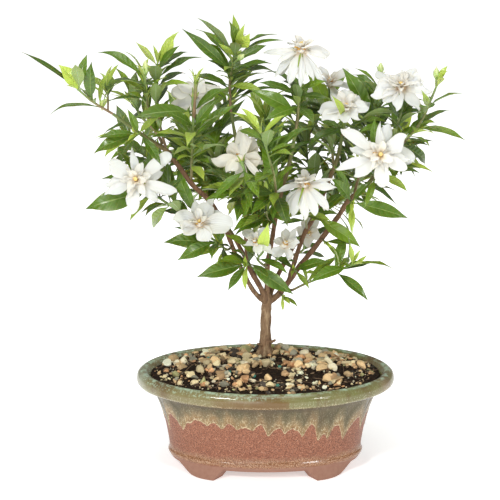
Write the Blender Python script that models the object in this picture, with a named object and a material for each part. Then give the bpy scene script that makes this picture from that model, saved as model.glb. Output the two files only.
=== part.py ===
"""Gardenia bonsai in a glazed oval pot.

Every size is in millimetres and becomes metres where a mesh is made. The pot stands on Z = 0 with its
long side along X and its front towards -Y. The plant is laid out as someone at EYE sees it: a place is
(across, up, depth), where across and up lie on a picture square to the line from EYE to AIM, and depth is
how far behind the pot's middle the point stands on that sight line.
"""

import math
import random

import bmesh
import bpy
from mathutils import Matrix, Vector
from mathutils.bvhtree import BVHTree
from mathutils.geometry import intersect_ray_tri

MM = 0.001
GAP = 0.3
EYE = Vector((-12.1, -1490.0, 604.0))
AIM = Vector((-12.1, 0.0, 174.4))
RIGHT = Vector((1.0, 0.0, 0.0))
RISE = RIGHT.cross(AIM - EYE).normalized()
ACROSS_SCALE = 0.982
UP_SCALE = 0.9435
AIM_UP = 164.6
SEED = 7

# The pot: half lengths of its outer lip, and its section as (inwards from the lip, height)
POT_HALF_LENGTH = 101.5
POT_HALF_DEPTH = 65.0
POT_SIDES = 36
POT_BOTTOM = 3.6
POT_FLOOR = 12.0
DRAIN_RADIUS = 8.0
POT_OUTSIDE = (
    (34.0, POT_BOTTOM),
    (29.0, 4.2),
    (26.2, 7.4),
    (24.3, 11.4),
    (25.4, 16.5),
    (21.5, 39.0),
    (16.5, 54.5),
    (11.5, 63.2),
    (4.5, 65.2),
    (1.0, 67.4),
    (0.0, 71.0),
    (1.3, 75.2),
    (4.6, 77.4),
)
POT_INSIDE = (
    (10.5, 74.4),
    (15.5, 67.0),
    (23.0, 55.0),
    (30.0, 35.0),
    (34.0, POT_FLOOR),
)

# A foot's two sections as (height, how far its outer edge and its inner edge lie in from the pot's ends and
# sides, the turns it reaches between, and how round it is: below 1 it bulges at the corner)
FOOT_SECTIONS = (
    (-2.6, (39.0, 24.5), (51.5, 37.0), 60.0, 20.0, 0.6),
    (9.0, (26.4, 26.4), (44.0, 44.0), 67.0, 9.0, 1.0),
)
FOOT_FACES = 4

# The soil
SOIL_RIM = 73.8
SOIL_MOUND = 11.2
SOIL_FULLNESS = 3
SOIL_ROUGHNESS = 0.7
SOIL_RINGS = 4
SOIL_EDGE = 12.0
SOIL_OUTSIDE = ((16.5, 66.6), (24.2, 54.6), (31.2, 34.6), (35.0, POT_FLOOR + GAP))

# The pebbles: how many, how large, how wide their foot and top are, how many sides, how far out they lie, how
# much of each is under the soil, how much longer than wide and how uneven
PEBBLES = 30
PEBBLE_SIZES = (2.6, 6.0)
PEBBLE_SPREADS = (1.1, 0.75)
PEBBLE_SIDES = 5
PEBBLE_REACH = 0.86
PEBBLE_SINK = 1.5
PEBBLE_LONGER = (1.0, 1.5)
PEBBLE_UNEVEN = (0.82, 1.1)
WELL_RADIUS = 8.9
WELL_BOTTOM = 58.0
TRUNK_FOOT = (-0.3, 14.0)

LEAF_THICKNESS = 1.2
LEAF_ARCH = 0.5
LEAF_FOLD = 0.2
LEAF_STATIONS = (0.3, 0.64)
PETAL_THICKNESS = 1.2
PETAL_STATIONS = (0.5, 0.86)
SMALL_PETAL_STATIONS = (0.6,)
ROOT_HALF_WIDTH = 0.8
CLEARANCE = 0.45
OWN_CLEARANCE = 0.1
LEAF_ROOT = 0.14
PETAL_ROOT = 0.2
PAIR_SPACING = 10.0
STEM_SIDES = 4
TRUNK_SIDES = 9
LIMB_SIDES = 6
FOOT_STEPS = 30
FOOT_PROBE = 2.0

# A collar is a short stretch of stem whose four faces carry leaves: how long it is, how far a ring of the
# path or the next collar keeps from its middle, how far a leaf may slide along the stem to find a free face,
# what a millimetre of that costs against a face that looks the leaf's way, and how many faces it tries
COLLAR = 1.2
COLLAR_CLEAR = 1.45
COLLAR_SPACING = 2.64
COLLAR_REACH = 9.0
SLIDE_COST = 0.08
LEAST_LOOK = -0.2
FACES_TRIED = 5
BUD = ((0.3, 0.9), (0.62, 2.0), (0.86, 1.3))
BUD_TIP = 0.1

# The brown wood: (across, up, depth, radius) along each limb
FORK = (1.3, 134.0, 14.0, 4.0)
LIMBS = {
    "trunk": (
        (-0.5, 63.8, 14.0, 7.2),
        (-0.5, 86.0, 14.0, 8.2),
        (-0.3, 91.5, 14.0, 5.7),
        (0.0, 98.0, 14.0, 4.7),
        (0.4, 118.0, 14.0, 4.2),
        (0.9, 127.0, 14.0, 4.1),
        FORK,
        (1.5, 139.0, 14.0, 3.0),
    ),
    "left_outer": (
        (1.0, 131.0, 13.0, 2.4),
        (-9.3, 141.0, 8.0, 1.9),
        (-19.9, 161.5, 2.0, 1.8),
        (-26.3, 178.5, -3.0, 1.8),
        (-34.0, 197.5, -8.0, 2.0),
        (-45.0, 215.5, -13.0, 2.0),
        (-57.8, 228.5, -18.0, 2.0),
        (-69.8, 245.3, -22.0, 2.0),
        (-78.3, 256.4, -24.0, 2.0),
        (-91.5, 264.8, -28.0, 1.6),
        (-108.3, 277.1, -32.0, 1.4),
        (-120.2, 286.1, -35.0, 1.2),
    ),
    "second_left": (
        (0.5, 132.0, 12.0, 2.4),
        (-2.3, 141.0, 9.0, 2.0),
        (-12.1, 158.6, 3.0, 1.9),
        (-14.6, 172.5, 0.0, 1.8),
        (-16.1, 207.0, -6.0, 1.7),
        (-20.0, 240.0, -2.0, 1.6),
        (-23.2, 264.6, 5.0, 1.4),
        (-27.1, 287.0, 10.0, 1.3),
    ),
    "centre": (
        (1.4, 135.0, 14.0, 2.6),
        (1.3, 147.0, 13.0, 2.2),
        (2.0, 164.6, 9.0, 2.0),
        (5.2, 182.6, 3.0, 1.9),
        (8.4, 203.0, -2.0, 1.8),
        (13.0, 223.6, -4.0, 1.7),
        (19.4, 248.2, -4.0, 1.6),
        (24.1, 272.8, -2.0, 1.5),
    ),
    "right": (
        (2.0, 131.5, 14.5, 2.8),
        (10.4, 138.1, 18.0, 2.5),
        (18.1, 148.3, 19.0, 2.3),
        (27.3, 161.5, 16.0, 2.2),
        (43.6, 182.8, 9.0, 2.1),
        (57.7, 202.5, 3.0, 2.0),
        (66.1, 215.7, 0.0, 2.0),
        (80.1, 228.1, -4.0, 1.7),
        (88.0, 238.0, -6.0, 1.6),
        (96.0, 250.0, -6.0, 1.4),
    ),
    "inner_right": (
        (18.1, 147.0, 19.0, 2.2),
        (21.5, 160.0, 21.0, 2.0),
        (29.6, 185.1, 23.0, 1.9),
        (38.0, 201.5, 24.0, 1.9),
        (49.3, 229.6, 26.0, 1.7),
        (57.0, 250.8, 26.0, 1.6),
        (60.4, 268.0, 24.0, 1.5),
    ),
    "back_left": (
        (1.2, 133.0, 15.0, 2.4),
        (-8.0, 152.0, 30.0, 2.0),
        (-22.0, 180.0, 52.0, 1.7),
        (-38.0, 207.0, 68.0, 1.4),
    ),
    "back_right": (
        (1.8, 133.0, 16.0, 2.4),
        (9.0, 152.0, 34.0, 2.0),
        (24.0, 180.0, 56.0, 1.7),
        (42.0, 206.0, 70.0, 1.4),
    ),
}

# Each leafy spray: its stems as a path and the radii at its ends, then its leaves as (how far along the stem,
# the tip's across, up and depth, how far the upper side turns from the viewer in degrees, age), its buds as
# (how far along, tip), how much of the stem stays bare of the rule's leaf pairs, and the bloom it ends in
OLD, MID, YOUNG = "old", "mid", "young"
LEAF_WIDTHS = {OLD: 0.32, MID: 0.3, YOUNG: 0.28}
SPRAYS = {
    "left_tip": (
        dict(
            path=((-120.2, 286.1, -35.0), (-136.0, 296.0, -40.0), (-148.0, 306.5, -45.0)),
            radii=(1.2, 0.9),
            leaves=(
                (1.0, -192.0, 337.0, -50.0, 70, MID),
                (0.3, -171.0, 289.0, -50.0, 62, MID),
                (1.0, -141.0, 336.0, -36.0, 15, OLD),
                (0.6, -137.0, 329.0, -50.0, 20, OLD),
                (0.97, -150.0, 327.0, -58.0, 160, MID),
                (0.6, -146.0, 306.0, -5.0, 60, MID),
            ),
            bare=2.0,
        ),
        dict(
            path=((-124.0, 288.6, -36.2), (-124.0, 300.0, -30.0), (-125.0, 309.0, -26.0)),
            radii=(0.9, 0.8),
            leaves=(
                (1.0, -115.6, 327.0, -28.0, 50, YOUNG),
                (0.4, -97.0, 299.5, -32.0, 70, OLD),
                (1.0, -108.0, 314.0, -8.0, 60, MID),
                (0.8, -140.0, 318.0, -12.0, 40, MID),
            ),
            bare=2.0,
        ),
    ),
    "left_arm": (
        dict(
            path=((-98.0, 269.4, -29.5), (-99.0, 270.0, -36.0), (-101.0, 270.0, -40.0)),
            radii=(1.0, 0.9),
            leaves=(
                (1.0, -132.0, 266.5, -46.0, 40, OLD),
                (1.0, -108.3, 290.0, -46.0, 10, OLD),
                (0.7, -84.0, 283.0, -52.0, 40, MID),
                (0.9, -136.6, 254.8, -46.0, 30, OLD),
                (0.4, -82.0, 244.0, -46.0, 20, OLD),
                (0.9, -112.0, 258.0, -62.0, 50, MID),
            ),
            bare=2.0,
        ),
    ),
    "left_upper": (
        dict(
            path=(
                (-79.5, 259.0, -23.5),
                (-86.7, 271.7, -22.0),
                (-97.2, 283.0, -18.0),
                (-105.0, 296.0, -10.0),
            ),
            radii=(1.5, 0.9),
            leaves=(
                (1.0, -118.0, 326.0, -2.0, 60, MID),
                (1.0, -88.0, 318.0, 2.0, 50, OLD),
            ),
            bare=0.5,
        ),
        dict(
            path=((-90.0, 275.0, -21.0), (-93.0, 295.0, -30.0), (-95.7, 316.0, -34.0)),
            radii=(1.1, 0.8),
            leaves=(
                (0.9, -131.6, 340.0, -38.0, 68, OLD),
                (1.0, -109.0, 339.0, -26.0, 75, MID),
                (0.75, -116.0, 315.0, -44.0, 55, MID),
                (0.45, -108.0, 304.0, -58.0, 60, MID),
            ),
            buds=((0.85, -94.5, 330.0, -38.0),),
            bare=0.5,
        ),
    ),
    "left_shoot": (
        dict(
            path=(
                (-78.0, 257.0, -25.5),
                (-82.0, 272.0, -30.0),
                (-86.0, 296.0, -24.0),
                (-85.0, 315.0, -19.0),
                (-85.0, 327.0, -18.0),
            ),
            radii=(1.3, 1.0),
            leaves=(
                (1.0, -68.9, 355.0, -14.0, 30, YOUNG),
                (1.0, -102.0, 345.0, -14.0, 150, YOUNG),
                (0.93, -68.0, 342.5, -28.0, 45, OLD),
                (0.86, -50.7, 335.0, -16.0, 60, OLD),
                (0.74, -60.0, 311.0, -28.0, 60, MID),
                (0.74, -104.0, 312.0, 6.0, 50, MID),
            ),
            bare=0.35,
        ),
    ),
    "bloom_left": (
        dict(
            path=(
                (-39.0, 206.0, -11.0),
                (-52.0, 203.0, -20.0),
                (-67.0, 206.4, -26.0),
                (-84.6, 217.9, -28.0),
                (-96.0, 227.0, -26.0),
            ),
            radii=(1.4, 1.1),
            leaves=(
                (0.9, -143.0, 208.5, -34.0, 10, OLD),
                (0.93, -118.0, 258.0, 0.0, 60, MID),
                (0.75, -65.0, 234.0, -40.0, 20, OLD),
                (0.85, -108.0, 198.0, -24.0, 40, YOUNG),
                (0.6, -90.0, 192.0, 2.0, 40, MID),
                (0.8, -112.0, 228.0, 18.0, 50, MID),
            ),
            bare=0.25,
            bloom="left",
        ),
    ),
    "bloom_lower_left": (
        dict(
            path=((-25.8, 177.0, -2.6), (-31.0, 175.0, -12.0), (-41.0, 183.0, -20.0)),
            radii=(1.2, 1.1),
            leaves=(
                (0.95, -69.7, 166.0, -34.0, 10, MID),
                (0.75, -80.7, 182.0, -22.0, 30, MID),
                (0.6, -58.0, 170.0, -4.0, 25, MID),
                (0.5, -33.0, 160.0, -38.0, 40, OLD),
                (0.9, -32.0, 200.0, -44.0, 30, OLD),
            ),
            bare=2.0,
            bloom="lower_left",
        ),
    ),
    "low_left": (
        dict(
            path=((-13.0, 162.5, 2.2), (-13.5, 163.0, -6.0), (-15.0, 163.0, -14.0)),
            radii=(1.1, 1.0),
            leaves=(
                (1.0, -54.4, 152.5, -22.0, 12, MID),
                (1.0, -38.0, 166.0, -32.0, 45, MID),
                (0.6, -30.3, 141.0, -12.0, 20, OLD),
                (0.6, -16.0, 141.0, -18.0, 30, MID),
                (1.0, 22.4, 138.0, -16.0, 5, MID),
                (0.6, 4.0, 152.0, -36.0, 40, OLD),
            ),
            bare=2.0,
        ),
    ),
    "fork": (
        dict(
            path=((11.0, 139.0, 18.0), (13.0, 137.5, 11.0), (13.9, 136.7, 8.0)),
            radii=(0.9, 0.8),
            leaves=(
                (1.0, 13.9, 124.0, 6.0, 10, YOUNG),
                (1.0, 26.0, 128.0, 2.0, 40, MID),
            ),
            bare=2.0,
        ),
    ),
    "top": (
        dict(
            path=(
                (-27.1, 287.0, 10.0),
                (-28.0, 310.7, 9.0),
                (-26.0, 324.3, 8.0),
                (-22.1, 341.3, 6.0),
            ),
            radii=(1.3, 1.0),
            leaves=(
                (0.64, -65.2, 356.0, 2.0, 30, OLD),
                (1.0, -25.5, 368.0, 2.0, 15, MID),
                (1.0, -16.5, 360.0, -2.0, 10, YOUNG),
                (0.85, -53.0, 366.0, 14.0, 120, MID),
                (0.8, -54.0, 358.0, 26.0, 60, OLD),
                (0.95, 9.1, 352.4, 2.0, 80, OLD),
                (0.88, 13.9, 347.0, -8.0, 80, OLD),
                (0.62, 5.2, 329.0, 0.0, 60, MID),
                (0.75, 1.3, 343.0, 22.0, 40, OLD),
                (0.4, -58.0, 318.0, 4.0, 50, OLD),
                (0.4, -2.0, 306.0, -6.0, 30, MID),
            ),
            buds=((0.86, -17.0, 335.0, -2.0),),
            bare=0.1,
        ),
    ),
    "bloom_top_left": (
        dict(
            path=(
                (-58.5, 229.5, -18.5),
                (-58.0, 248.0, -30.0),
                (-57.0, 272.0, -38.0),
                (-57.0, 288.0, -36.0),
            ),
            radii=(1.3, 1.1),
            leaves=(
                (0.92, -103.5, 284.0, -50.0, 35, OLD),
                (0.65, -78.0, 288.0, -54.0, 30, OLD),
                (0.95, -30.0, 309.0, -40.0, 50, OLD),
                (0.7, -37.0, 300.0, -46.0, 15, OLD),
                (0.5, -74.0, 252.0, -56.0, 120, MID),
                (0.4, -30.0, 262.0, -52.0, 110, MID),
            ),
            buds=((0.82, -53.0, 341.0, -60.0),),
            bare=0.25,
            bloom="top_left",
        ),
    ),
    "bloom_centre": (
        dict(
            path=((-16.2, 208.0, -6.0), (-15.0, 222.0, -24.0), (-16.0, 236.0, -34.0)),
            radii=(1.2, 1.1),
            leaves=(
                (0.7, -52.0, 240.0, -46.0, 60, OLD),
                (0.5, -48.0, 216.0, -40.0, 50, OLD),
            ),
            bare=2.0,
            bloom="centre",
        ),
        dict(
            path=((-15.6, 213.0, -13.0), (-25.0, 219.0, -9.0), (-33.0, 232.0, 4.0), (-42.0, 252.0, 12.0)),
            radii=(1.1, 0.9),
            bare=0.25,
        ),
    ),
    "centre_front": (
        dict(
            path=(
                (8.5, 205.0, -2.4),
                (8.5, 216.0, -26.0),
                (7.0, 234.0, -52.0),
                (2.0, 254.0, -62.0),
                (-3.0, 270.0, -62.0),
            ),
            radii=(1.3, 0.9),
            leaves=(
                (1.0, -19.2, 292.5, -58.0, 30, YOUNG),
                (1.0, 16.2, 286.0, -58.0, 40, YOUNG),
                (0.85, 22.0, 262.0, -66.0, 50, MID),
                (0.5, 24.0, 244.0, -56.0, 50, OLD),
                (0.35, -18.0, 222.0, -62.0, 45, OLD),
            ),
            buds=((0.8, 2.5, 285.0, -68.0),),
            bare=0.3,
        ),
    ),
    "bloom_top": (
        dict(
            path=((24.1, 272.8, -2.0), (26.0, 290.0, 0.0), (27.0, 308.0, 2.0), (28.0, 320.0, 2.0)),
            radii=(1.5, 1.2),
            leaves=(
                (0.62, -5.0, 313.0, -10.0, 50, OLD),
                (0.85, 0.0, 324.0, 10.0, 70, MID),
                (0.66, 48.0, 313.0, -16.0, 40, OLD),
                (0.6, 50.0, 299.0, -8.0, 30, OLD),
                (0.4, -1.0, 281.0, -24.0, 20, OLD),
                (0.4, 38.3, 279.0, -30.0, 30, OLD),
                (0.3, -12.0, 306.0, -10.0, 20, OLD),
            ),
            bare=0.1,
            bloom="top",
        ),
    ),
    "bloom_mid_right": (
        dict(
            path=((32.5, 192.0, 23.2), (32.0, 197.0, 6.0), (31.0, 206.0, -12.0)),
            radii=(1.2, 1.1),
            leaves=(
                (0.6, 12.0, 196.0, 2.0, 40, OLD),
                (0.8, 52.0, 196.0, -24.0, 40, MID),
            ),
            bare=2.0,
            bloom="mid_right",
        ),
    ),
    "centre_young": (
        dict(
            path=((7.2, 197.0, -0.6), (2.0, 201.0, -14.0), (0.5, 208.0, -27.0), (1.0, 217.0, -34.0)),
            radii=(1.1, 0.9),
            leaves=(
                (1.0, -8.2, 227.0, -44.0, 30, YOUNG),
                (0.6, -20.0, 204.0, -44.0, 40, OLD),
                (0.3, -22.0, 190.0, -34.0, 30, OLD),
                (0.6, 22.0, 197.0, -48.0, 35, OLD),
            ),
            bare=2.0,
        ),
    ),
    "inner_right": (
        dict(
            path=((38.0, 201.5, 24.0), (39.0, 201.0, 8.0), (40.0, 201.0, -4.0)),
            radii=(1.3, 1.1),
            leaves=(
                (1.0, 76.0, 177.0, -14.0, 10, MID),
                (0.7, 62.0, 222.0, -16.0, 40, OLD),
            ),
            bare=2.0,
        ),
    ),
    "inner_side": (
        dict(
            path=((39.5, 205.5, 24.3), (53.3, 210.5, 34.0), (68.0, 222.0, 44.0), (76.0, 240.0, 52.0)),
            radii=(1.2, 0.9),
            bare=0.2,
        ),
        dict(
            path=((46.4, 208.0, 29.0), (40.0, 224.0, 44.0), (34.0, 244.0, 52.0), (32.0, 266.0, 56.0)),
            radii=(1.1, 0.9),
            bare=0.2,
        ),
    ),
    "low_blooms": (
        dict(
            path=((1.9, 160.0, 10.0), (-2.0, 162.5, -2.0), (-6.0, 167.0, -14.0)),
            radii=(1.4, 1.1),
            leaves=((1.0, -32.0, 188.0, -40.0, 60, MID),),
            bare=2.0,
            bloom="low_left",
        ),
        dict(
            path=((-1.4, 162.1, -0.4), (4.0, 165.0, -5.0), (9.0, 166.5, -9.0)),
            radii=(1.1, 1.1),
            bare=2.0,
            bloom="low_right",
        ),
    ),
    "bloom_low_back": (
        dict(
            path=((18.0, 169.5, 48.5), (26.0, 172.0, 44.0), (30.0, 175.0, 42.0)),
            radii=(1.2, 1.1),
            leaves=((0.5, 50.0, 168.0, 62.0, 60, OLD),),
            bare=2.0,
            bloom="low_back",
        ),
    ),
    "lower_right": (
        dict(
            path=(
                (15.5, 145.0, 18.7),
                (20.7, 141.6, 12.0),
                (30.1, 146.1, 4.0),
                (47.8, 153.5, -8.0),
                (69.7, 163.1, -18.0),
            ),
            radii=(1.3, 0.9),
            leaves=(
                (0.93, 35.0, 149.0, -34.0, 30, OLD),
                (0.75, 81.5, 133.0, -22.0, 30, OLD),
                (1.0, 101.0, 160.0, -22.0, 75, MID),
                (1.0, 66.5, 180.0, -22.0, 20, YOUNG),
                (1.0, 75.0, 175.0, -16.0, 20, YOUNG),
                (0.8, 84.0, 164.0, 12.0, 60, OLD),
                (0.5, 56.0, 170.0, 12.0, 50, OLD),
            ),
            bare=2.0,
        ),
    ),
    "right_low": (
        dict(
            path=((23.5, 156.0, 17.3), (24.0, 157.0, 8.0), (23.0, 158.0, 2.0)),
            radii=(1.0, 0.9),
            leaves=(
                (1.0, 35.0, 143.0, -8.0, 20, MID),
                (1.0, 50.0, 166.0, -14.0, 30, OLD),
                (0.8, 2.0, 172.0, -28.0, 40, OLD),
            ),
            bare=2.0,
        ),
    ),
    "right_mid": (
        dict(
            path=((44.2, 183.6, 8.6), (46.0, 182.0, 0.0), (47.0, 181.0, -4.0)),
            radii=(1.0, 0.9),
            leaves=(
                (1.0, 68.0, 180.0, -26.0, 40, MID),
                (1.0, 58.0, 168.0, -2.0, 30, MID),
            ),
            bare=2.0,
        ),
    ),
    "right_node": (
        dict(
            path=((66.1, 215.7, 0.0), (67.5, 214.0, -8.0), (68.0, 213.5, -12.0)),
            radii=(1.1, 1.0),
            leaves=(
                (1.0, 113.0, 200.7, -18.0, 18, MID),
                (1.0, 64.0, 203.0, -26.0, 10, OLD),
                (0.8, 84.0, 232.0, -26.0, 20, OLD),
                (0.8, 52.0, 234.0, -26.0, 30, OLD),
            ),
            bare=2.0,
        ),
    ),
    "bloom_right": (
        dict(
            path=((82.0, 230.5, -4.5), (88.0, 234.0, -14.0), (91.0, 243.0, -20.0)),
            radii=(1.2, 1.1),
            leaves=(
                (0.7, 133.0, 241.0, -18.0, 65, YOUNG),
                (0.6, 113.0, 223.0, -20.0, 30, MID),
                (0.8, 74.0, 268.0, -16.0, 50, MID),
            ),
            bare=2.0,
            bloom="right",
        ),
    ),
    "far_right": (
        dict(
            path=(
                (96.0, 250.0, -6.0),
                (104.5, 258.0, -8.0),
                (121.4, 277.7, -11.0),
                (132.2, 302.1, -12.0),
                (136.0, 312.4, -12.0),
            ),
            radii=(1.3, 0.9),
            leaves=(
                (0.32, 158.0, 264.5, -22.0, 60, MID),
                (0.62, 155.0, 304.0, -14.0, 80, OLD),
                (0.45, 134.0, 279.0, -30.0, 60, MID),
                (1.0, 143.5, 326.0, -12.0, 20, YOUNG),
                (0.95, 141.0, 316.0, -30.0, 150, YOUNG),
                (0.72, 124.0, 304.0, -30.0, 20, MID),
                (0.5, 146.0, 290.0, 12.0, 60, MID),
                (0.2, 128.0, 244.0, 14.0, 50, OLD),
            ),
            buds=((1.0, 135.0, 324.0, -14.0),),
            bare=0.6,
        ),
        dict(
            path=((100.5, 254.0, -7.0), (102.0, 268.0, -2.0), (106.0, 284.0, 0.0), (108.0, 292.0, 0.0)),
            radii=(1.2, 1.1),
            leaves=(
                (0.8, 94.0, 299.0, -14.0, 40, OLD),
                (0.6, 72.0, 270.0, -20.0, 70, MID),
                (0.75, 74.0, 284.0, -16.0, 130, MID),
                (0.85, 128.0, 288.0, 14.0, 60, OLD),
            ),
            bare=0.3,
            bloom="upper_right",
        ),
    ),
    "right_back": (
        dict(
            path=(
                (69.5, 218.7, -1.0),
                (73.0, 232.0, 10.0),
                (82.0, 262.0, 22.0),
                (86.0, 285.0, 22.0),
                (90.3, 312.0, 18.0),
            ),
            radii=(1.4, 0.9),
            leaves=(
                (0.65, 61.6, 325.0, 8.0, 30, OLD),
                (0.95, 71.0, 324.0, 16.0, 65, MID),
                (0.55, 110.0, 278.0, 12.0, 75, MID),
            ),
            buds=((1.0, 91.0, 328.0, 17.0),),
            bare=0.3,
        ),
    ),
    "bloom_upper_mid": (
        dict(
            path=((60.4, 268.0, 24.0), (62.0, 274.0, 16.0), (62.5, 278.0, 8.0)),
            radii=(1.4, 1.1),
            leaves=(
                (0.7, 46.0, 304.0, 22.0, 60, YOUNG),
                (0.7, 96.0, 282.0, -6.0, 70, MID),
                (0.6, 34.0, 262.0, -6.0, 50, OLD),
                (0.4, 40.0, 282.0, 30.0, 40, OLD),
            ),
            bare=2.0,
            bloom="upper_mid",
        ),
    ),
    "bloom_back": (
        dict(
            path=((54.0, 241.5, 26.0), (52.0, 262.0, 40.0), (50.0, 284.0, 46.0), (51.0, 298.0, 44.0)),
            radii=(1.3, 1.1),
            leaves=(
                (0.75, 32.0, 324.0, 34.0, 30, MID),
                (0.7, 20.0, 290.0, 34.0, 40, OLD),
            ),
            bare=0.25,
            bloom="back",
        ),
    ),
    "back_left": (
        dict(
            path=((-38.0, 207.0, 68.0), (-52.0, 232.0, 78.0), (-62.0, 262.0, 82.0), (-64.0, 284.0, 80.0)),
            radii=(1.4, 0.9),
            bare=0.15,
        ),
        dict(
            path=((-50.0, 229.0, 77.0), (-76.0, 240.0, 68.0), (-98.0, 254.0, 54.0), (-112.0, 268.0, 42.0)),
            radii=(1.2, 0.9),
            bare=0.25,
        ),
        dict(
            path=((-57.0, 247.0, 80.0), (-42.0, 268.0, 92.0), (-30.0, 288.0, 96.0)),
            radii=(1.1, 0.9),
            bare=0.3,
        ),
        dict(
            path=((-46.4, 222.0, 74.0), (-44.0, 232.0, 48.0), (-52.0, 250.0, 26.0), (-60.0, 272.0, 14.0)),
            radii=(1.2, 0.9),
            bare=0.35,
        ),
    ),
    "back_centre": (
        dict(
            path=(
                (-14.0, 165.0, 40.5),
                (-8.0, 190.0, 56.0),
                (-2.0, 220.0, 68.0),
                (0.0, 256.0, 66.0),
                (0.0, 286.0, 56.0),
            ),
            radii=(1.5, 0.9),
            bare=0.3,
        ),
        dict(
            path=((-3.0, 214.0, 66.0), (-20.0, 236.0, 48.0), (-40.0, 262.0, 40.0), (-50.0, 292.0, 36.0)),
            radii=(1.2, 0.9),
            bare=0.3,
        ),
        dict(
            path=((-7.3, 193.5, 57.4), (6.0, 208.0, 38.0), (10.0, 232.0, 26.0), (6.0, 258.0, 26.0)),
            radii=(1.2, 0.9),
            bare=0.25,
        ),
    ),
    "back_right": (
        dict(
            path=((42.0, 206.0, 70.0), (58.0, 230.0, 80.0), (68.0, 258.0, 84.0), (70.0, 280.0, 80.0)),
            radii=(1.4, 0.9),
            bare=0.15,
        ),
        dict(
            path=((56.0, 226.5, 78.5), (80.0, 234.0, 66.0), (100.0, 250.0, 52.0), (110.0, 268.0, 40.0)),
            radii=(1.2, 0.9),
            bare=0.25,
        ),
        dict(
            path=((63.0, 244.0, 82.0), (46.0, 264.0, 92.0), (34.0, 284.0, 94.0)),
            radii=(1.1, 0.9),
            bare=0.3,
        ),
    ),
}

# Each open bloom: where its middle is, which way it faces, how large it is, how far its outer and middle
# petals open from the axis in degrees, how many of each it has, and how far round they start
BLOOMS = {
    "left": dict(
        at=(-101.3, 232.0, -38.0), faces=(-0.12, -0.95, 0.3), size=1.0,
        opening=(98, 80), petals=(5, 5), spin=12,
    ),
    "lower_left": dict(
        at=(-51.8, 196.0, -36.0), faces=(-0.2, -0.5, 0.85), size=0.86,
        opening=(100, 62), petals=(5, 4), spin=30,
    ),
    "low_left": dict(
        at=(-6.6, 180.5, -32.0), faces=(-0.45, -0.35, 0.82), size=0.66,
        opening=(95, 55), petals=(4, 4), spin=10,
    ),
    "low_right": dict(
        at=(15.0, 178.5, -16.0), faces=(0.4, -0.3, 0.86), size=0.66,
        opening=(98, 60), petals=(4, 4), spin=0,
    ),
    "low_back": dict(
        at=(33.6, 187.0, 38.0), faces=(0.25, -0.5, 0.83), size=0.7,
        opening=(100, 62), petals=(4, 4), spin=0,
    ),
    "mid_right": dict(
        at=(30.9, 228.0, -30.0), faces=(0.0, -0.28, 0.96), size=0.98,
        opening=(142, 98), petals=(6, 4), spin=18,
    ),
    "top": dict(
        at=(28.1, 338.5, 0.0), faces=(0.05, -0.28, 0.96), size=0.98,
        opening=(142, 98), petals=(6, 4), spin=44,
    ),
    "right": dict(
        at=(89.7, 252.2, -32.0), faces=(0.15, -0.95, 0.3), size=1.0,
        opening=(98, 80), petals=(5, 5), spin=-20,
    ),
    "upper_right": dict(
        at=(107.0, 308.0, -4.0), faces=(0.0, -0.55, 0.83), size=0.9,
        opening=(98, 58), petals=(5, 4), spin=25,
    ),
    "upper_mid": dict(
        at=(63.0, 291.0, -2.0), faces=(0.1, -0.5, 0.86), size=0.88,
        opening=(105, 62), petals=(5, 4), spin=5,
    ),
    "top_left": dict(
        at=(-55.5, 302.5, -18.0), faces=(0.15, 0.82, 0.55), size=0.9,
        opening=(100, 70), petals=(5, 4), spin=15,
    ),
    "centre": dict(
        at=(-20.0, 251.0, -36.0), faces=(-0.3, 0.5, 0.81), size=0.84,
        opening=(112, 70), petals=(5, 4), spin=0,
    ),
    "back": dict(
        at=(51.3, 312.0, 40.0), faces=(0.0, -0.4, 0.92), size=0.7,
        opening=(100, 60), petals=(4, 4), spin=20,
    ),
}
PETAL_WIDTH = 0.5
INNER_PETALS = 3
INNER_OPENING = 44

# The outer, middle and inner petals as (length, arch, fold, stations), and how far each one strays
PETAL_LAYERS = (
    (25.0, 0.5, -0.15, PETAL_STATIONS),
    (22.5, 0.45, 0.25, PETAL_STATIONS),
    (11.5, 0.5, 0.35, SMALL_PETAL_STATIONS),
)
OPENING_STRAY = 8.0
PETAL_REACHES = (0.92, 1.08)
PETAL_TWISTS = (8.0, 18.0)
SHORTER_PETALS = (1.0, 0.85, 0.7, 0.55)
FURTHER_TWIST = 0.15
LAYER_TURN = math.pi / 7
HUB_BANDS = (((-4.0, 2.2), (-1.4, 3.0)), ((-0.9, 3.1), (0.2, 2.6)), ((0.5, 1.9), (1.4, 1.6)))
STIGMA = ((1.8, 0.8), (5.5, 1.7), (7.5, 0.6))
CALYX = ((9.5, 1.3), (4.0, 2.0))
CALYX_GAP = 0.35
STIGMA_SIDES = 6
BLOOM_SIGHT_RADIUS = 25.0

# The outline that the rule's own leaves keep within, as (across, up), and how far they reach in depth
CROWN_OUTLINE = (
    (-150, 310), (-130, 288), (-134, 269), (-130, 248), (-134, 215), (-103, 199), (-75, 179), (-48, 158),
    (-3, 156), (51, 154), (78, 165), (67, 183), (106, 211), (126, 244), (138, 281), (130, 310), (102, 314),
    (63, 324), (41, 310), (4, 330), (-24, 351), (-52, 347), (-75, 338), (-103, 330), (-130, 318),
)
CROWN_DEPTHS = (-92.0, 118.0)


def spot(across, up, depth):
    """The point at this depth on the sight line through (across, up) of the layout picture."""
    picture = AIM + RIGHT * ((across - AIM.x) * ACROSS_SCALE) + RISE * (up * UP_SCALE - AIM_UP)
    sight = picture - EYE
    return EYE + sight * ((depth - EYE.y) / sight.y)


def seen_at(point):
    """Where the sight line to this point crosses the layout picture, as (across, up)."""
    sight = point - EYE
    offset = EYE + sight * ((AIM - EYE).length_squared / sight.dot(AIM - EYE)) - AIM
    return offset.x / ACROSS_SCALE + AIM.x, (offset.dot(RISE) + AIM_UP) / UP_SCALE


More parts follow.
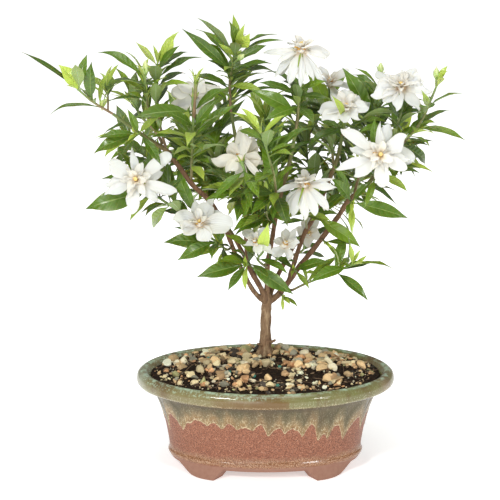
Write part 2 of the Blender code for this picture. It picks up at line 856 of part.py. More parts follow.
def facing_out(points, faces):
    """The same closed surface with its faces pointing out."""
    volume = 0.0
    for face in faces:
        corners = [points[index] for index in face]
        for second, third in zip(corners[1:-1], corners[2:]):
            volume += corners[0].dot(second.cross(third))
    return (points, faces) if volume > 0 else (points, [tuple(reversed(face)) for face in faces])


class Surface:
    """A closed surface that grows: a loop of points is pulled out of one of its faces, ring by ring."""

    def __init__(self):
        self.points = []
        self.faces = {}

    def ring(self, places):
        start = len(self.points)
        self.points.extend(places)
        return list(range(start, len(self.points)))

    def add(self, *face):
        self.faces[face] = True

    def bridge(self, first, second):
        """Joins two loops that run the same way round, turned so that the diagonals are short."""
        count, other = len(first), len(second)
        best = None
        for start in range(other):
            onward = second[start:] + second[:start]
            faces = []
            reach = i = j = 0
            while i < count or j < other:
                here, there = first[i % count], onward[j % other]
                reach += (self.points[here] - self.points[there]).length
                if i < count and (i + 1) * other <= (j + 1) * count:
                    i += 1
                    faces.append((here, first[i % count], there))
                else:
                    j += 1
                    faces.append((here, onward[j % other], there))
            if best is None or reach < best[0]:
                best = (reach, faces)
        for face in best[1]:
            self.add(*face)

    def band(self, first, second):
        """Joins two equal loops with four-sided faces and returns them."""
        count = len(first)
        made = []
        for side in range(count):
            following = (side + 1) % count
            made.append((first[side], first[following], second[following], second[side]))
            self.add(*made[-1])
        return made

    def close(self, loop, tip=None):
        """Ends a loop flat, or at a tip."""
        if tip is None:
            self.add(*loop)
            return
        (end,) = self.ring([tip])
        for side, here in enumerate(loop):
            self.add(here, loop[(side + 1) % len(loop)], end)

    def pull(self, face, rings, tip):
        """Grows a blade or a bud out of a face."""
        del self.faces[face]
        loop = list(face)
        for places in rings:
            onward = self.ring(places)
            self.bridge(loop, onward)
            loop = onward
        self.close(loop, tip)

    def spoilt_by(self, face, rings, tip):
        """Whether a piece pulled out of this face would cross the rest of the surface, or itself."""
        grown = Surface()
        grown.points = list(self.points)
        grown.faces[face] = True
        grown.pull(face, rings, tip)
        added = triangles_of(grown.faces)
        standing = triangles_of(other for other in self.faces if other != face)
        tree = BVHTree.FromPolygons(grown.points, added)
        for one, other in tree.overlap(BVHTree.FromPolygons(grown.points, standing)):
            if cross_beyond(grown.points, added[one], standing[other]):
                return True
        for one, other in tree.overlap(tree):
            if one < other and cross_beyond(grown.points, added[one], added[other]):
                return True
        return False

    def solid(self):
        return self.points, list(self.faces)


def triangles_of(faces):
    return [(face[0], second, third) for face in faces for second, third in zip(face[1:-1], face[2:])]


def cross_beyond(points, one, other):
    """Whether two overlapping triangles cross anywhere but at corners they share."""
    shared = set(one) & set(other)
    if len(shared) != 1:
        return not shared
    for these, those in ((one, other), (other, one)):
        start, end = [points[corner] for corner in these if corner not in shared]
        hit = intersect_ray_tri(*[points[corner] for corner in those], end - start, start, True)
        if hit and 0 <= (hit - start).dot(end - start) <= (end - start).length_squared:
            return True
    return False


def ring_solid(rings, tip=None):
    """A closed surface through rings that run anticlockwise seen from the last one."""
    surface = Surface()
    loops = [surface.ring(ring) for ring in rings]
    surface.close(loops[0][::-1])
    for first, second in zip(loops, loops[1:]):
        surface.bridge(first, second)
    surface.close(loops[-1], tip)
    return facing_out(*surface.solid())


def across_pair(direction):
    """Two unit vectors square to this direction and to each other."""
    helper = Vector((0, 1, 0)) if abs(direction.y) < 0.9 else Vector((1, 0, 0))
    first = direction.cross(helper).normalized()
    return first, direction.cross(first).normalized()


def tube_rings(points, radii, sides):
    """Rings square to a path, without twist."""
    rings = []
    tangent = (points[1] - points[0]).normalized()
    first, _ = across_pair(tangent)
    for index, (point, radius) in enumerate(zip(points, radii)):
        before = points[max(index - 1, 0)]
        after = points[min(index + 1, len(points) - 1)]
        tangent = (after - before).normalized()
        first = (first - tangent * first.dot(tangent)).normalized()
        second = tangent.cross(first)
        turns = [2 * math.pi * side / sides for side in range(sides)]
        rings.append([point + (first * math.cos(turn) + second * math.sin(turn)) * radius for turn in turns])
    return rings


def tube(points, radii, sides):
    return ring_solid(tube_rings(points, radii, sides))


def turned(centre, axis, section, sides):
    """A turned solid on an axis, through (along, radius) sections."""
    return tube([centre + axis * along for along, _ in section], [radius for _, radius in section], sides)


def leaf_width(u):
    return math.sin(math.pi * u**0.9)


def petal_width(u):
    return max(math.sin(math.pi * u**1.5), 0.0) ** 0.6


class Blade:
    """A leaf or a petal: an arc from base to tip, with a width at each place and edges that fold up."""

    def __init__(self, base, tip, normal, width, arch, fold, widths):
        self.base = base
        self.chord = tip - base
        self.length = self.chord.length
        self.along = self.chord.normalized()
        self.up = (normal - self.along * normal.dot(self.along)).normalized()
        self.side = self.along.cross(self.up)
        self.half_width = width / 2
        self.arch = arch
        self.fold = fold
        self.widths = widths

    def normal(self, u):
        turn = self.arch * (0.5 - u)
        return self.up * math.cos(turn) - self.along * math.sin(turn)

    def point(self, u, v):
        """The point at u from base to tip and v from one edge (-1) to the other (1)."""
        turn = self.arch * (0.5 - u)
        radius = self.length / (2 * math.sin(self.arch / 2))
        middle = self.base + self.along * (radius * (math.sin(self.arch / 2) - math.sin(turn)))
        middle += self.up * (radius * (math.cos(turn) - math.cos(self.arch / 2)))
        half = max(self.half_width * self.widths(u), ROOT_HALF_WIDTH)
        lift = abs(v) * half * math.sin(self.fold)
        return middle + self.side * (v * half * math.cos(self.fold)) + self.normal(u) * lift

    def rings(self, stations, thickness, grow=0.0):
        """Three-sided sections with a keel under the fold, anticlockwise seen from the tip."""
        rings = []
        for u in stations:
            above = self.normal(u) * math.copysign(1.0, self.fold)
            left = self.point(u, -1) + (above - self.side) * grow
            right = self.point(u, 1) + (above + self.side) * grow
            keel = self.point(u, 0) - above * (thickness / 2 + grow)
            rings.append([left, right, keel] if self.fold > 0 else [left, keel, right])
        return rings

    def solid(self, stations, thickness, grow=0.0, start=0.0):
        """The blade as a thin closed solid, optionally grown all round, and from start on only."""
        rings = self.rings([max(u, start) for u in stations], thickness, grow)
        return ring_solid(rings, self.point(1.0, 0.0) + self.along * grow)


class Thicket:
    """Everything placed so far, so that each new piece can be kept clear of it."""

    def __init__(self):
        self.placed = []

    def add(self, owner, solid, own_solid=None):
        """own_solid is what pieces of the same owner keep clear of, or None where they may touch."""
        self.placed.append((owner, boxed(solid), boxed(own_solid) if own_solid else None))

    def blocks(self, owner, probe, own_probe=None):
        probe = boxed(probe)
        own_probe = boxed(own_probe) if own_probe else None
        for other, theirs, own in self.placed:
            if other != owner:
                if crosses(probe, theirs):
                    return other
            elif own and own_probe and crosses(own_probe, own):
                return other
        return None


def boxed(solid):
    points, faces = solid
    low = Vector([min(point[axis] for point in points) for axis in range(3)])
    high = Vector([max(point[axis] for point in points) for axis in range(3)])
    return low, high, BVHTree.FromPolygons(points, faces)


def crosses(one, other):
    for axis in range(3):
        if one[1][axis] < other[0][axis] or other[1][axis] < one[0][axis]:
            return False
    return bool(one[2].overlap(other[2]))


def inside_outline(across, up):
    inside = False
    corners = CROWN_OUTLINE
    for (x1, z1), (x2, z2) in zip(corners, corners[1:] + corners[:1]):
        if (z1 > up) != (z2 > up) and across < (x2 - x1) * (up - z1) / (z2 - z1) + x1:
            inside = not inside
    return inside


def hides_a_bloom(points):
    for bloom in BLOOMS.values():
        across, up, depth = bloom["at"]
        radius = BLOOM_SIGHT_RADIUS * bloom["size"]
        for point in points:
            x, z = seen_at(point)
            if point.y < depth + 8 and math.hypot(x - across, z - up) < radius:
                return True
    return False


def along_path(points, share):
    """The point and direction at this share of a path's length."""
    lengths = [(after - before).length for before, after in zip(points, points[1:])]
    left = share * sum(lengths)
    for before, after, length in zip(points, points[1:], lengths):
        if left <= length or after is points[-1]:
            return before + (after - before) * min(left / length, 1.0), (after - before).normalized()
        left -= length


class Stem:
    """One stem: a four-sided surface with short collars, whose faces the leaves grow from."""

    def __init__(self, points, radii, shares):
        self.points = points
        lengths = [0.0]
        for before, after in zip(points, points[1:]):
            lengths.append(lengths[-1] + (after - before).length)
        self.length = lengths[-1]
        wanted = sorted(min(max(share * self.length, COLLAR_CLEAR), self.length - COLLAR) for share in shares)
        self.collars = []
        middles = []
        for middle in wanted:
            if not middles or middle - middles[-1] > COLLAR_SPACING:
                middles.append(middle)
        stations = []
        for distance, radius in zip(lengths, radii):
            clear = all(abs(distance - middle) > COLLAR_CLEAR for middle in middles)
            if clear or distance in (0.0, self.length):
                stations.append((distance, radius, False))
        for middle in middles:
            for side in (-0.5, 0.5):
                distance = middle + side * COLLAR
                stations.append((distance, self.radius_at(distance, lengths, radii), side < 0))
        stations.sort()
        places = [along_path(points, distance / self.length)[0] for distance, _, _ in stations]
        rings = tube_rings(places, [radius for _, radius, _ in stations], STEM_SIDES)
        self.surface = Surface()
        loops = [self.surface.ring(ring) for ring in rings]
        self.surface.close(loops[0][::-1])
        for index, (first, second) in enumerate(zip(loops, loops[1:])):
            if stations[index][2]:
                self.collars.append((stations[index][0], self.surface.band(first, second)))
            else:
                self.surface.bridge(first, second)
        self.surface.close(loops[-1])
        self.collars.append((self.length, [tuple(loops[-1])]))

    def radius_at(self, distance, lengths, radii):
        for index in range(len(lengths) - 1):
            if distance <= lengths[index + 1]:
                share = (distance - lengths[index]) / (lengths[index + 1] - lengths[index])
                return radii[index] + (radii[index + 1] - radii[index]) * share
        return radii[-1]

    def middle_of(self, face):
        corners = [self.surface.points[index] for index in face]
        return sum(corners, Vector()) / len(corners)

    def outward(self, face):
        first, second, third = [self.surface.points[index] for index in face[:3]]
        return (second - first).cross(third - second).normalized()

    def free_faces(self, share, way):
        """The collar faces near this share of the stem, those that look most nearly this way first."""
        found = []
        for distance, faces in self.collars:
            away = abs(distance - share * self.length)
            if away > COLLAR_REACH:
                continue
            for face in faces:
                looks = self.outward(face).dot(way)
                if face in self.surface.faces and looks > LEAST_LOOK:
                    found.append((away * SLIDE_COST - looks, face))
        return [face for _, face in sorted(found)[:FACES_TRIED]]


class Plant:
    """Grows the wood, the blooms and the sprays in a fixed order, each clear of what stands there already."""

    def __init__(self):
        self.draw = random.Random(SEED)
        self.thicket = Thicket()
        self.wood = []
        self.blooms = {}
        self.sprays = {}

    def grow(self):
        for name, limb in LIMBS.items():
            points = [spot(*place[:3]) for place in limb]
            radii = [place[3] for place in limb]
            solid = tube(points, radii, TRUNK_SIDES if name == "trunk" else LIMB_SIDES)
            self.wood.append(solid)
            self.thicket.add("wood", solid)
        for name, bloom in BLOOMS.items():
            self.open_bloom(name, bloom)
        for name, plans in SPRAYS.items():
            self.sprays[name] = []
            for plan in plans:
                self.raise_stem(name, plan)
        for name, stems in self.sprays.items():
            for stem, plan in zip(stems, SPRAYS[name]):
                self.hang_named_leaves(name, stem, plan)
        for name, stems in self.sprays.items():
            for stem, plan in zip(stems, SPRAYS[name]):
                self.fill_with_pairs(name, stem, plan)

    def open_bloom(self, name, bloom):
        """A hub in three bands, with a petal pulled out of each face of each band."""
        centre = spot(*bloom["at"])
        axis = Vector(bloom["faces"]).normalized()
        size = bloom["size"]
        first, second = across_pair(axis)
        second = axis.cross(first)
        hub = Surface()
        grown = 0
        counts = (*bloom["petals"], INNER_PETALS)
        openings = (*bloom["opening"], INNER_OPENING)
        loop = None
        for count, opening, layer, (low, high) in zip(counts, openings, PETAL_LAYERS, HUB_BANDS):
            length, arch, fold, stations = layer
            start = math.radians(bloom["spin"]) + LAYER_TURN * grown
            edges = [start + 2 * math.pi * (side - 0.5) / count for side in range(count)]
            loops = []
            for height, radius in (low, high):
                ring = [
                    centre + axis * height + (first * math.cos(turn) + second * math.sin(turn)) * radius
                    for turn in edges
                ]
                loops.append(hub.ring(ring))
            if loop is None:
                hub.close(loops[0][::-1])
            else:
                hub.bridge(loop, loops[0])
            for index, face in enumerate(hub.band(*loops)):
                turn = start + 2 * math.pi * index / count
                open_by = math.radians(opening + self.draw.uniform(-OPENING_STRAY, OPENING_STRAY))
                reach = length * size * self.draw.uniform(*PETAL_REACHES)
                twist = math.radians(self.draw.uniform(*PETAL_TWISTS))
                out = first * math.cos(turn) + second * math.sin(turn)
                root = sum((hub.points[corner] for corner in face), Vector()) / 4
                for shorter in SHORTER_PETALS:
                    along = axis * math.cos(open_by) + out * math.sin(open_by)
                    normal = axis * math.sin(open_by) - out * math.cos(open_by)
                    normal += along.cross(normal) * math.sin(twist)
                    tip = root + along * (reach * shorter)
                    petal = Blade(root, tip, normal, reach * PETAL_WIDTH, arch, fold, petal_width)
                    probe = petal.solid((0.0, *stations), PETAL_THICKNESS, CLEARANCE)
                    own_probe = petal.solid((0.0, *stations), PETAL_THICKNESS, OWN_CLEARANCE, PETAL_ROOT)
                    rings = petal.rings(stations, PETAL_THICKNESS)
                    spoilt = hub.spoilt_by(face, rings, petal.point(1.0, 0.0))
                    if not spoilt and not self.thicket.blocks(name, probe, own_probe):
                        hub.pull(face, rings, petal.point(1.0, 0.0))
                        solid = petal.solid((0.0, *stations), PETAL_THICKNESS)
                        own = petal.solid((0.0, *stations), PETAL_THICKNESS, start=PETAL_ROOT)
                        self.thicket.add(name, solid, own)
                        grown += 1
                        break
                    twist += FURTHER_TWIST
            loop = loops[1]
        hub.close(loop)
        self.thicket.add(name, turned(centre, axis, HUB_BANDS[0] + HUB_BANDS[1] + HUB_BANDS[2], STIGMA_SIDES))
        stigma = turned(centre, axis, STIGMA, STIGMA_SIDES)
        self.thicket.add(name, stigma)
        self.blooms[name] = dict(centre=centre, axis=axis, surface=hub, stigma=stigma)

    def raise_stem(self, spray, plan):
        """A stem with a collar for each leaf, its foot drawn back until it is clear of what carries it."""
        points = [spot(*place) for place in plan["path"]]
        radii = [
            plan["radii"][0] + (plan["radii"][1] - plan["radii"][0]) * index / (len(points) - 1)
            for index in range(len(points))
        ]
        if not self.sprays[spray]:
            foot = points[0]
            step = (points[1] - points[0]).normalized()
            for back in range(1, FOOT_STEPS):
                points[0] = foot + step * (GAP * back)
                near = tube([points[0], points[0] + step * FOOT_PROBE], [radii[0] + GAP] * 2, STEM_SIDES)
                if not self.thicket.blocks(spray, near):
                    break
        length = sum((after - before).length for before, after in zip(points, points[1:]))
        bloom = self.blooms.get(plan.get("bloom"))
        if bloom:
            for below, radius in CALYX:
                points.append(bloom["centre"] - bloom["axis"] * (below + CALYX_GAP))
                radii.append(radius)
        full = sum((after - before).length for before, after in zip(points, points[1:]))
        shares = [leaf[0] for leaf in plan.get("leaves", ())] + [bud[0] for bud in plan.get("buds", ())]
        pairs = 0 if plan["bare"] >= 1 else int(length * (1 - plan["bare"]) / PAIR_SPACING)
        if plan["bare"] < 1:
            shares += [plan["bare"] + (1 - plan["bare"]) * pair / max(pairs, 1) for pair in range(pairs + 1)]
        plan["shrink"] = length / full
        plan["pairs"] = pairs
        stem = Stem(points, radii, [share * length / full for share in shares])
        self.sprays[spray].append(stem)
        solid = tube(points, radii, STEM_SIDES)
        self.thicket.add(spray, solid, solid)

    def set_bud(self, spray, stem, share, tip):
        way = (tip - along_path(stem.points, share)[0]).normalized()
        for face in stem.free_faces(share, way):
            base = stem.middle_of(face)
            places = [base.lerp(tip, along) for along, _ in BUD]
            rings = tube_rings(places, [radius for _, radius in BUD], STEM_SIDES)
            probe = tube(places + [tip], [radius + CLEARANCE for _, radius in BUD] + [CLEARANCE], STEM_SIDES)
            if self.thicket.blocks(spray, probe) or stem.surface.spoilt_by(face, rings, tip):
                continue
            stem.surface.pull(face, rings, tip)
            solid = tube(places + [tip], [radius for _, radius in BUD] + [BUD_TIP], STEM_SIDES)
            self.thicket.add(spray, solid, solid)
            return

    def try_leaf(self, spray, stem, face, leaf):
        """Grows the leaf out of this face if it is clear of everything, and says whether it did."""
        stations = (0.0, *LEAF_STATIONS)
        probe = leaf.solid(stations, LEAF_THICKNESS, CLEARANCE)
        own_probe = leaf.solid(stations, LEAF_THICKNESS, OWN_CLEARANCE, LEAF_ROOT)
        rings = leaf.rings(LEAF_STATIONS, LEAF_THICKNESS)
        tip = leaf.point(1.0, 0.0)
        if self.thicket.blocks(spray, probe, own_probe) or stem.surface.spoilt_by(face, rings, tip):
            return False
        stem.surface.pull(face, rings, tip)
        own = leaf.solid(stations, LEAF_THICKNESS, start=LEAF_ROOT)
        self.thicket.add(spray, leaf.solid(stations, LEAF_THICKNESS), own)
        return True

    def hang_named_leaves(self, spray, stem, plan):
        for share, across, up, depth, roll, age in plan.get("leaves", ()):
            share *= plan["shrink"]
            way = (spot(across, up, depth) - along_path(stem.points, share)[0]).normalized()
            faces = stem.free_faces(share, way)
            arch = LEAF_ARCH + self.draw.uniform(-ARCH_STRAY, ARCH_STRAY)
            for face, (push, turn) in ((face, nudge) for nudge in NUDGES for face in faces):
                tip = spot(across, up, depth + push)
                leaf = self.turned_leaf(stem.middle_of(face), tip, roll + turn, LEAF_WIDTHS[age], arch)
                if self.try_leaf(spray, stem, face, leaf):
                    break
        for share, *tip in plan.get("buds", ()):
            self.set_bud(spray, stem, share * plan["shrink"], spot(*tip))

    def turned_leaf(self, base, tip, roll, width, arch):
        """A leaf whose upper side is turned this many degrees from the viewer."""
        along = (tip - base).normalized()
        to_eye = (EYE - base).normalized()
        towards = (to_eye - along * to_eye.dot(along)).normalized()
        aside = along.cross(towards)
        if aside.z < 0:
            aside = -aside
        turn = math.radians(roll)
        normal = towards * math.cos(turn) + aside * math.sin(turn)
        length = (tip - base).length
        return Blade(base, tip, normal, length * width, arch, LEAF_FOLD, leaf_width)

    def fill_with_pairs(self, spray, stem, plan):
        """Pairs of leaves up the stem, each pair a quarter turn on from the last."""
        if plan["bare"] >= 1:
            return
        pairs = plan["pairs"]
        for pair in range(pairs + 1):
            share = (plan["bare"] + (1 - plan["bare"]) * pair / max(pairs, 1)) * plan["shrink"]
            _, tangent = along_path(stem.points, share)
            first, second = across_pair(tangent)
            quarter = math.pi / 2 * pair + self.draw.uniform(-PAIR_STRAY, PAIR_STRAY)
            young = pair == pairs and not plan.get("bloom")
            for half in (0, math.pi):
                out = first * math.cos(quarter + half) + second * math.sin(quarter + half)
                self.fill_leaf(spray, stem, share, tangent, out, young)

    def fill_leaf(self, spray, stem, share, tangent, out, young):
        lengths, leans = YOUNG_GROWTH if young else FULL_GROWTH
        length = self.draw.uniform(*lengths)
        lean = math.radians(self.draw.uniform(*leans))
        sag = self.draw.uniform(*SAGS)
        age = YOUNG if young else self.draw.choice((OLD, OLD, MID))
        aside = tangent.cross(out)
        faces = stem.free_faces(share, out)
        for face, (swing, shorter) in ((face, swing) for swing in SWINGS for face in faces):
            base = stem.middle_of(face)
            swung = out * math.cos(swing) + aside * math.sin(swing)
            way = tangent * math.cos(lean) + swung * math.sin(lean)
            tip = base + way * (length * shorter)
            normal = tangent * STEMWARD + TO_LIGHT
            if abs(normal.normalized().dot(way)) > EDGE_ON:
                continue
            leaf = Blade(base, tip, normal, length * shorter * LEAF_WIDTHS[age], sag, LEAF_FOLD, leaf_width)
            sample = [leaf.point(u, 0) for u in LEAF_SAMPLES]
            if not CROWN_DEPTHS[0] < tip.y < CROWN_DEPTHS[1]:
                continue
            if not all(inside_outline(*seen_at(point)) for point in sample):
                continue
            if hides_a_bloom(sample):
                continue
            if self.try_leaf(spray, stem, face, leaf):
                return


# How the rule's leaves grow: their lengths and how far they lean from the stem in degrees, how much they
# arch, how far a pair strays from square to the last, and which way their upper sides look
YOUNG_GROWTH = ((24.0, 31.0), (28.0, 40.0))
FULL_GROWTH = ((32.0, 42.0), (45.0, 65.0))
SAGS = (0.35, 0.7)
ARCH_STRAY = 0.12
PAIR_STRAY = 0.3
STEMWARD = 0.6
TO_LIGHT = Vector((0.0, -0.25, 0.9))
EDGE_ON = 0.97
LEAF_SAMPLES = (0.45, 0.75, 1.0)

# What a named leaf tries in turn to get clear, as (further back, further turned), then what a rule's leaf
# tries, as (swung round the stem, shorter)
NUDGES = (
    (0, 0), (-6, 0), (6, 0), (-6, 15), (6, 15), (-12, 0), (12, 0), (-12, -15), (12, -15), (0, 25), (0, -25),
    (-20, 0), (20, 0), (-20, 20), (20, -20), (-28, 0), (28, 0),
)
SWINGS = (
    (0.0, 1.0), (0.35, 1.0), (-0.35, 1.0), (0.7, 0.95), (-0.7, 0.95), (0.35, 0.8), (-0.35, 0.8), (1.05, 0.8),
    (-1.05, 0.8),
)


def pot_ring(inwards, height, sides):
    """A level ring of the oval pot, this far in from the lip all round."""
    ring = []
    for side in range(sides):
        turn = 2 * math.pi * side / sides
        x = (POT_HALF_LENGTH - inwards) * math.cos(turn)
        y = (POT_HALF_DEPTH - inwards) * math.sin(turn)
        ring.append(Vector((x, y, height)))
    return ring


def round_ring(centre, radius, height, sides):
    ring = []
    for side in range(sides):
        turn = 2 * math.pi * side / sides
        x = centre[0] + radius * math.cos(turn)
        y = centre[1] + radius * math.sin(turn)
        ring.append(Vector((x, y, height)))
    return ring


def pot_wall():
    """The vessel without feet: out under the floor, up outside, over the lip, down inside to the drain."""
    rings = [round_ring((0, 0), DRAIN_RADIUS, POT_BOTTOM, POT_SIDES)]
    rings += [pot_ring(inwards, height, POT_SIDES) for inwards, height in POT_OUTSIDE + POT_INSIDE]
    rings.append(round_ring((0, 0), DRAIN_RADIUS, POT_FLOOR, POT_SIDES))
    points = [point for ring in rings for point in ring]
    faces = []
    for row in range(len(rings)):
        here = row * POT_SIDES
        above = (row + 1) % len(rings) * POT_SIDES
        for side in range(POT_SIDES):
            following = (side + 1) % POT_SIDES
            faces.append((here + side, here + following, above + following, above + side))
    return facing_out(points, faces)


def pot_foot(left, front):
    """A corner foot: a curved bracket under the ridge, wider at its top than where it stands."""
    rings = []
    for height, outer, inner, near, far, roundness in FOOT_SECTIONS:
        ring = []
        turns = [near + (far - near) * step / FOOT_FACES for step in range(FOOT_FACES + 1)]
        for inwards, order in ((outer, turns), (inner, turns[::-1])):
            for turn in order:
                x = (POT_HALF_LENGTH - inwards[0]) * math.cos(math.radians(turn)) ** roundness
                y = (POT_HALF_DEPTH - inwards[1]) * math.sin(math.radians(turn)) ** roundness
                ring.append(Vector((-x if left else x, -y if front else y, height)))
        rings.append(ring)
    return ring_solid(rings)


def soil_height(x, y):
    """The soil's mounded top, highest round the trunk."""
    out = math.hypot(x / (POT_HALF_LENGTH - 12), y / (POT_HALF_DEPTH - 12))
    rough = math.sin(x * 0.31 + 1.3) * math.sin(y * 0.43 + 0.4) + 0.6 * math.sin(x * 0.13 - y * 0.21)
    return SOIL_RIM + SOIL_MOUND * max(1 - out**SOIL_FULLNESS, 0.0) + SOIL_ROUGHNESS * rough


def soil_body():
    """The soil: up the trunk's well, out over the mound, down the pot's wall and along its floor."""
    sides = POT_SIDES
    well_top = round_ring(TRUNK_FOOT, WELL_RADIUS, 0.0, sides)
    edge = pot_ring(SOIL_EDGE, 0.0, sides)
    rings = [round_ring(TRUNK_FOOT, WELL_RADIUS, WELL_BOTTOM, sides)]
    for step in range(SOIL_RINGS + 1):
        ring = [inner.lerp(outer, step / SOIL_RINGS) for inner, outer in zip(well_top, edge)]
        rings.append([Vector((point.x, point.y, soil_height(point.x, point.y))) for point in ring])
    for inwards, height in SOIL_OUTSIDE:
        rings.append(pot_ring(inwards, height, sides))
    return ring_solid(rings)


def pebble(draw):
    """A faceted stone pressed into the soil."""
    turn = draw.uniform(0, 2 * math.pi)
    out = math.sqrt(draw.uniform(0.06, 1.0)) * PEBBLE_REACH
    x = out * (POT_HALF_LENGTH - SOIL_EDGE) * math.cos(turn)
    y = out * (POT_HALF_DEPTH - SOIL_EDGE) * math.sin(turn)
    if math.hypot(x - TRUNK_FOOT[0], y - TRUNK_FOOT[1]) < WELL_RADIUS + PEBBLE_SIZES[1] + 1:
        return None
    size = draw.uniform(*PEBBLE_SIZES)
    height = soil_height(x, y)
    spin = draw.uniform(0, math.pi)
    longer = draw.uniform(*PEBBLE_LONGER)
    rings = []
    for rise, spread in zip((-PEBBLE_SINK - size * 0.2, size * 0.4), PEBBLE_SPREADS):
        ring = []
        for side in range(PEBBLE_SIDES):
            round_by = 2 * math.pi * side / PEBBLE_SIDES
            reach = size * spread * draw.uniform(*PEBBLE_UNEVEN) * 0.5
            along, aside = reach * longer * math.cos(round_by), reach * math.sin(round_by)
            ring.append(
                Vector((
                    x + along * math.cos(spin) - aside * math.sin(spin),
                    y + along * math.sin(spin) + aside * math.cos(spin),
                    height + rise,
                ))
            )
        rings.append(ring)
    return ring_solid(rings)


def material(name, colour, roughness, metallic=0.0):
    made = bpy.data.materials.new(name)
    made.use_nodes = True
    shader = made.node_tree.nodes["Principled BSDF"]
    shader.inputs["Base Color"].default_value = (*colour, 1.0)
    shader.inputs["Roughness"].default_value = roughness
    shader.inputs["Metallic"].default_value = metallic
    made.diffuse_color = (*colour, 1.0)
    return made


def mesh_object(name, solid, collection):
    points, faces = solid
    mesh = bpy.data.meshes.new(name)
    mesh.from_pydata([point * MM for point in points], [], faces)
    made = bpy.data.objects.new(name, mesh)
    collection.objects.link(made)
    return made


def keep_largest_shell(mesh):
    """Fills what a union sealed and drops loose scraps, by keeping only the largest connected surface."""
    work = bmesh.new()
    work.from_mesh(mesh)
    unseen = set(work.verts)
    shells = []
    while unseen:
        reached = [unseen.pop()]
        shell = set(reached)
        while reached:
            for edge in reached.pop().link_edges:
                for vertex in edge.verts:
                    if vertex in unseen:
                        unseen.remove(vertex)
                        shell.add(vertex)
                        reached.append(vertex)
        shells.append(shell)
    shells.sort(key=len)
    for shell in shells[:-1]:
        bmesh.ops.delete(work, geom=list(shell), context="VERTS")
    work.to_mesh(mesh)
    work.free()


def fused(name, solids, look, smooth_angle=40):
    """One object made of overlapping solids, joined by a Boolean union."""
    scene = bpy.context.scene.collection
    body = mesh_object(name, solids[0], scene)
    if len(solids) > 1:
        joined = bpy.data.collections.new(name + "_pieces")
        scene.children.link(joined)
        for index, solid in enumerate(solids[1:]):
            mesh_object(f"{name}_piece_{index}", solid, joined)
        union = body.modifiers.new("join", "BOOLEAN")
        union.operation = "UNION"
        union.operand_type = "COLLECTION"
        union.collection = joined
        union.solver = "MANIFOLD"
        graph = bpy.context.evaluated_depsgraph_get()
        mesh = bpy.data.meshes.new_from_object(body.evaluated_get(graph))
        mesh.name = name
        keep_largest_shell(mesh)
        body.modifiers.clear()
        body.data = mesh
        for piece in list(joined.objects):
            bpy.data.objects.remove(piece)
        bpy.data.collections.remove(joined)
    body.data.materials.clear()
    body.data.materials.append(look)
    body.data.shade_smooth()
    body.data.set_sharp_from_angle(angle=math.radians(smooth_angle))
    return body


def centre_on_origin():
    """Moves everything so that the middle of the whole thing's base is the origin."""
    bodies = [item for item in bpy.context.scene.objects if item.type == "MESH"]
    points = [vertex.co for body in bodies for vertex in body.data.vertices]
    low = Vector([min(point[axis] for point in points) for axis in range(3)])
    high = Vector([max(point[axis] for point in points) for axis in range(3)])
    shift = Matrix.Translation((-(low.x + high.x) / 2, -(low.y + high.y) / 2, -low.z))
    for body in bodies:
        body.data.transform(shift)


def main():
    for leftover in list(bpy.data.objects):
        bpy.data.objects.remove(leftover)
    clay = material("glazed_clay", (0.36, 0.14, 0.10), 0.35)
    earth = material("soil", (0.06, 0.04, 0.03), 0.95)
    bark = material("bark", (0.22, 0.14, 0.09), 0.85)
    green = material("leaf_green", (0.06, 0.17, 0.03), 0.4)
    white = material("petal_white", (0.9, 0.89, 0.84), 0.6)
    yellow = material("stigma_yellow", (0.75, 0.42, 0.06), 0.6)

    feet = [pot_foot(left, front) for left in (True, False) for front in (True, False)]
    fused("pot", [pot_wall()] + feet, clay)
    draw = random.Random(SEED)
    stones = []
    while len(stones) < PEBBLES:
        stone = pebble(draw)
        if stone:
            stones.append(stone)
    fused("soil", [soil_body()] + stones, earth, 25)

    plant = Plant()
    plant.grow()
    fused("trunk", plant.wood, bark)
    for name, bloom in plant.blooms.items():
        fused(f"bloom_{name}_petals", [bloom["surface"].solid()], white)
        fused(f"bloom_{name}_stigma", [bloom["stigma"]], yellow)
    for name, stems in plant.sprays.items():
        fused(f"spray_{name}", [stem.surface.solid() for stem in stems], green)
    centre_on_origin()


main()
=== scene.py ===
"""A gardenia grown as a bonsai, in bloom, in an oval footed pot of drip-glazed clay."""

import math
import random
from types import SimpleNamespace

import bmesh
import bpy
import numpy
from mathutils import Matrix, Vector, noise
from mathutils.bvhtree import BVHTree
from mathutils.geometry import intersect_ray_tri
from mathutils.kdtree import KDTree


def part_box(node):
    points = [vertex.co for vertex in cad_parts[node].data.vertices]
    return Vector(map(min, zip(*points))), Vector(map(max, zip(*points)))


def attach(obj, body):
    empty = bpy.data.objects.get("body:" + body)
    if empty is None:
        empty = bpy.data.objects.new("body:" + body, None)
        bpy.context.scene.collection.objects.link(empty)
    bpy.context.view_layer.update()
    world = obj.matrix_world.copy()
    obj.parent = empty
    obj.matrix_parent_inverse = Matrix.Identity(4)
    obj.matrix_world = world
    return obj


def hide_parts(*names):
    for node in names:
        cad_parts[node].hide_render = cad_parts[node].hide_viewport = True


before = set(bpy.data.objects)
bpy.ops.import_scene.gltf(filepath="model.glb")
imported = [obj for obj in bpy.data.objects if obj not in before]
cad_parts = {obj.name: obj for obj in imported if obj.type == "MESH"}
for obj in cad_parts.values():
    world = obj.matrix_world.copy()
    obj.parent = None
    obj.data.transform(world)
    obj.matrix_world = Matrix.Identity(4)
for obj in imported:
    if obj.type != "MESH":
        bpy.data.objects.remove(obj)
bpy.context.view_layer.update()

# Everything below is laid out in millimetres about the middle of the pot, on the plane of its wall's foot
MM = 0.001
TURN = 2 * math.pi
ANY_TURN = (0, 6.28)
GAP = 0.3
EYE = Vector((-12.1, -1490.0, 604.0))
AIM = Vector((-12.1, 0.0, 174.4))
RIGHT = Vector((1.0, 0.0, 0.0))
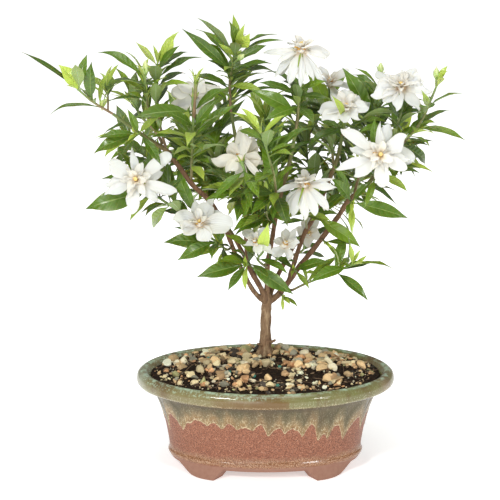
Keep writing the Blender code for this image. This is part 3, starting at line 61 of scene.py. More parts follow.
RISE = RIGHT.cross(AIM - EYE).normalized()
ACROSS_SCALE = 0.982
UP_SCALE = 0.9435
AIM_UP = 164.6
SEED = 7

# The pot: half lengths of its outer lip, and its section as (inwards from the lip, height)
POT_HALF_LENGTH = 101.5
POT_HALF_DEPTH = 65.0
POT_BOTTOM = 3.6
POT_FLOOR = 12.0
DRAIN_RADIUS = 8.0
POT_OUTSIDE = (
    (34, POT_BOTTOM), (29, 4.2), (26.2, 7.4), (24.3, 11.4), (25.4, 16.5), (21.5, 39), (16.5, 54.5),
    (11.5, 63.2), (4.5, 65.2), (1, 67.4), (0, 71), (1.3, 75.2), (4.6, 77.4),
)
POT_INSIDE = ((10.5, 74.4), (15.5, 67), (23, 55), (30, 35), (34, POT_FLOOR))

# A foot's two sections as (height, how far its outer edge and its inner edge lie in from the pot's ends and
# sides, the turns it reaches between, and how round it is: below 1 it bulges at the corner)
FOOT_SECTIONS = ((-2.6, (39, 24.5), (51.5, 37), 60, 20, 0.6), (9, (26.4, 26.4), (44, 44), 67, 9, 1))

# The soil: how high it lies at its rim, how high and how full its mound is, how rough it is with the waves of
# that, how far in from the lip it ends, and its side as (inwards from the lip, height)
SOIL_RIM = 73.8
SOIL_MOUND = 11.2
SOIL_FULLNESS = 3
SOIL_ROUGHNESS = 0.7
SOIL_SWELLS = ((0.31, 1.3), (0.43, 0.4), (0.13, 0.21))
SOIL_EDGE = 12.0
SOIL_OUTSIDE = ((16.5, 66.6), (24.2, 54.6), (31.2, 34.6), (35.0, POT_FLOOR + GAP))

# Where the trunk's foot stands, as (x, y)
TRUNK_FOOT = (-0.3, 14.0)

# The plain leaves and petals: how thick they are, how leaves arch and fold, where their sections lie, how
# wide they are at the root, how clear they keep of other pieces and of their own, and from where on
LEAF_THICKNESS = 1.2
LEAF_ARCH = 0.5
LEAF_FOLD = 0.2
LEAF_STATIONS = (0.3, 0.64)
PETAL_THICKNESS = 1.2
PETAL_STATIONS = (0.5, 0.86)
SMALL_PETAL_STATIONS = (0.6,)
ROOT_HALF_WIDTH = 0.8
CLEARANCE = 0.45
OWN_CLEARANCE = 0.1
LEAF_ROOT = 0.14
PETAL_ROOT = 0.2
PAIR_SPACING = 10.0

# How many sides the stems, the trunk and its limbs have, and how often and how far ahead of itself a stem's
# foot is tried as it draws back from what carries it
STEM_SIDES = 4
TRUNK_SIDES = 9
LIMB_SIDES = 6
FOOT_STEPS = 30
FOOT_PROBE = 2.0

# A collar is a short stretch of stem whose four faces carry leaves: how long it is, how far a ring of the
# path or the next collar keeps from its middle, how far a leaf may slide along the stem to find a free face,
# what a millimetre of that costs against a face that looks the leaf's way, and how many faces it tries
COLLAR = 1.2
COLLAR_CLEAR = 1.45
COLLAR_SPACING = 2.64
COLLAR_REACH = 9.0
SLIDE_COST = 0.08
LEAST_LOOK = -0.2
FACES_TRIED = 5

# The plain buds: (share of the way to the tip, radius), and the radius at the tip
BUD = ((0.3, 0.9), (0.62, 2.0), (0.86, 1.3))
BUD_TIP = 0.1

# The brown wood: (across, up, depth, radius) along each limb
FORK = (1.3, 134.0, 14.0, 4.0)
LIMBS = {
    "trunk": (
        (-0.5, 63.8, 14, 7.2), (-0.5, 86, 14, 8.2), (-0.3, 91.5, 14, 5.7), (0, 98, 14, 4.7),
        (0.4, 118, 14, 4.2), (0.9, 127, 14, 4.1), FORK, (1.5, 139, 14, 3),
    ),
    "left_outer": (
        (1, 131, 13, 2.4), (-9.3, 141, 8, 1.9), (-19.9, 161.5, 2, 1.8), (-26.3, 178.5, -3, 1.8),
        (-34, 197.5, -8, 2), (-45, 215.5, -13, 2), (-57.8, 228.5, -18, 2), (-69.8, 245.3, -22, 2),
        (-78.3, 256.4, -24, 2), (-91.5, 264.8, -28, 1.6), (-108.3, 277.1, -32, 1.4),
        (-120.2, 286.1, -35, 1.2),
    ),
    "second_left": (
        (0.5, 132, 12, 2.4), (-2.3, 141, 9, 2), (-12.1, 158.6, 3, 1.9), (-14.6, 172.5, 0, 1.8),
        (-16.1, 207, -6, 1.7), (-20, 240, -2, 1.6), (-23.2, 264.6, 5, 1.4), (-27.1, 287, 10, 1.3),
    ),
    "centre": (
        (1.4, 135, 14, 2.6), (1.3, 147, 13, 2.2), (2, 164.6, 9, 2), (5.2, 182.6, 3, 1.9),
        (8.4, 203, -2, 1.8), (13, 223.6, -4, 1.7), (19.4, 248.2, -4, 1.6), (24.1, 272.8, -2, 1.5),
    ),
    "right": (
        (2, 131.5, 14.5, 2.8), (10.4, 138.1, 18, 2.5), (18.1, 148.3, 19, 2.3), (27.3, 161.5, 16, 2.2),
        (43.6, 182.8, 9, 2.1), (57.7, 202.5, 3, 2), (66.1, 215.7, 0, 2), (80.1, 228.1, -4, 1.7),
        (88, 238, -6, 1.6), (96, 250, -6, 1.4),
    ),
    "inner_right": (
        (18.1, 147, 19, 2.2), (21.5, 160, 21, 2), (29.6, 185.1, 23, 1.9), (38, 201.5, 24, 1.9),
        (49.3, 229.6, 26, 1.7), (57, 250.8, 26, 1.6), (60.4, 268, 24, 1.5),
    ),
    "back_left": ((1.2, 133, 15, 2.4), (-8, 152, 30, 2), (-22, 180, 52, 1.7), (-38, 207, 68, 1.4)),
    "back_right": ((1.8, 133, 16, 2.4), (9, 152, 34, 2), (24, 180, 56, 1.7), (42, 206, 70, 1.4)),
}

# Each leafy spray: its stems as a path and the radii at its ends, then its leaves as (how far along the stem,
# the tip's across, up and depth, how far the upper side turns from the viewer in degrees, age), its buds as
# (how far along, tip), how much of the stem stays bare of the rule's leaf pairs, and the bloom it ends in
OLD, MID, YOUNG = "old", "mid", "young"
LEAF_WIDTHS = {OLD: 0.32, MID: 0.3, YOUNG: 0.28}
SPRAYS = {
    "left_tip": (
        dict(
            path=((-120.2, 286.1, -35), (-136, 296, -40), (-148, 306.5, -45)), radii=(1.2, 0.9), bare=2,
            leaves=(
                (1, -192, 337, -50, 70, MID), (0.3, -171, 289, -50, 62, MID), (1, -141, 336, -36, 15, OLD),
                (0.6, -137, 329, -50, 20, OLD), (0.97, -150, 327, -58, 160, MID),
                (0.6, -146, 306, -5, 60, MID),
            ),
        ),
        dict(
            path=((-124, 288.6, -36.2), (-124, 300, -30), (-125, 309, -26)), radii=(0.9, 0.8), bare=2,
            leaves=(
                (1, -115.6, 327, -28, 50, YOUNG), (0.4, -97, 299.5, -32, 70, OLD),
                (1, -108, 314, -8, 60, MID), (0.8, -140, 318, -12, 40, MID),
            ),
        ),
    ),
    "left_arm": (
        dict(
            path=((-98, 269.4, -29.5), (-99, 270, -36), (-101, 270, -40)), radii=(1, 0.9), bare=2,
            leaves=(
                (1, -132, 266.5, -46, 40, OLD), (1, -108.3, 290, -46, 10, OLD),
                (0.7, -84, 283, -52, 40, MID), (0.9, -136.6, 254.8, -46, 30, OLD),
                (0.4, -82, 244, -46, 20, OLD), (0.9, -112, 258, -62, 50, MID),
            ),
        ),
    ),
    "left_upper": (
        dict(
            path=((-79.5, 259, -23.5), (-86.7, 271.7, -22), (-97.2, 283, -18), (-105, 296, -10)),
            radii=(1.5, 0.9), bare=0.5, leaves=((1, -118, 326, -2, 60, MID), (1, -88, 318, 2, 50, OLD)),
        ),
        dict(
            path=((-90, 275, -21), (-93, 295, -30), (-95.7, 316, -34)), radii=(1.1, 0.8), bare=0.5,
            buds=((0.85, -94.5, 330, -38),),
            leaves=(
                (0.9, -131.6, 340, -38, 68, OLD), (1, -109, 339, -26, 75, MID),
                (0.75, -116, 315, -44, 55, MID), (0.45, -108, 304, -58, 60, MID),
            ),
        ),
    ),
    "left_shoot": (
        dict(
            path=((-78, 257, -25.5), (-82, 272, -30), (-86, 296, -24), (-85, 315, -19), (-85, 327, -18)),
            radii=(1.3, 1), bare=0.35,
            leaves=(
                (1, -68.9, 355, -14, 30, YOUNG), (1, -102, 345, -14, 150, YOUNG),
                (0.93, -68, 342.5, -28, 45, OLD), (0.86, -50.7, 335, -16, 60, OLD),
                (0.74, -60, 311, -28, 60, MID), (0.74, -104, 312, 6, 50, MID),
            ),
        ),
    ),
    "bloom_left": (
        dict(
            path=(
                (-39, 206, -11), (-52, 203, -20), (-67, 206.4, -26), (-84.6, 217.9, -28), (-96, 227, -26),
            ),
            radii=(1.4, 1.1), bare=0.25, bloom="left",
            leaves=(
                (0.9, -143, 208.5, -34, 10, OLD), (0.93, -118, 258, 0, 60, MID),
                (0.75, -65, 234, -40, 20, OLD), (0.85, -108, 198, -24, 40, YOUNG),
                (0.6, -90, 192, 2, 40, MID), (0.8, -112, 228, 18, 50, MID),
            ),
        ),
    ),
    "bloom_lower_left": (
        dict(
            path=((-25.8, 177, -2.6), (-31, 175, -12), (-41, 183, -20)), radii=(1.2, 1.1), bare=2,
            bloom="lower_left",
            leaves=(
                (0.95, -69.7, 166, -34, 10, MID), (0.75, -80.7, 182, -22, 30, MID),
                (0.6, -58, 170, -4, 25, MID), (0.5, -33, 160, -38, 40, OLD), (0.9, -32, 200, -44, 30, OLD),
            ),
        ),
    ),
    "low_left": (
        dict(
            path=((-13, 162.5, 2.2), (-13.5, 163, -6), (-15, 163, -14)), radii=(1.1, 1), bare=2,
            leaves=(
                (1, -54.4, 152.5, -22, 12, MID), (1, -38, 166, -32, 45, MID),
                (0.6, -30.3, 141, -12, 20, OLD), (0.6, -16, 141, -18, 30, MID), (1, 22.4, 138, -16, 5, MID),
                (0.6, 4, 152, -36, 40, OLD),
            ),
        ),
    ),
    "fork": (
        dict(
            path=((11, 139, 18), (13, 137.5, 11), (13.9, 136.7, 8)), radii=(0.9, 0.8), bare=2,
            leaves=((1, 13.9, 124, 6, 10, YOUNG), (1, 26, 128, 2, 40, MID)),
        ),
    ),
    "top": (
        dict(
            path=((-27.1, 287, 10), (-28, 310.7, 9), (-26, 324.3, 8), (-22.1, 341.3, 6)), radii=(1.3, 1),
            bare=0.1, buds=((0.86, -17, 335, -2),),
            leaves=(
                (0.64, -65.2, 356, 2, 30, OLD), (1, -25.5, 368, 2, 15, MID), (1, -16.5, 360, -2, 10, YOUNG),
                (0.85, -53, 366, 14, 120, MID), (0.8, -54, 358, 26, 60, OLD),
                (0.95, 9.1, 352.4, 2, 80, OLD), (0.88, 13.9, 347, -8, 80, OLD),
                (0.62, 5.2, 329, 0, 60, MID), (0.75, 1.3, 343, 22, 40, OLD), (0.4, -58, 318, 4, 50, OLD),
                (0.4, -2, 306, -6, 30, MID),
            ),
        ),
    ),
    "bloom_top_left": (
        dict(
            path=((-58.5, 229.5, -18.5), (-58, 248, -30), (-57, 272, -38), (-57, 288, -36)),
            radii=(1.3, 1.1), bare=0.25, bloom="top_left", buds=((0.82, -53, 341, -60),),
            leaves=(
                (0.92, -103.5, 284, -50, 35, OLD), (0.65, -78, 288, -54, 30, OLD),
                (0.95, -30, 309, -40, 50, OLD), (0.7, -37, 300, -46, 15, OLD),
                (0.5, -74, 252, -56, 120, MID), (0.4, -30, 262, -52, 110, MID),
            ),
        ),
    ),
    "bloom_centre": (
        dict(
            path=((-16.2, 208, -6), (-15, 222, -24), (-16, 236, -34)), radii=(1.2, 1.1), bare=2,
            bloom="centre", leaves=((0.7, -52, 240, -46, 60, OLD), (0.5, -48, 216, -40, 50, OLD)),
        ),
        dict(
            path=((-15.6, 213, -13), (-25, 219, -9), (-33, 232, 4), (-42, 252, 12)), radii=(1.1, 0.9),
            bare=0.25,
        ),
    ),
    "centre_front": (
        dict(
            path=((8.5, 205, -2.4), (8.5, 216, -26), (7, 234, -52), (2, 254, -62), (-3, 270, -62)),
            radii=(1.3, 0.9), bare=0.3, buds=((0.8, 2.5, 285, -68),),
            leaves=(
                (1, -19.2, 292.5, -58, 30, YOUNG), (1, 16.2, 286, -58, 40, YOUNG),
                (0.85, 22, 262, -66, 50, MID), (0.5, 24, 244, -56, 50, OLD), (0.35, -18, 222, -62, 45, OLD),
            ),
        ),
    ),
    "bloom_top": (
        dict(
            path=((24.1, 272.8, -2), (26, 290, 0), (27, 308, 2), (28, 320, 2)), radii=(1.5, 1.2), bare=0.1,
            bloom="top",
            leaves=(
                (0.62, -5, 313, -10, 50, OLD), (0.85, 0, 324, 10, 70, MID), (0.66, 48, 313, -16, 40, OLD),
                (0.6, 50, 299, -8, 30, OLD), (0.4, -1, 281, -24, 20, OLD), (0.4, 38.3, 279, -30, 30, OLD),
                (0.3, -12, 306, -10, 20, OLD),
            ),
        ),
    ),
    "bloom_mid_right": (
        dict(
            path=((32.5, 192, 23.2), (32, 197, 6), (31, 206, -12)), radii=(1.2, 1.1), bare=2,
            bloom="mid_right", leaves=((0.6, 12, 196, 2, 40, OLD), (0.8, 52, 196, -24, 40, MID)),
        ),
    ),
    "centre_young": (
        dict(
            path=((7.2, 197, -0.6), (2, 201, -14), (0.5, 208, -27), (1, 217, -34)), radii=(1.1, 0.9),
            bare=2,
            leaves=(
                (1, -8.2, 227, -44, 30, YOUNG), (0.6, -20, 204, -44, 40, OLD),
                (0.3, -22, 190, -34, 30, OLD), (0.6, 22, 197, -48, 35, OLD),
            ),
        ),
    ),
    "inner_right": (
        dict(
            path=((38, 201.5, 24), (39, 201, 8), (40, 201, -4)), radii=(1.3, 1.1), bare=2,
            leaves=((1, 76, 177, -14, 10, MID), (0.7, 62, 222, -16, 40, OLD)),
        ),
    ),
    "inner_side": (
        dict(
            path=((39.5, 205.5, 24.3), (53.3, 210.5, 34), (68, 222, 44), (76, 240, 52)), radii=(1.2, 0.9),
            bare=0.2,
        ),
        dict(
            path=((46.4, 208, 29), (40, 224, 44), (34, 244, 52), (32, 266, 56)), radii=(1.1, 0.9), bare=0.2,
        ),
    ),
    "low_blooms": (
        dict(
            path=((1.9, 160, 10), (-2, 162.5, -2), (-6, 167, -14)), radii=(1.4, 1.1), bare=2,
            bloom="low_left", leaves=((1, -32, 188, -40, 60, MID),),
        ),
        dict(
            path=((-1.4, 162.1, -0.4), (4, 165, -5), (9, 166.5, -9)), radii=(1.1, 1.1), bare=2,
            bloom="low_right",
        ),
    ),
    "bloom_low_back": (
        dict(
            path=((18, 169.5, 48.5), (26, 172, 44), (30, 175, 42)), radii=(1.2, 1.1), bare=2,
            bloom="low_back", leaves=((0.5, 50, 168, 62, 60, OLD),),
        ),
    ),
    "lower_right": (
        dict(
            path=(
                (15.5, 145, 18.7), (20.7, 141.6, 12), (30.1, 146.1, 4), (47.8, 153.5, -8),
                (69.7, 163.1, -18),
            ),
            radii=(1.3, 0.9), bare=2,
            leaves=(
                (0.93, 35, 149, -34, 30, OLD), (0.75, 81.5, 133, -22, 30, OLD), (1, 101, 160, -22, 75, MID),
                (1, 66.5, 180, -22, 20, YOUNG), (1, 75, 175, -16, 20, YOUNG), (0.8, 84, 164, 12, 60, OLD),
                (0.5, 56, 170, 12, 50, OLD),
            ),
        ),
    ),
    "right_low": (
        dict(
            path=((23.5, 156, 17.3), (24, 157, 8), (23, 158, 2)), radii=(1, 0.9), bare=2,
            leaves=((1, 35, 143, -8, 20, MID), (1, 50, 166, -14, 30, OLD), (0.8, 2, 172, -28, 40, OLD)),
        ),
    ),
    "right_mid": (
        dict(
            path=((44.2, 183.6, 8.6), (46, 182, 0), (47, 181, -4)), radii=(1, 0.9), bare=2,
            leaves=((1, 68, 180, -26, 40, MID), (1, 58, 168, -2, 30, MID)),
        ),
    ),
    "right_node": (
        dict(
            path=((66.1, 215.7, 0), (67.5, 214, -8), (68, 213.5, -12)), radii=(1.1, 1), bare=2,
            leaves=(
                (1, 113, 200.7, -18, 18, MID), (1, 64, 203, -26, 10, OLD), (0.8, 84, 232, -26, 20, OLD),
                (0.8, 52, 234, -26, 30, OLD),
            ),
        ),
    ),
    "bloom_right": (
        dict(
            path=((82, 230.5, -4.5), (88, 234, -14), (91, 243, -20)), radii=(1.2, 1.1), bare=2,
            bloom="right",
            leaves=(
                (0.7, 133, 241, -18, 65, YOUNG), (0.6, 113, 223, -20, 30, MID),
                (0.8, 74, 268, -16, 50, MID),
            ),
        ),
    ),
    "far_right": (
        dict(
            path=(
                (96, 250, -6), (104.5, 258, -8), (121.4, 277.7, -11), (132.2, 302.1, -12),
                (136, 312.4, -12),
            ),
            radii=(1.3, 0.9), bare=0.6, buds=((1, 135, 324, -14),),
            leaves=(
                (0.32, 158, 264.5, -22, 60, MID), (0.62, 155, 304, -14, 80, OLD),
                (0.45, 134, 279, -30, 60, MID), (1, 143.5, 326, -12, 20, YOUNG),
                (0.95, 141, 316, -30, 150, YOUNG), (0.72, 124, 304, -30, 20, MID),
                (0.5, 146, 290, 12, 60, MID), (0.2, 128, 244, 14, 50, OLD),
            ),
        ),
        dict(
            path=((100.5, 254, -7), (102, 268, -2), (106, 284, 0), (108, 292, 0)), radii=(1.2, 1.1),
            bare=0.3, bloom="upper_right",
            leaves=(
                (0.8, 94, 299, -14, 40, OLD), (0.6, 72, 270, -20, 70, MID), (0.75, 74, 284, -16, 130, MID),
                (0.85, 128, 288, 14, 60, OLD),
            ),
        ),
    ),
    "right_back": (
        dict(
            path=((69.5, 218.7, -1), (73, 232, 10), (82, 262, 22), (86, 285, 22), (90.3, 312, 18)),
            radii=(1.4, 0.9), bare=0.3, buds=((1, 91, 328, 17),),
            leaves=(
                (0.65, 61.6, 325, 8, 30, OLD), (0.95, 71, 324, 16, 65, MID), (0.55, 110, 278, 12, 75, MID),
            ),
        ),
    ),
    "bloom_upper_mid": (
        dict(
            path=((60.4, 268, 24), (62, 274, 16), (62.5, 278, 8)), radii=(1.4, 1.1), bare=2,
            bloom="upper_mid",
            leaves=(
                (0.7, 46, 304, 22, 60, YOUNG), (0.7, 96, 282, -6, 70, MID), (0.6, 34, 262, -6, 50, OLD),
                (0.4, 40, 282, 30, 40, OLD),
            ),
        ),
    ),
    "bloom_back": (
        dict(
            path=((54, 241.5, 26), (52, 262, 40), (50, 284, 46), (51, 298, 44)), radii=(1.3, 1.1),
            bare=0.25, bloom="back", leaves=((0.75, 32, 324, 34, 30, MID), (0.7, 20, 290, 34, 40, OLD)),
        ),
    ),
    "back_left": (
        dict(
            path=((-38, 207, 68), (-52, 232, 78), (-62, 262, 82), (-64, 284, 80)), radii=(1.4, 0.9),
            bare=0.15,
        ),
        dict(
            path=((-50, 229, 77), (-76, 240, 68), (-98, 254, 54), (-112, 268, 42)), radii=(1.2, 0.9),
            bare=0.25,
        ),
        dict(path=((-57, 247, 80), (-42, 268, 92), (-30, 288, 96)), radii=(1.1, 0.9), bare=0.3),
        dict(
            path=((-46.4, 222, 74), (-44, 232, 48), (-52, 250, 26), (-60, 272, 14)), radii=(1.2, 0.9),
            bare=0.35,
        ),
    ),
    "back_centre": (
        dict(
            path=((-14, 165, 40.5), (-8, 190, 56), (-2, 220, 68), (0, 256, 66), (0, 286, 56)),
            radii=(1.5, 0.9), bare=0.3,
        ),
        dict(
            path=((-3, 214, 66), (-20, 236, 48), (-40, 262, 40), (-50, 292, 36)), radii=(1.2, 0.9),
            bare=0.3,
        ),
        dict(
            path=((-7.3, 193.5, 57.4), (6, 208, 38), (10, 232, 26), (6, 258, 26)), radii=(1.2, 0.9),
            bare=0.25,
        ),
    ),
    "back_right": (
        dict(
            path=((42, 206, 70), (58, 230, 80), (68, 258, 84), (70, 280, 80)), radii=(1.4, 0.9), bare=0.15,
        ),
        dict(
            path=((56, 226.5, 78.5), (80, 234, 66), (100, 250, 52), (110, 268, 40)), radii=(1.2, 0.9),
            bare=0.25,
        ),
        dict(path=((63, 244, 82), (46, 264, 92), (34, 284, 94)), radii=(1.1, 0.9), bare=0.3),
    ),
}

# Each open bloom: where its middle is, which way it faces, how large it is, how far its outer and middle
# petals open from the axis in degrees, how many of each it has, and how far round they start
BLOOMS = {
    "left": dict(
        at=(-101.3, 232, -38), faces=(-0.12, -0.95, 0.3), size=1, opening=(98, 80), petals=(5, 5), spin=12,
    ),
    "lower_left": dict(
        at=(-51.8, 196, -36), faces=(-0.2, -0.5, 0.85), size=0.86, opening=(100, 62), petals=(5, 4),
        spin=30,
    ),
    "low_left": dict(
        at=(-6.6, 180.5, -32), faces=(-0.45, -0.35, 0.82), size=0.66, opening=(95, 55), petals=(4, 4),
        spin=10,
    ),
    "low_right": dict(
        at=(15, 178.5, -16), faces=(0.4, -0.3, 0.86), size=0.66, opening=(98, 60), petals=(4, 4), spin=0,
    ),
    "low_back": dict(
        at=(33.6, 187, 38), faces=(0.25, -0.5, 0.83), size=0.7, opening=(100, 62), petals=(4, 4), spin=0,
    ),
    "mid_right": dict(
        at=(30.9, 228, -30), faces=(0, -0.28, 0.96), size=0.98, opening=(142, 98), petals=(6, 4), spin=18,
    ),
    "top": dict(
        at=(28.1, 338.5, 0), faces=(0.05, -0.28, 0.96), size=0.98, opening=(142, 98), petals=(6, 4),
        spin=44,
    ),
    "right": dict(
        at=(89.7, 252.2, -32), faces=(0.15, -0.95, 0.3), size=1, opening=(98, 80), petals=(5, 5), spin=-20,
    ),
    "upper_right": dict(
        at=(107, 308, -4), faces=(0, -0.55, 0.83), size=0.9, opening=(98, 58), petals=(5, 4), spin=25,
    ),
    "upper_mid": dict(
        at=(63, 291, -2), faces=(0.1, -0.5, 0.86), size=0.88, opening=(105, 62), petals=(5, 4), spin=5,
    ),
    "top_left": dict(
        at=(-55.5, 302.5, -18), faces=(0.15, 0.82, 0.55), size=0.9, opening=(100, 70), petals=(5, 4),
        spin=15,
    ),
    "centre": dict(
        at=(-20, 251, -36), faces=(-0.3, 0.5, 0.81), size=0.84, opening=(112, 70), petals=(5, 4), spin=0,
    ),
    "back": dict(
        at=(51.3, 312, 40), faces=(0, -0.4, 0.92), size=0.7, opening=(100, 60), petals=(4, 4), spin=20,
    ),
}

# A plain petal's width for its length, and how many inner ones there are and how far they open
PETAL_WIDTH = 0.5
INNER_PETALS = 3
INNER_OPENING = 44

# The outer, middle and inner petals as (length, arch, fold, stations), and how far each one strays
PETAL_LAYERS = (
    (25.0, 0.5, -0.15, PETAL_STATIONS),
    (22.5, 0.45, 0.25, PETAL_STATIONS),
    (11.5, 0.5, 0.35, SMALL_PETAL_STATIONS),
)
OPENING_STRAY = 8.0
PETAL_REACHES = (0.92, 1.08)
PETAL_TWISTS = (8.0, 18.0)
SHORTER_PETALS = (1.0, 0.85, 0.7, 0.55)
FURTHER_TWIST = 0.15
LAYER_TURN = math.pi / 7

# The hub's bands, the stigma and the calyx, each as (along, radius)
HUB_BANDS = (((-4.0, 2.2), (-1.4, 3.0)), ((-0.9, 3.1), (0.2, 2.6)), ((0.5, 1.9), (1.4, 1.6)))
STIGMA = ((1.8, 0.8), (5.5, 1.7), (7.5, 0.6))
CALYX = ((9.5, 1.3), (4.0, 2.0))
CALYX_GAP = 0.35
STIGMA_SIDES = 6

# Leaves of the rule keep this far from a bloom's middle as it is seen, unless they lie this far behind it
BLOOM_SIGHT_RADIUS = 25.0
BLOOM_SIGHT_DEPTH = 8

# The outline that the rule's own leaves keep within, as (across, up), and how far they reach in depth
CROWN_OUTLINE = (
    (-150, 310), (-130, 288), (-134, 269), (-130, 248), (-134, 215), (-103, 199), (-75, 179), (-48, 158),
    (-3, 156), (51, 154), (78, 165), (67, 183), (106, 211), (126, 244), (138, 281), (130, 310), (102, 314),
    (63, 324), (41, 310), (4, 330), (-24, 351), (-52, 347), (-75, 338), (-103, 330), (-130, 318),
)
CROWN_DEPTHS = (-92.0, 118.0)


def spot(across, up, depth):
    """The point at this depth on the sight line through (across, up) of the layout picture."""
    picture = AIM + RIGHT * ((across - AIM.x) * ACROSS_SCALE) + RISE * (up * UP_SCALE - AIM_UP)
    sight = picture - EYE
    return EYE + sight * ((depth - EYE.y) / sight.y)


def seen_at(point):
    """Where the sight line to this point crosses the layout picture, as (across, up)."""
    sight = point - EYE
    offset = EYE + sight * ((AIM - EYE).length_squared / sight.dot(AIM - EYE)) - AIM
    return offset.x / ACROSS_SCALE + AIM.x, (offset.dot(RISE) + AIM_UP) / UP_SCALE


def facing_out(points, faces):
    """The same closed surface with its faces pointing out."""
    volume = 0.0
    for face in faces:
        corners = [points[index] for index in face]
        for second, third in zip(corners[1:-1], corners[2:]):
            volume += corners[0].dot(second.cross(third))
    return (points, faces) if volume > 0 else (points, [tuple(reversed(face)) for face in faces])


class Surface:
    """A closed surface that grows: a loop of points is pulled out of one of its faces, ring by ring."""

    def __init__(self):
        self.points = []
        self.faces = {}

    def ring(self, places):
        start = len(self.points)
        self.points.extend(places)
        return list(range(start, len(self.points)))

    def add(self, *face):
        self.faces[face] = True

    def bridge(self, first, second):
        """Joins two loops that run the same way round, turned so that the diagonals are short."""
        count, other = len(first), len(second)
        best = None
        for start in range(other):
            onward = second[start:] + second[:start]
            faces = []
            reach = i = j = 0
            while i < count or j < other:
                here, there = first[i % count], onward[j % other]
                reach += (self.points[here] - self.points[there]).length
                if i < count and (i + 1) * other <= (j + 1) * count:
                    i += 1
                    faces.append((here, first[i % count], there))
                else:
                    j += 1
                    faces.append((here, onward[j % other], there))
            if best is None or reach < best[0]:
                best = (reach, faces)
        for face in best[1]:
            self.add(*face)

    def band(self, first, second):
        """Joins two equal loops with four-sided faces and returns them."""
        count = len(first)
        made = []
        for side in range(count):
            following = (side + 1) % count
            made.append((first[side], first[following], second[following], second[side]))
            self.add(*made[-1])
        return made

    def close(self, loop, tip=None):
        """Ends a loop flat, or at a tip."""
        if tip is None:
            self.add(*loop)
            return
        (end,) = self.ring([tip])
        for side, here in enumerate(loop):
            self.add(here, loop[(side + 1) % len(loop)], end)

    def pull(self, face, rings, tip):
        """Grows a blade or a bud out of a face."""
        del self.faces[face]
        loop = list(face)
        for places in rings:
            onward = self.ring(places)
            self.bridge(loop, onward)
            loop = onward
        self.close(loop, tip)

    def spoilt_by(self, face, rings, tip):
        """Whether a piece pulled out of this face would cross the rest of the surface, or itself."""
        grown = Surface()
        grown.points = list(self.points)
        grown.faces[face] = True
        grown.pull(face, rings, tip)
        added = triangles_of(grown.faces)
        standing = triangles_of(other for other in self.faces if other != face)
        tree = BVHTree.FromPolygons(grown.points, added)
        for one, other in tree.overlap(BVHTree.FromPolygons(grown.points, standing)):
            if cross_beyond(grown.points, added[one], standing[other]):
                return True
        for one, other in tree.overlap(tree):
            if one < other and cross_beyond(grown.points, added[one], added[other]):
                return True
        return False

    def solid(self):
        return self.points, list(self.faces)


def triangles_of(faces):
    return [(face[0], second, third) for face in faces for second, third in zip(face[1:-1], face[2:])]


def cross_beyond(points, one, other):
    """Whether two overlapping triangles cross anywhere but at corners they share."""
    shared = set(one) & set(other)
    if len(shared) != 1:
        return not shared
    for these, those in ((one, other), (other, one)):
        start, end = [points[corner] for corner in these if corner not in shared]
        hit = intersect_ray_tri(*[points[corner] for corner in those], end - start, start, True)
        if hit and 0 <= (hit - start).dot(end - start) <= (end - start).length_squared:
            return True
    return False


def ring_solid(rings, tip=None):
    """A closed surface through rings that run anticlockwise seen from the last one."""
    surface = Surface()
    loops = [surface.ring(ring) for ring in rings]
    surface.close(loops[0][::-1])
    for first, second in zip(loops, loops[1:]):
        surface.bridge(first, second)
    surface.close(loops[-1], tip)
    return facing_out(*surface.solid())


def across_pair(direction):
    """Two unit vectors square to this direction and to each other."""
    helper = Vector((0, 1, 0)) if abs(direction.y) < 0.9 else Vector((1, 0, 0))
    first = direction.cross(helper).normalized()
    return first, direction.cross(first).normalized()


def heading(first, second, turn):
    """The direction that is turned this far from the first towards the second."""
    return first * math.cos(turn) + second * math.sin(turn)


def drawn(draw, ranges):
    """One number out of each named range, drawn in order."""
    return SimpleNamespace(**{name: draw.uniform(*span) for name, span in ranges.items()})


def around(count):
    """Turns that divide a full turn evenly."""
    return [TURN * side / count for side in range(count)]


def tube_rings(points, radii, sides):
    """Rings square to a path, without twist."""
    rings = []
    tangent = (points[1] - points[0]).normalized()
    first, _ = across_pair(tangent)
    for index, (point, radius) in enumerate(zip(points, radii)):
        before = points[max(index - 1, 0)]
        after = points[min(index + 1, len(points) - 1)]
        tangent = (after - before).normalized()
        first = (first - tangent * first.dot(tangent)).normalized()
        second = tangent.cross(first)
        rings.append([point + heading(first, second, turn) * radius for turn in around(sides)])
    return rings


def tube(points, radii, sides):
    return ring_solid(tube_rings(points, radii, sides))


def turned(centre, axis, section, sides):
    """A turned solid on an axis, through (along, radius) sections."""
    return tube([centre + axis * along for along, _ in section], [radius for _, radius in section], sides)


def leaf_width(u):
    return math.sin(math.pi * u**0.9)


def petal_width(u):
    return max(math.sin(math.pi * u**1.5), 0.0) ** 0.6


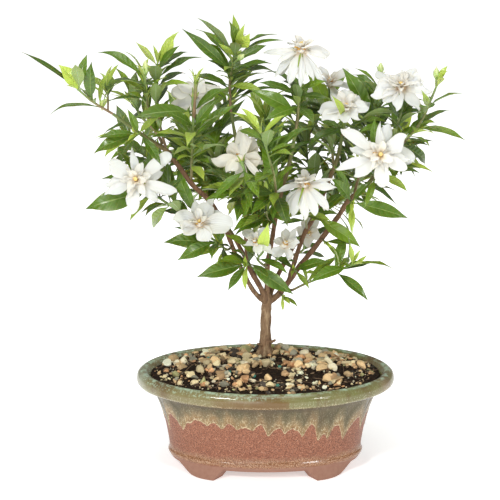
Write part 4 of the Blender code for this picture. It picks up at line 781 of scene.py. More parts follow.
class Blade:
    """A leaf or a petal: an arc from base to tip, with a width at each place and edges that fold up."""

    def __init__(self, base, tip, normal, width, arch, fold, widths):
        self.base = base
        self.chord = tip - base
        self.length = self.chord.length
        self.along = self.chord.normalized()
        self.up = (normal - self.along * normal.dot(self.along)).normalized()
        self.side = self.along.cross(self.up)
        self.half_width = width / 2
        self.arch = arch
        self.fold = fold
        self.widths = widths

    def normal(self, u):
        turn = self.arch * (0.5 - u)
        return self.up * math.cos(turn) - self.along * math.sin(turn)

    def point(self, u, v):
        """The point at u from base to tip and v from one edge (-1) to the other (1)."""
        turn = self.arch * (0.5 - u)
        radius = self.length / (2 * math.sin(self.arch / 2))
        middle = self.base + self.along * (radius * (math.sin(self.arch / 2) - math.sin(turn)))
        middle += self.up * (radius * (math.cos(turn) - math.cos(self.arch / 2)))
        half = max(self.half_width * self.widths(u), ROOT_HALF_WIDTH)
        lift = abs(v) * half * math.sin(self.fold)
        return middle + self.side * (v * half * math.cos(self.fold)) + self.normal(u) * lift

    def rings(self, stations, thickness, grow=0.0):
        """Three-sided sections with a keel under the fold, anticlockwise seen from the tip."""
        rings = []
        for u in stations:
            above = self.normal(u) * math.copysign(1.0, self.fold)
            left = self.point(u, -1) + (above - self.side) * grow
            right = self.point(u, 1) + (above + self.side) * grow
            keel = self.point(u, 0) - above * (thickness / 2 + grow)
            rings.append([left, right, keel] if self.fold > 0 else [left, keel, right])
        return rings

    def solid(self, stations, thickness, grow=0.0, start=0.0):
        """The blade as a thin closed solid, optionally grown all round, and from start on only."""
        rings = self.rings([max(u, start) for u in stations], thickness, grow)
        return ring_solid(rings, self.point(1.0, 0.0) + self.along * grow)


class Thicket:
    """Everything placed so far, so that each new piece can be kept clear of it."""

    def __init__(self):
        self.placed = []

    def add(self, owner, solid, own_solid=None):
        """own_solid is what pieces of the same owner keep clear of, or None where they may touch."""
        self.placed.append((owner, boxed(solid), boxed(own_solid) if own_solid else None))

    def blocks(self, owner, probe, own_probe=None):
        probe = boxed(probe)
        own_probe = boxed(own_probe) if own_probe else None
        for other, theirs, own in self.placed:
            if other != owner:
                if crosses(probe, theirs):
                    return other
            elif own and own_probe and crosses(own_probe, own):
                return other
        return None


def boxed(solid):
    points, faces = solid
    low = Vector([min(point[axis] for point in points) for axis in range(3)])
    high = Vector([max(point[axis] for point in points) for axis in range(3)])
    return low, high, BVHTree.FromPolygons(points, faces)


def crosses(one, other):
    for axis in range(3):
        if one[1][axis] < other[0][axis] or other[1][axis] < one[0][axis]:
            return False
    return bool(one[2].overlap(other[2]))


def inside_outline(across, up):
    inside = False
    corners = CROWN_OUTLINE
    for (x1, z1), (x2, z2) in zip(corners, corners[1:] + corners[:1]):
        if (z1 > up) != (z2 > up) and across < (x2 - x1) * (up - z1) / (z2 - z1) + x1:
            inside = not inside
    return inside


def hides_a_bloom(points):
    for bloom in BLOOMS.values():
        across, up, depth = bloom["at"]
        radius = BLOOM_SIGHT_RADIUS * bloom["size"]
        for point in points:
            x, z = seen_at(point)
            if point.y < depth + BLOOM_SIGHT_DEPTH and math.hypot(x - across, z - up) < radius:
                return True
    return False


def steps_of(points):
    """The lengths of a path's steps."""
    return [(after - before).length for before, after in zip(points, points[1:])]


def along_path(points, share):
    """The point and direction at this share of a path's length."""
    lengths = steps_of(points)
    left = share * sum(lengths)
    for before, after, length in zip(points, points[1:], lengths):
        if left <= length or after is points[-1]:
            return before + (after - before) * min(left / length, 1.0), (after - before).normalized()
        left -= length


class Stem:
    """One stem: a four-sided surface with short collars, whose faces the leaves grow from."""

    def __init__(self, points, radii, shares):
        self.points = points
        self.radii = radii
        self.leaves = []
        self.buds = []
        self.bloom = None
        lengths = [0.0]
        for step in steps_of(points):
            lengths.append(lengths[-1] + step)
        self.length = lengths[-1]
        wanted = sorted(min(max(share * self.length, COLLAR_CLEAR), self.length - COLLAR) for share in shares)
        self.collars = []
        middles = []
        for middle in wanted:
            if not middles or middle - middles[-1] > COLLAR_SPACING:
                middles.append(middle)
        stations = []
        for distance, radius in zip(lengths, radii):
            clear = all(abs(distance - middle) > COLLAR_CLEAR for middle in middles)
            if clear or distance in (0.0, self.length):
                stations.append((distance, radius, False))
        for middle in middles:
            for side in (-0.5, 0.5):
                distance = middle + side * COLLAR
                stations.append((distance, self.radius_at(distance, lengths, radii), side < 0))
        stations.sort()
        places = [along_path(points, distance / self.length)[0] for distance, _, _ in stations]
        rings = tube_rings(places, [radius for _, radius, _ in stations], STEM_SIDES)
        self.surface = Surface()
        loops = [self.surface.ring(ring) for ring in rings]
        self.surface.close(loops[0][::-1])
        for index, (first, second) in enumerate(zip(loops, loops[1:])):
            if stations[index][2]:
                self.collars.append((stations[index][0], self.surface.band(first, second)))
            else:
                self.surface.bridge(first, second)
        self.surface.close(loops[-1])
        self.collars.append((self.length, [tuple(loops[-1])]))

    def radius_at(self, distance, lengths, radii):
        for index in range(len(lengths) - 1):
            if distance <= lengths[index + 1]:
                share = (distance - lengths[index]) / (lengths[index + 1] - lengths[index])
                return radii[index] + (radii[index + 1] - radii[index]) * share
        return radii[-1]

    def middle_of(self, face):
        corners = [self.surface.points[index] for index in face]
        return sum(corners, Vector()) / len(corners)

    def outward(self, face):
        first, second, third = [self.surface.points[index] for index in face[:3]]
        return (second - first).cross(third - second).normalized()

    def free_faces(self, share, way):
        """The collar faces near this share of the stem, those that look most nearly this way first."""
        found = []
        for distance, faces in self.collars:
            away = abs(distance - share * self.length)
            if away > COLLAR_REACH:
                continue
            for face in faces:
                looks = self.outward(face).dot(way)
                if face in self.surface.faces and looks > LEAST_LOOK:
                    found.append((away * SLIDE_COST - looks, face))
        return [face for _, face in sorted(found)[:FACES_TRIED]]


# How the rule's leaves grow: their lengths and how far they lean from the stem in degrees, how much they
# arch, how far a pair strays from square to the last, and which way their upper sides look
YOUNG_GROWTH = ((24.0, 31.0), (28.0, 40.0))
FULL_GROWTH = ((32.0, 42.0), (45.0, 65.0))
SAGS = (0.35, 0.7)
ARCH_STRAY = 0.12
PAIR_STRAY = 0.3
STEMWARD = 0.6
TO_LIGHT = Vector((0.0, -0.25, 0.9))
EDGE_ON = 0.97
LEAF_SAMPLES = (0.45, 0.75, 1.0)

# What a named leaf tries in turn to get clear, as (further back, further turned), then what a rule's leaf
# tries, as (swung round the stem, shorter)
NUDGES = (
    (0, 0), (-6, 0), (6, 0), (-6, 15), (6, 15), (-12, 0), (12, 0), (-12, -15), (12, -15), (0, 25), (0, -25),
    (-20, 0), (20, 0), (-20, 20), (20, -20), (-28, 0), (28, 0),
)
SWINGS = (
    (0.0, 1.0), (0.35, 1.0), (-0.35, 1.0), (0.7, 0.95), (-0.7, 0.95), (0.35, 0.8), (-0.35, 0.8), (1.05, 0.8),
    (-1.05, 0.8),
)


class Plant:
    """Grows the wood, the blooms and the sprays in a fixed order, each clear of what stands there already."""

    def __init__(self):
        self.draw = random.Random(SEED)
        self.thicket = Thicket()
        self.wood = []
        self.blooms = {}
        self.sprays = {}

    def grow(self):
        for name, limb in LIMBS.items():
            points = [spot(*place[:3]) for place in limb]
            radii = [place[3] for place in limb]
            solid = tube(points, radii, TRUNK_SIDES if name == "trunk" else LIMB_SIDES)
            self.wood.append((points, radii))
            self.thicket.add("wood", solid)
        for name, bloom in BLOOMS.items():
            self.open_bloom(name, bloom)
        for name, plans in SPRAYS.items():
            self.sprays[name] = []
            for plan in plans:
                self.raise_stem(name, plan)
        for leaf_out in (self.hang_named_leaves, self.fill_with_pairs):
            for name, stems in self.sprays.items():
                for stem, plan in zip(stems, SPRAYS[name]):
                    leaf_out(name, stem, plan)

    def open_bloom(self, name, bloom):
        """A hub in three bands, with a petal pulled out of each face of each band."""
        centre = spot(*bloom["at"])
        axis = Vector(bloom["faces"]).normalized()
        size = bloom["size"]
        first, second = across_pair(axis)
        second = axis.cross(first)
        hub = Surface()
        grown = 0
        petals = []
        counts = (*bloom["petals"], INNER_PETALS)
        openings = (*bloom["opening"], INNER_OPENING)
        loop = None
        for number, (count, opening) in enumerate(zip(counts, openings)):
            length, arch, fold, stations = PETAL_LAYERS[number]
            low, high = HUB_BANDS[number]
            start = math.radians(bloom["spin"]) + LAYER_TURN * grown
            edges = [start + TURN * (side - 0.5) / count for side in range(count)]
            loops = []
            for height, radius in (low, high):
                ring = [centre + axis * height + heading(first, second, turn) * radius for turn in edges]
                loops.append(hub.ring(ring))
            if loop is None:
                hub.close(loops[0][::-1])
            else:
                hub.bridge(loop, loops[0])
            for index, face in enumerate(hub.band(*loops)):
                turn = start + TURN * index / count
                open_by = math.radians(opening + self.draw.uniform(-OPENING_STRAY, OPENING_STRAY))
                reach = length * size * self.draw.uniform(*PETAL_REACHES)
                twist = math.radians(self.draw.uniform(*PETAL_TWISTS))
                out = heading(first, second, turn)
                root = sum((hub.points[corner] for corner in face), Vector()) / 4
                for shorter in SHORTER_PETALS:
                    along = heading(axis, out, open_by)
                    normal = axis * math.sin(open_by) - out * math.cos(open_by)
                    normal += along.cross(normal) * math.sin(twist)
                    tip = root + along * (reach * shorter)
                    petal = Blade(root, tip, normal, reach * PETAL_WIDTH, arch, fold, petal_width)
                    probe = petal.solid((0.0, *stations), PETAL_THICKNESS, CLEARANCE)
                    own_probe = petal.solid((0.0, *stations), PETAL_THICKNESS, OWN_CLEARANCE, PETAL_ROOT)
                    rings = petal.rings(stations, PETAL_THICKNESS)
                    spoilt = hub.spoilt_by(face, rings, petal.point(1.0, 0.0))
                    if not spoilt and not self.thicket.blocks(name, probe, own_probe):
                        hub.pull(face, rings, petal.point(1.0, 0.0))
                        solid = petal.solid((0.0, *stations), PETAL_THICKNESS)
                        own = petal.solid((0.0, *stations), PETAL_THICKNESS, start=PETAL_ROOT)
                        self.thicket.add(name, solid, own)
                        petals.append((petal, number))
                        grown += 1
                        break
                    twist += FURTHER_TWIST
            loop = loops[1]
        hub.close(loop)
        self.thicket.add(name, turned(centre, axis, HUB_BANDS[0] + HUB_BANDS[1] + HUB_BANDS[2], STIGMA_SIDES))
        stigma = turned(centre, axis, STIGMA, STIGMA_SIDES)
        self.thicket.add(name, stigma)
        self.blooms[name] = dict(bloom, centre=centre, axis=axis, petals=petals)

    def raise_stem(self, spray, plan):
        """A stem with a collar for each leaf, its foot drawn back until it is clear of what carries it."""
        points = [spot(*place) for place in plan["path"]]
        radii = [
            plan["radii"][0] + (plan["radii"][1] - plan["radii"][0]) * index / (len(points) - 1)
            for index in range(len(points))
        ]
        if not self.sprays[spray]:
            foot = points[0]
            step = (points[1] - points[0]).normalized()
            for back in range(1, FOOT_STEPS):
                points[0] = foot + step * (GAP * back)
                near = tube([points[0], points[0] + step * FOOT_PROBE], [radii[0] + GAP] * 2, STEM_SIDES)
                if not self.thicket.blocks(spray, near):
                    break
        length = sum(steps_of(points))
        bloom = self.blooms.get(plan.get("bloom"))
        if bloom:
            for below, radius in CALYX:
                points.append(bloom["centre"] - bloom["axis"] * (below + CALYX_GAP))
                radii.append(radius)
        full = sum(steps_of(points))
        shares = [leaf[0] for leaf in plan.get("leaves", ())] + [bud[0] for bud in plan.get("buds", ())]
        pairs = 0 if plan["bare"] >= 1 else int(length * (1 - plan["bare"]) / PAIR_SPACING)
        if plan["bare"] < 1:
            shares += [plan["bare"] + (1 - plan["bare"]) * pair / max(pairs, 1) for pair in range(pairs + 1)]
        plan["shrink"] = length / full
        plan["pairs"] = pairs
        stem = Stem(points, radii, [share * length / full for share in shares])
        stem.bloom = bloom
        self.sprays[spray].append(stem)
        solid = tube(points, radii, STEM_SIDES)
        self.thicket.add(spray, solid, solid)

    def set_bud(self, spray, stem, share, tip):
        way = (tip - along_path(stem.points, share)[0]).normalized()
        for face in stem.free_faces(share, way):
            base = stem.middle_of(face)
            places = [base.lerp(tip, along) for along, _ in BUD]
            rings = tube_rings(places, [radius for _, radius in BUD], STEM_SIDES)
            probe = tube(places + [tip], [radius + CLEARANCE for _, radius in BUD] + [CLEARANCE], STEM_SIDES)
            if self.thicket.blocks(spray, probe) or stem.surface.spoilt_by(face, rings, tip):
                continue
            stem.surface.pull(face, rings, tip)
            stem.buds.append((base, tip))
            solid = tube(places + [tip], [radius for _, radius in BUD] + [BUD_TIP], STEM_SIDES)
            self.thicket.add(spray, solid, solid)
            return

    def try_leaf(self, spray, stem, face, leaf):
        """Grows the leaf out of this face if it is clear of everything, and says whether it did."""
        stations = (0.0, *LEAF_STATIONS)
        probe = leaf.solid(stations, LEAF_THICKNESS, CLEARANCE)
        own_probe = leaf.solid(stations, LEAF_THICKNESS, OWN_CLEARANCE, LEAF_ROOT)
        rings = leaf.rings(LEAF_STATIONS, LEAF_THICKNESS)
        tip = leaf.point(1.0, 0.0)
        if self.thicket.blocks(spray, probe, own_probe) or stem.surface.spoilt_by(face, rings, tip):
            return False
        stem.surface.pull(face, rings, tip)
        stem.leaves.append(leaf)
        own = leaf.solid(stations, LEAF_THICKNESS, start=LEAF_ROOT)
        self.thicket.add(spray, leaf.solid(stations, LEAF_THICKNESS), own)
        return True

    def hang_named_leaves(self, spray, stem, plan):
        for share, across, up, depth, roll, age in plan.get("leaves", ()):
            share *= plan["shrink"]
            way = (spot(across, up, depth) - along_path(stem.points, share)[0]).normalized()
            faces = stem.free_faces(share, way)
            arch = LEAF_ARCH + self.draw.uniform(-ARCH_STRAY, ARCH_STRAY)
            for face, (push, turn) in ((face, nudge) for nudge in NUDGES for face in faces):
                tip = spot(across, up, depth + push)
                leaf = self.turned_leaf(stem.middle_of(face), tip, roll + turn, LEAF_WIDTHS[age], arch)
                leaf.age = age
                if self.try_leaf(spray, stem, face, leaf):
                    break
        for share, *tip in plan.get("buds", ()):
            self.set_bud(spray, stem, share * plan["shrink"], spot(*tip))

    def turned_leaf(self, base, tip, roll, width, arch):
        """A leaf whose upper side is turned this many degrees from the viewer."""
        along = (tip - base).normalized()
        to_eye = (EYE - base).normalized()
        towards = (to_eye - along * to_eye.dot(along)).normalized()
        aside = along.cross(towards)
        if aside.z < 0:
            aside = -aside
        turn = math.radians(roll)
        normal = heading(towards, aside, turn)
        length = (tip - base).length
        return Blade(base, tip, normal, length * width, arch, LEAF_FOLD, leaf_width)

    def fill_with_pairs(self, spray, stem, plan):
        """Pairs of leaves up the stem, each pair a quarter turn on from the last."""
        if plan["bare"] >= 1:
            return
        pairs = plan["pairs"]
        for pair in range(pairs + 1):
            share = (plan["bare"] + (1 - plan["bare"]) * pair / max(pairs, 1)) * plan["shrink"]
            _, tangent = along_path(stem.points, share)
            first, second = across_pair(tangent)
            quarter = math.pi / 2 * pair + self.draw.uniform(-PAIR_STRAY, PAIR_STRAY)
            young = pair == pairs and not plan.get("bloom")
            for half in (0, math.pi):
                out = heading(first, second, quarter + half)
                self.fill_leaf(spray, stem, share, tangent, out, young)

    def fill_leaf(self, spray, stem, share, tangent, out, young):
        lengths, leans = YOUNG_GROWTH if young else FULL_GROWTH
        length = self.draw.uniform(*lengths)
        lean = math.radians(self.draw.uniform(*leans))
        sag = self.draw.uniform(*SAGS)
        age = YOUNG if young else self.draw.choice((OLD, OLD, MID))
        aside = tangent.cross(out)
        faces = stem.free_faces(share, out)
        for face, (swing, shorter) in ((face, swing) for swing in SWINGS for face in faces):
            base = stem.middle_of(face)
            swung = heading(out, aside, swing)
            way = heading(tangent, swung, lean)
            tip = base + way * (length * shorter)
            normal = tangent * STEMWARD + TO_LIGHT
            if abs(normal.normalized().dot(way)) > EDGE_ON:
                continue
            leaf = Blade(base, tip, normal, length * shorter * LEAF_WIDTHS[age], sag, LEAF_FOLD, leaf_width)
            leaf.age = age
            sample = [leaf.point(u, 0) for u in LEAF_SAMPLES]
            if not CROWN_DEPTHS[0] < tip.y < CROWN_DEPTHS[1]:
                continue
            if not all(inside_outline(*seen_at(point)) for point in sample):
                continue
            if hides_a_bloom(sample):
                continue
            if self.try_leaf(spray, stem, face, leaf):
                return


def oval(inwards, turn, share=1.0):
    """The place this share of the way out to an oval that lies this far in from the pot's lip."""
    x = share * (POT_HALF_LENGTH - inwards) * math.cos(turn)
    y = share * (POT_HALF_DEPTH - inwards) * math.sin(turn)
    return x, y


def soil_share(x, y):
    """How far out a place on the soil lies: 0 in its middle and 1 at its edge."""
    return math.hypot(x / (POT_HALF_LENGTH - SOIL_EDGE), y / (POT_HALF_DEPTH - SOIL_EDGE))


def soil_height(x, y):
    """The soil's top, mounded round the trunk, with a slow swell."""
    (wide, start), (deep, onset), (across, back) = SOIL_SWELLS
    swell = math.sin(x * wide + start) * math.sin(y * deep + onset) + 0.6 * math.sin(x * across - y * back)
    return SOIL_RIM + SOIL_MOUND * max(1 - soil_share(x, y) ** SOIL_FULLNESS, 0.0) + SOIL_ROUGHNESS * swell


def spot_on_frame():
    """Where the middle of the pot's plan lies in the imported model, in millimetres."""
    low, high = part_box("pot")
    foot = Vector(((low.x + high.x) / 2, (low.y + high.y) / 2, low.z))
    return foot / MM - Vector((0.0, 0.0, FOOT_SECTIONS[0][0]))


SHIFT = spot_on_frame()


def step_between(low, high, value):
    """0 below low, 1 above high and a soft step between."""
    share = min(max((value - low) / (high - low), 0.0), 1.0)
    return share * share * (3 - 2 * share)


def through(points, share):
    """A smooth curve through a list of vectors or numbers, at a share of its length in steps."""
    place = min(max(share, 0.0), 1.0) * (len(points) - 1)
    index = min(int(place), len(points) - 2)
    t = place - index
    before, here = points[max(index - 1, 0)], points[index]
    after, beyond = points[index + 1], points[min(index + 2, len(points) - 1)]
    return (
        here * 2 + (after - before) * t + (before * 2 - here * 5 + after * 4 - beyond) * t**2
        + (here * 3 - before - after * 3 + beyond) * t**3
    ) * 0.5


class Shape:
    """One piece as it is made: points, faces with their materials, and marks that the materials read."""

    def __init__(self):
        self.points = []
        self.faces = []
        self.looks = []
        self.marks = []
        self.ages = []

    def loops(self, rings, marks, age, looks, closed=True):
        """Joins closed rings of points. looks says which material each side of a ring has."""
        start = len(self.points)
        count = len(rings[0])
        for ring, ring_marks in zip(rings, marks):
            self.points.extend(ring)
            self.marks.extend(ring_marks)
        self.ages.extend([age] * (count * len(rings)))
        for base in range(start, start + count * (len(rings) - 1), count):
            for side in range(count):
                here, following = base + side, base + (side + 1) % count
                self.faces.append((here, following, following + count, here + count))
                self.looks.append(looks[side])
        if closed:
            last = start + count * (len(rings) - 1)
            self.faces.append(tuple(range(start + count - 1, start - 1, -1)))
            self.faces.append(tuple(range(last, last + count)))
            self.looks.extend([looks[0]] * 2)

    def turned(self, rows, sides, place, age, look):
        """A closed skin of rows and sides, through place(share, turn) -> (point, mark)."""
        rings, marks = [], []
        for row in range(rows + 1):
            places = [place(row / rows, turn) for turn in around(sides)]
            rings.append([point for point, _ in places])
            marks.append([mark for _, mark in places])
        self.loops(rings, marks, age, [look] * sides)

    def tube(self, points, radii, sides, age=0.0, tint=0.5, look=0):
        rings = tube_rings(points, radii, sides)
        last = len(rings) - 1
        marks = [[(row / last, side / sides, tint) for side in range(sides)] for row in range(last + 1)]
        self.loops(rings, marks, age, [look] * sides)

    def sheet(self, place, stations, across, thickness, tint, age, looks):
        """A thin solid whose two sides meet at its edges, through place(u, v) -> (point, normal)."""
        way = [(v, 1) for v in across] + [(v, -1) for v in across[-2:0:-1]]
        rings = []
        for u in stations:
            ring = []
            for v, side in way:
                point, normal = place(u, v)
                ring.append(point + normal * (side * thickness(u) / 2 * math.sqrt(1 - v * v)))
            rings.append(ring)
        marks = [[(u, v, tint) for v, _ in way] for u in stations]
        above = len(across) - 1
        self.loops(rings, marks, age, [looks[0]] * above + [looks[1]] * (len(way) - above))

    def piece(self, name, materials, node, sharp=None, smooth=True):
        """The finished object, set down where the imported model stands, riding on it and replacing a node."""
        mesh = bpy.data.meshes.new(name)
        mesh.from_pydata([(point + SHIFT) * MM for point in self.points], [], self.faces)
        for material in materials:
            mesh.materials.append(material)
        mesh.polygons.foreach_set("material_index", self.looks)
        mesh.polygons.foreach_set("use_smooth", [smooth] * len(self.faces))
        layer = mesh.attributes.new("marks", "FLOAT_VECTOR", "POINT")
        layer.data.foreach_set("vector", [number for mark in self.marks for number in mark])
        mesh.attributes.new("age", "FLOAT", "POINT").data.foreach_set("value", self.ages)
        mesh.validate()
        mesh.update()
        if sharp is not None:
            mesh.set_sharp_from_angle(angle=math.radians(sharp))
        set_down(name, mesh, node)


def set_down(name, mesh, node):
    obj = bpy.data.objects.new(name, mesh)
    bpy.context.scene.collection.objects.link(obj)
    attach(obj, "root")
    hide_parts(node)


class Look:
    """One material's node tree, with short names for what it is made of."""

    def __init__(self, name, **settings):
        self.material = bpy.data.materials.new(name)
        self.material.use_nodes = True
        self.tree = self.material.node_tree
        self.tree.nodes.clear()
        out = self.tree.nodes.new("ShaderNodeOutputMaterial")
        self.shader = self.tree.nodes.new("ShaderNodeBsdfPrincipled")
        self.tree.links.new(self.shader.outputs[0], out.inputs["Surface"])
        self.place = self.tree.nodes.new("ShaderNodeTexCoord").outputs["Object"]
        for socket, value in settings.items():
            self.shader.inputs[socket.replace("_", " ")].default_value = value

    def fill(self, socket, value):
        if isinstance(value, bpy.types.NodeSocket):
            self.tree.links.new(value, socket)
        elif isinstance(value, tuple) and socket.type == "RGBA":
            socket.default_value = (*value, 1.0)
        else:
            socket.default_value = value

    def node(self, kind, values, **settings):
        """A node with its settings, and with values on its sockets by their names or places."""
        node = self.tree.nodes.new("ShaderNode" + kind)
        for name, value in settings.items():
            setattr(node, name, value)
        for socket, value in values.items():
            self.fill(node.inputs[socket], value)
        return node

    def attribute(self, name):
        return self.node("Attribute", {}, attribute_name=name)

    def apart(self, vector):
        return self.node("SeparateXYZ", {0: vector}).outputs

    def marks(self):
        """The three marks of a point, apart."""
        return self.apart(self.attribute("marks").outputs["Vector"])

    def age(self):
        return self.attribute("age").outputs["Fac"]

    def sum(self, operation, first, second=0.0, clamp=False):
        return self.node("Math", {0: first, 1: second}, operation=operation, use_clamp=clamp).outputs[0]

    def times(self, first, second, clamp=False):
        return self.sum("MULTIPLY", first, second, clamp)

    def plus(self, first, second, clamp=False):
        return self.sum("ADD", first, second, clamp)

    def less(self, first, second):
        return self.sum("SUBTRACT", first, second)

    def range(self, value, low, high, to_low=0.0, to_high=1.0, soft=True):
        """The value moved from one range to another, with soft ends or straight."""
        values = {0: value, 1: low, 2: high, 3: to_low, 4: to_high}
        return self.node("MapRange", values, interpolation_type="SMOOTHSTEP" if soft else "LINEAR").outputs[0]

    def mix(self, share, first, second, blend="MIX"):
        values = {0: share, 6: first, 7: second}
        return self.node("Mix", values, data_type="RGBA", blend_type=blend).outputs[2]

    def ramp(self, value, *stops):
        node = self.node("ValToRGB", {0: value})
        elements = node.color_ramp.elements
        while len(elements) < len(stops):
            elements.new(0.5)
        for element, (place, colour) in zip(elements, stops):
            element.position = place
            element.color = (*colour, 1.0)
        return node.outputs[0]

    def upright(self, scale):
        """The place with its height scaled, which draws a pattern out upwards."""
        return self.node("VectorMath", {0: self.place, 1: (1.0, 1.0, scale)}, operation="MULTIPLY").outputs[0]

    def noise(self, scale, detail=4.0, roughness=0.55, place=None, distortion=0.0):
        values = {"Scale": scale, "Detail": detail, "Roughness": roughness, "Distortion": distortion}
        return self.node("TexNoise", {"Vector": place or self.place, **values}).outputs["Fac"]

    def cells(self, scale, place=None):
        return self.node("TexVoronoi", {"Vector": place or self.place, "Scale": scale}).outputs["Distance"]

    def bump(self, height, strength, distance, normal=None):
        values = {"Height": height, "Strength": strength, "Distance": distance}
        if normal is not None:
            values["Normal"] = normal
        return self.node("Bump", values).outputs[0]

    def finish(self, colour, roughness, normal):
        for socket, value in {"Base Color": colour, "Roughness": roughness, "Normal": normal}.items():
            self.fill(self.shader.inputs[socket], value)
        return self.material


# The leaves: the upper sides of grown ones run from dark to light, and young ones are yellow-green. Then how
# many side veins there are on each side of the rib, and how they lean
LEAF_DARK = (0.026, 0.062, 0.004)
LEAF_GREEN = (0.09, 0.185, 0.007)
LEAF_LIGHT = (0.25, 0.37, 0.012)
LEAF_YOUNG = (0.45, 0.58, 0.085)
LEAF_RIB = (0.32, 0.42, 0.1)
LEAF_UNDER = (0.24, 0.3, 0.1)
LEAF_UNDER_YOUNG = (0.46, 0.56, 0.12)
LEAF_UNDER_DARK = (0.15, 0.26, 0.08)
LEAF_UNDER_VEIN = (0.3, 0.4, 0.2)
LEAF_UNDER_RIB = (0.36, 0.45, 0.24)
SIDE_VEINS = 9.0
VEIN_LEAN = 1.1


def vein_lines(look, u, v):
    """How near a point is to a side vein, how near the middle between two, and how far from the rib."""
    aside = look.sum("ABSOLUTE", v)
    run = look.less(look.times(u, SIDE_VEINS), look.times(aside, VEIN_LEAN))
    wave = look.sum("PINGPONG", run, 0.5)
    return look.range(wave, 0.08, 0.0), look.range(wave, 0.0, 0.5), aside


def leaf_upper():
    shine = {"Specular_IOR_Level": 0.3, "Coat_Weight": 0.42, "Coat_Roughness": 0.2}
    look = Look("leaf_upper", Subsurface_Weight=0.05, Subsurface_Scale=0.002, **shine)
    u, v, tint = look.marks()
    age = look.age()
    veins, amid, aside = vein_lines(look, u, v)
    rib = look.range(aside, 0.075, 0.02)
    blotch = look.noise(160.0, 3.0)
    green = look.ramp(
        look.plus(look.times(tint, 0.75), look.times(blotch, 0.3)),
        (0.1, LEAF_DARK), (0.5, LEAF_GREEN), (0.95, LEAF_LIGHT),
    )
    green = look.mix(age, green, LEAF_YOUNG)
    green = look.mix(look.times(veins, 0.1), green, LEAF_RIB)
    edge = look.range(aside, 0.86, 1.0, 0.0, 0.25)
    green = look.mix(edge, green, LEAF_LIGHT)
    green = look.mix(look.times(rib, 0.5), green, LEAF_RIB)
    fine = look.noise(1400.0, 3.0)
    rough = look.range(look.noise(420.0, 3.0), 0.3, 0.75, 0.34, 0.5)
    swell = look.less(amid, look.times(rib, 0.8))
    normal = look.bump(swell, 0.5, 0.0005)
    normal = look.bump(fine, 0.12, 0.0002, normal)
    return look.finish(green, rough, normal)


def leaf_under():
    look = Look("leaf_under", Subsurface_Weight=0.08, Subsurface_Scale=0.002)
    u, v, _ = look.marks()
    age = look.age()
    veins, _, aside = vein_lines(look, u, v)
    rib = look.range(aside, 0.1, 0.02)
    pale = look.mix(look.noise(220.0, 3.0), LEAF_UNDER, LEAF_UNDER_DARK)
    pale = look.mix(age, pale, LEAF_UNDER_YOUNG)
    pale = look.mix(look.times(veins, 0.35), pale, LEAF_UNDER_VEIN)
    pale = look.mix(look.times(rib, 0.8), pale, LEAF_UNDER_RIB)
    rough = look.range(look.noise(500.0, 3.0), 0.3, 0.75, 0.48, 0.62)
    raised = look.plus(look.times(veins, 0.5), rib)
    normal = look.bump(raised, 0.6, 0.0004)
    return look.finish(pale, rough, normal)


# The stems: woody and green, each as its streaks' dark and pale
STEM_BROWN = ((0.15, 0.09, 0.045), (0.3, 0.2, 0.1))
STEM_LEAFY = ((0.12, 0.2, 0.04), (0.22, 0.33, 0.09))

# The buds from their case to their tip, with their ridges and their mottling
BUD_CASE = (0.16, 0.26, 0.05)
BUD_MIDDLE = (0.36, 0.5, 0.12)
BUD_PALE = (0.6, 0.68, 0.3)
BUD_RIDGE = (0.74, 0.78, 0.45)
BUD_MOTTLE = (0.3, 0.42, 0.12)


def stem_look():
    look = Look("green_stem", Subsurface_Weight=0.04, Subsurface_Scale=0.001)
    u, _, _ = look.marks()
    streaks = look.noise(300.0, 4.0, place=look.upright(0.4))
    brown, green = [look.ramp(streaks, (0.3, dark), (0.7, pale)) for dark, pale in (STEM_BROWN, STEM_LEAFY)]
    grown = look.plus(look.age(), look.times(u, 0.6))
    colour = look.mix(look.range(grown, 0.25, 0.8), brown, green)
    rough = look.range(look.noise(700.0, 3.0), 0.3, 0.7, 0.42, 0.62)
    normal = look.bump(look.noise(900.0, 5.0), 0.35, 0.0004)
    return look.finish(colour, rough, normal)


def bud_look():
    look = Look("flower_bud", Subsurface_Weight=0.15, Subsurface_Scale=0.002)
    u, v, _ = look.marks()
    body = look.ramp(u, (0.42, BUD_CASE), (0.62, BUD_MIDDLE), (0.95, BUD_PALE))
    body = look.mix(look.times(look.range(v, 0.0, 1.0), 0.4), body, BUD_RIDGE)
    body = look.mix(look.times(look.noise(500.0), 0.25), body, BUD_MOTTLE)
    rough = look.range(look.noise(600.0), 0.3, 0.7, 0.34, 0.48)
    normal = look.bump(look.noise(1100.0, 4.0), 0.2, 0.0003)
    return look.finish(body, rough, normal)


PETAL_WHITE = (0.79, 0.785, 0.715)
PETAL_CREAM = (0.82, 0.745, 0.58)
PETAL_THROAT = (0.72, 0.42, 0.12)
PETAL_SHADED = (0.75, 0.735, 0.67)
PETAL_RIM = (0.78, 0.68, 0.45)

# The stigma's gold from foot to tip and the anthers' browns, with the grain on both
STIGMA_GOLD = ((0.0, (0.72, 0.62, 0.28)), (0.45, (0.84, 0.62, 0.2)), (1.0, (0.86, 0.66, 0.26)))
ANTHER_BROWN = ((0.35, (0.36, 0.15, 0.02)), (0.65, (0.68, 0.4, 0.1)))
POLLEN = (0.5, 0.24, 0.03)


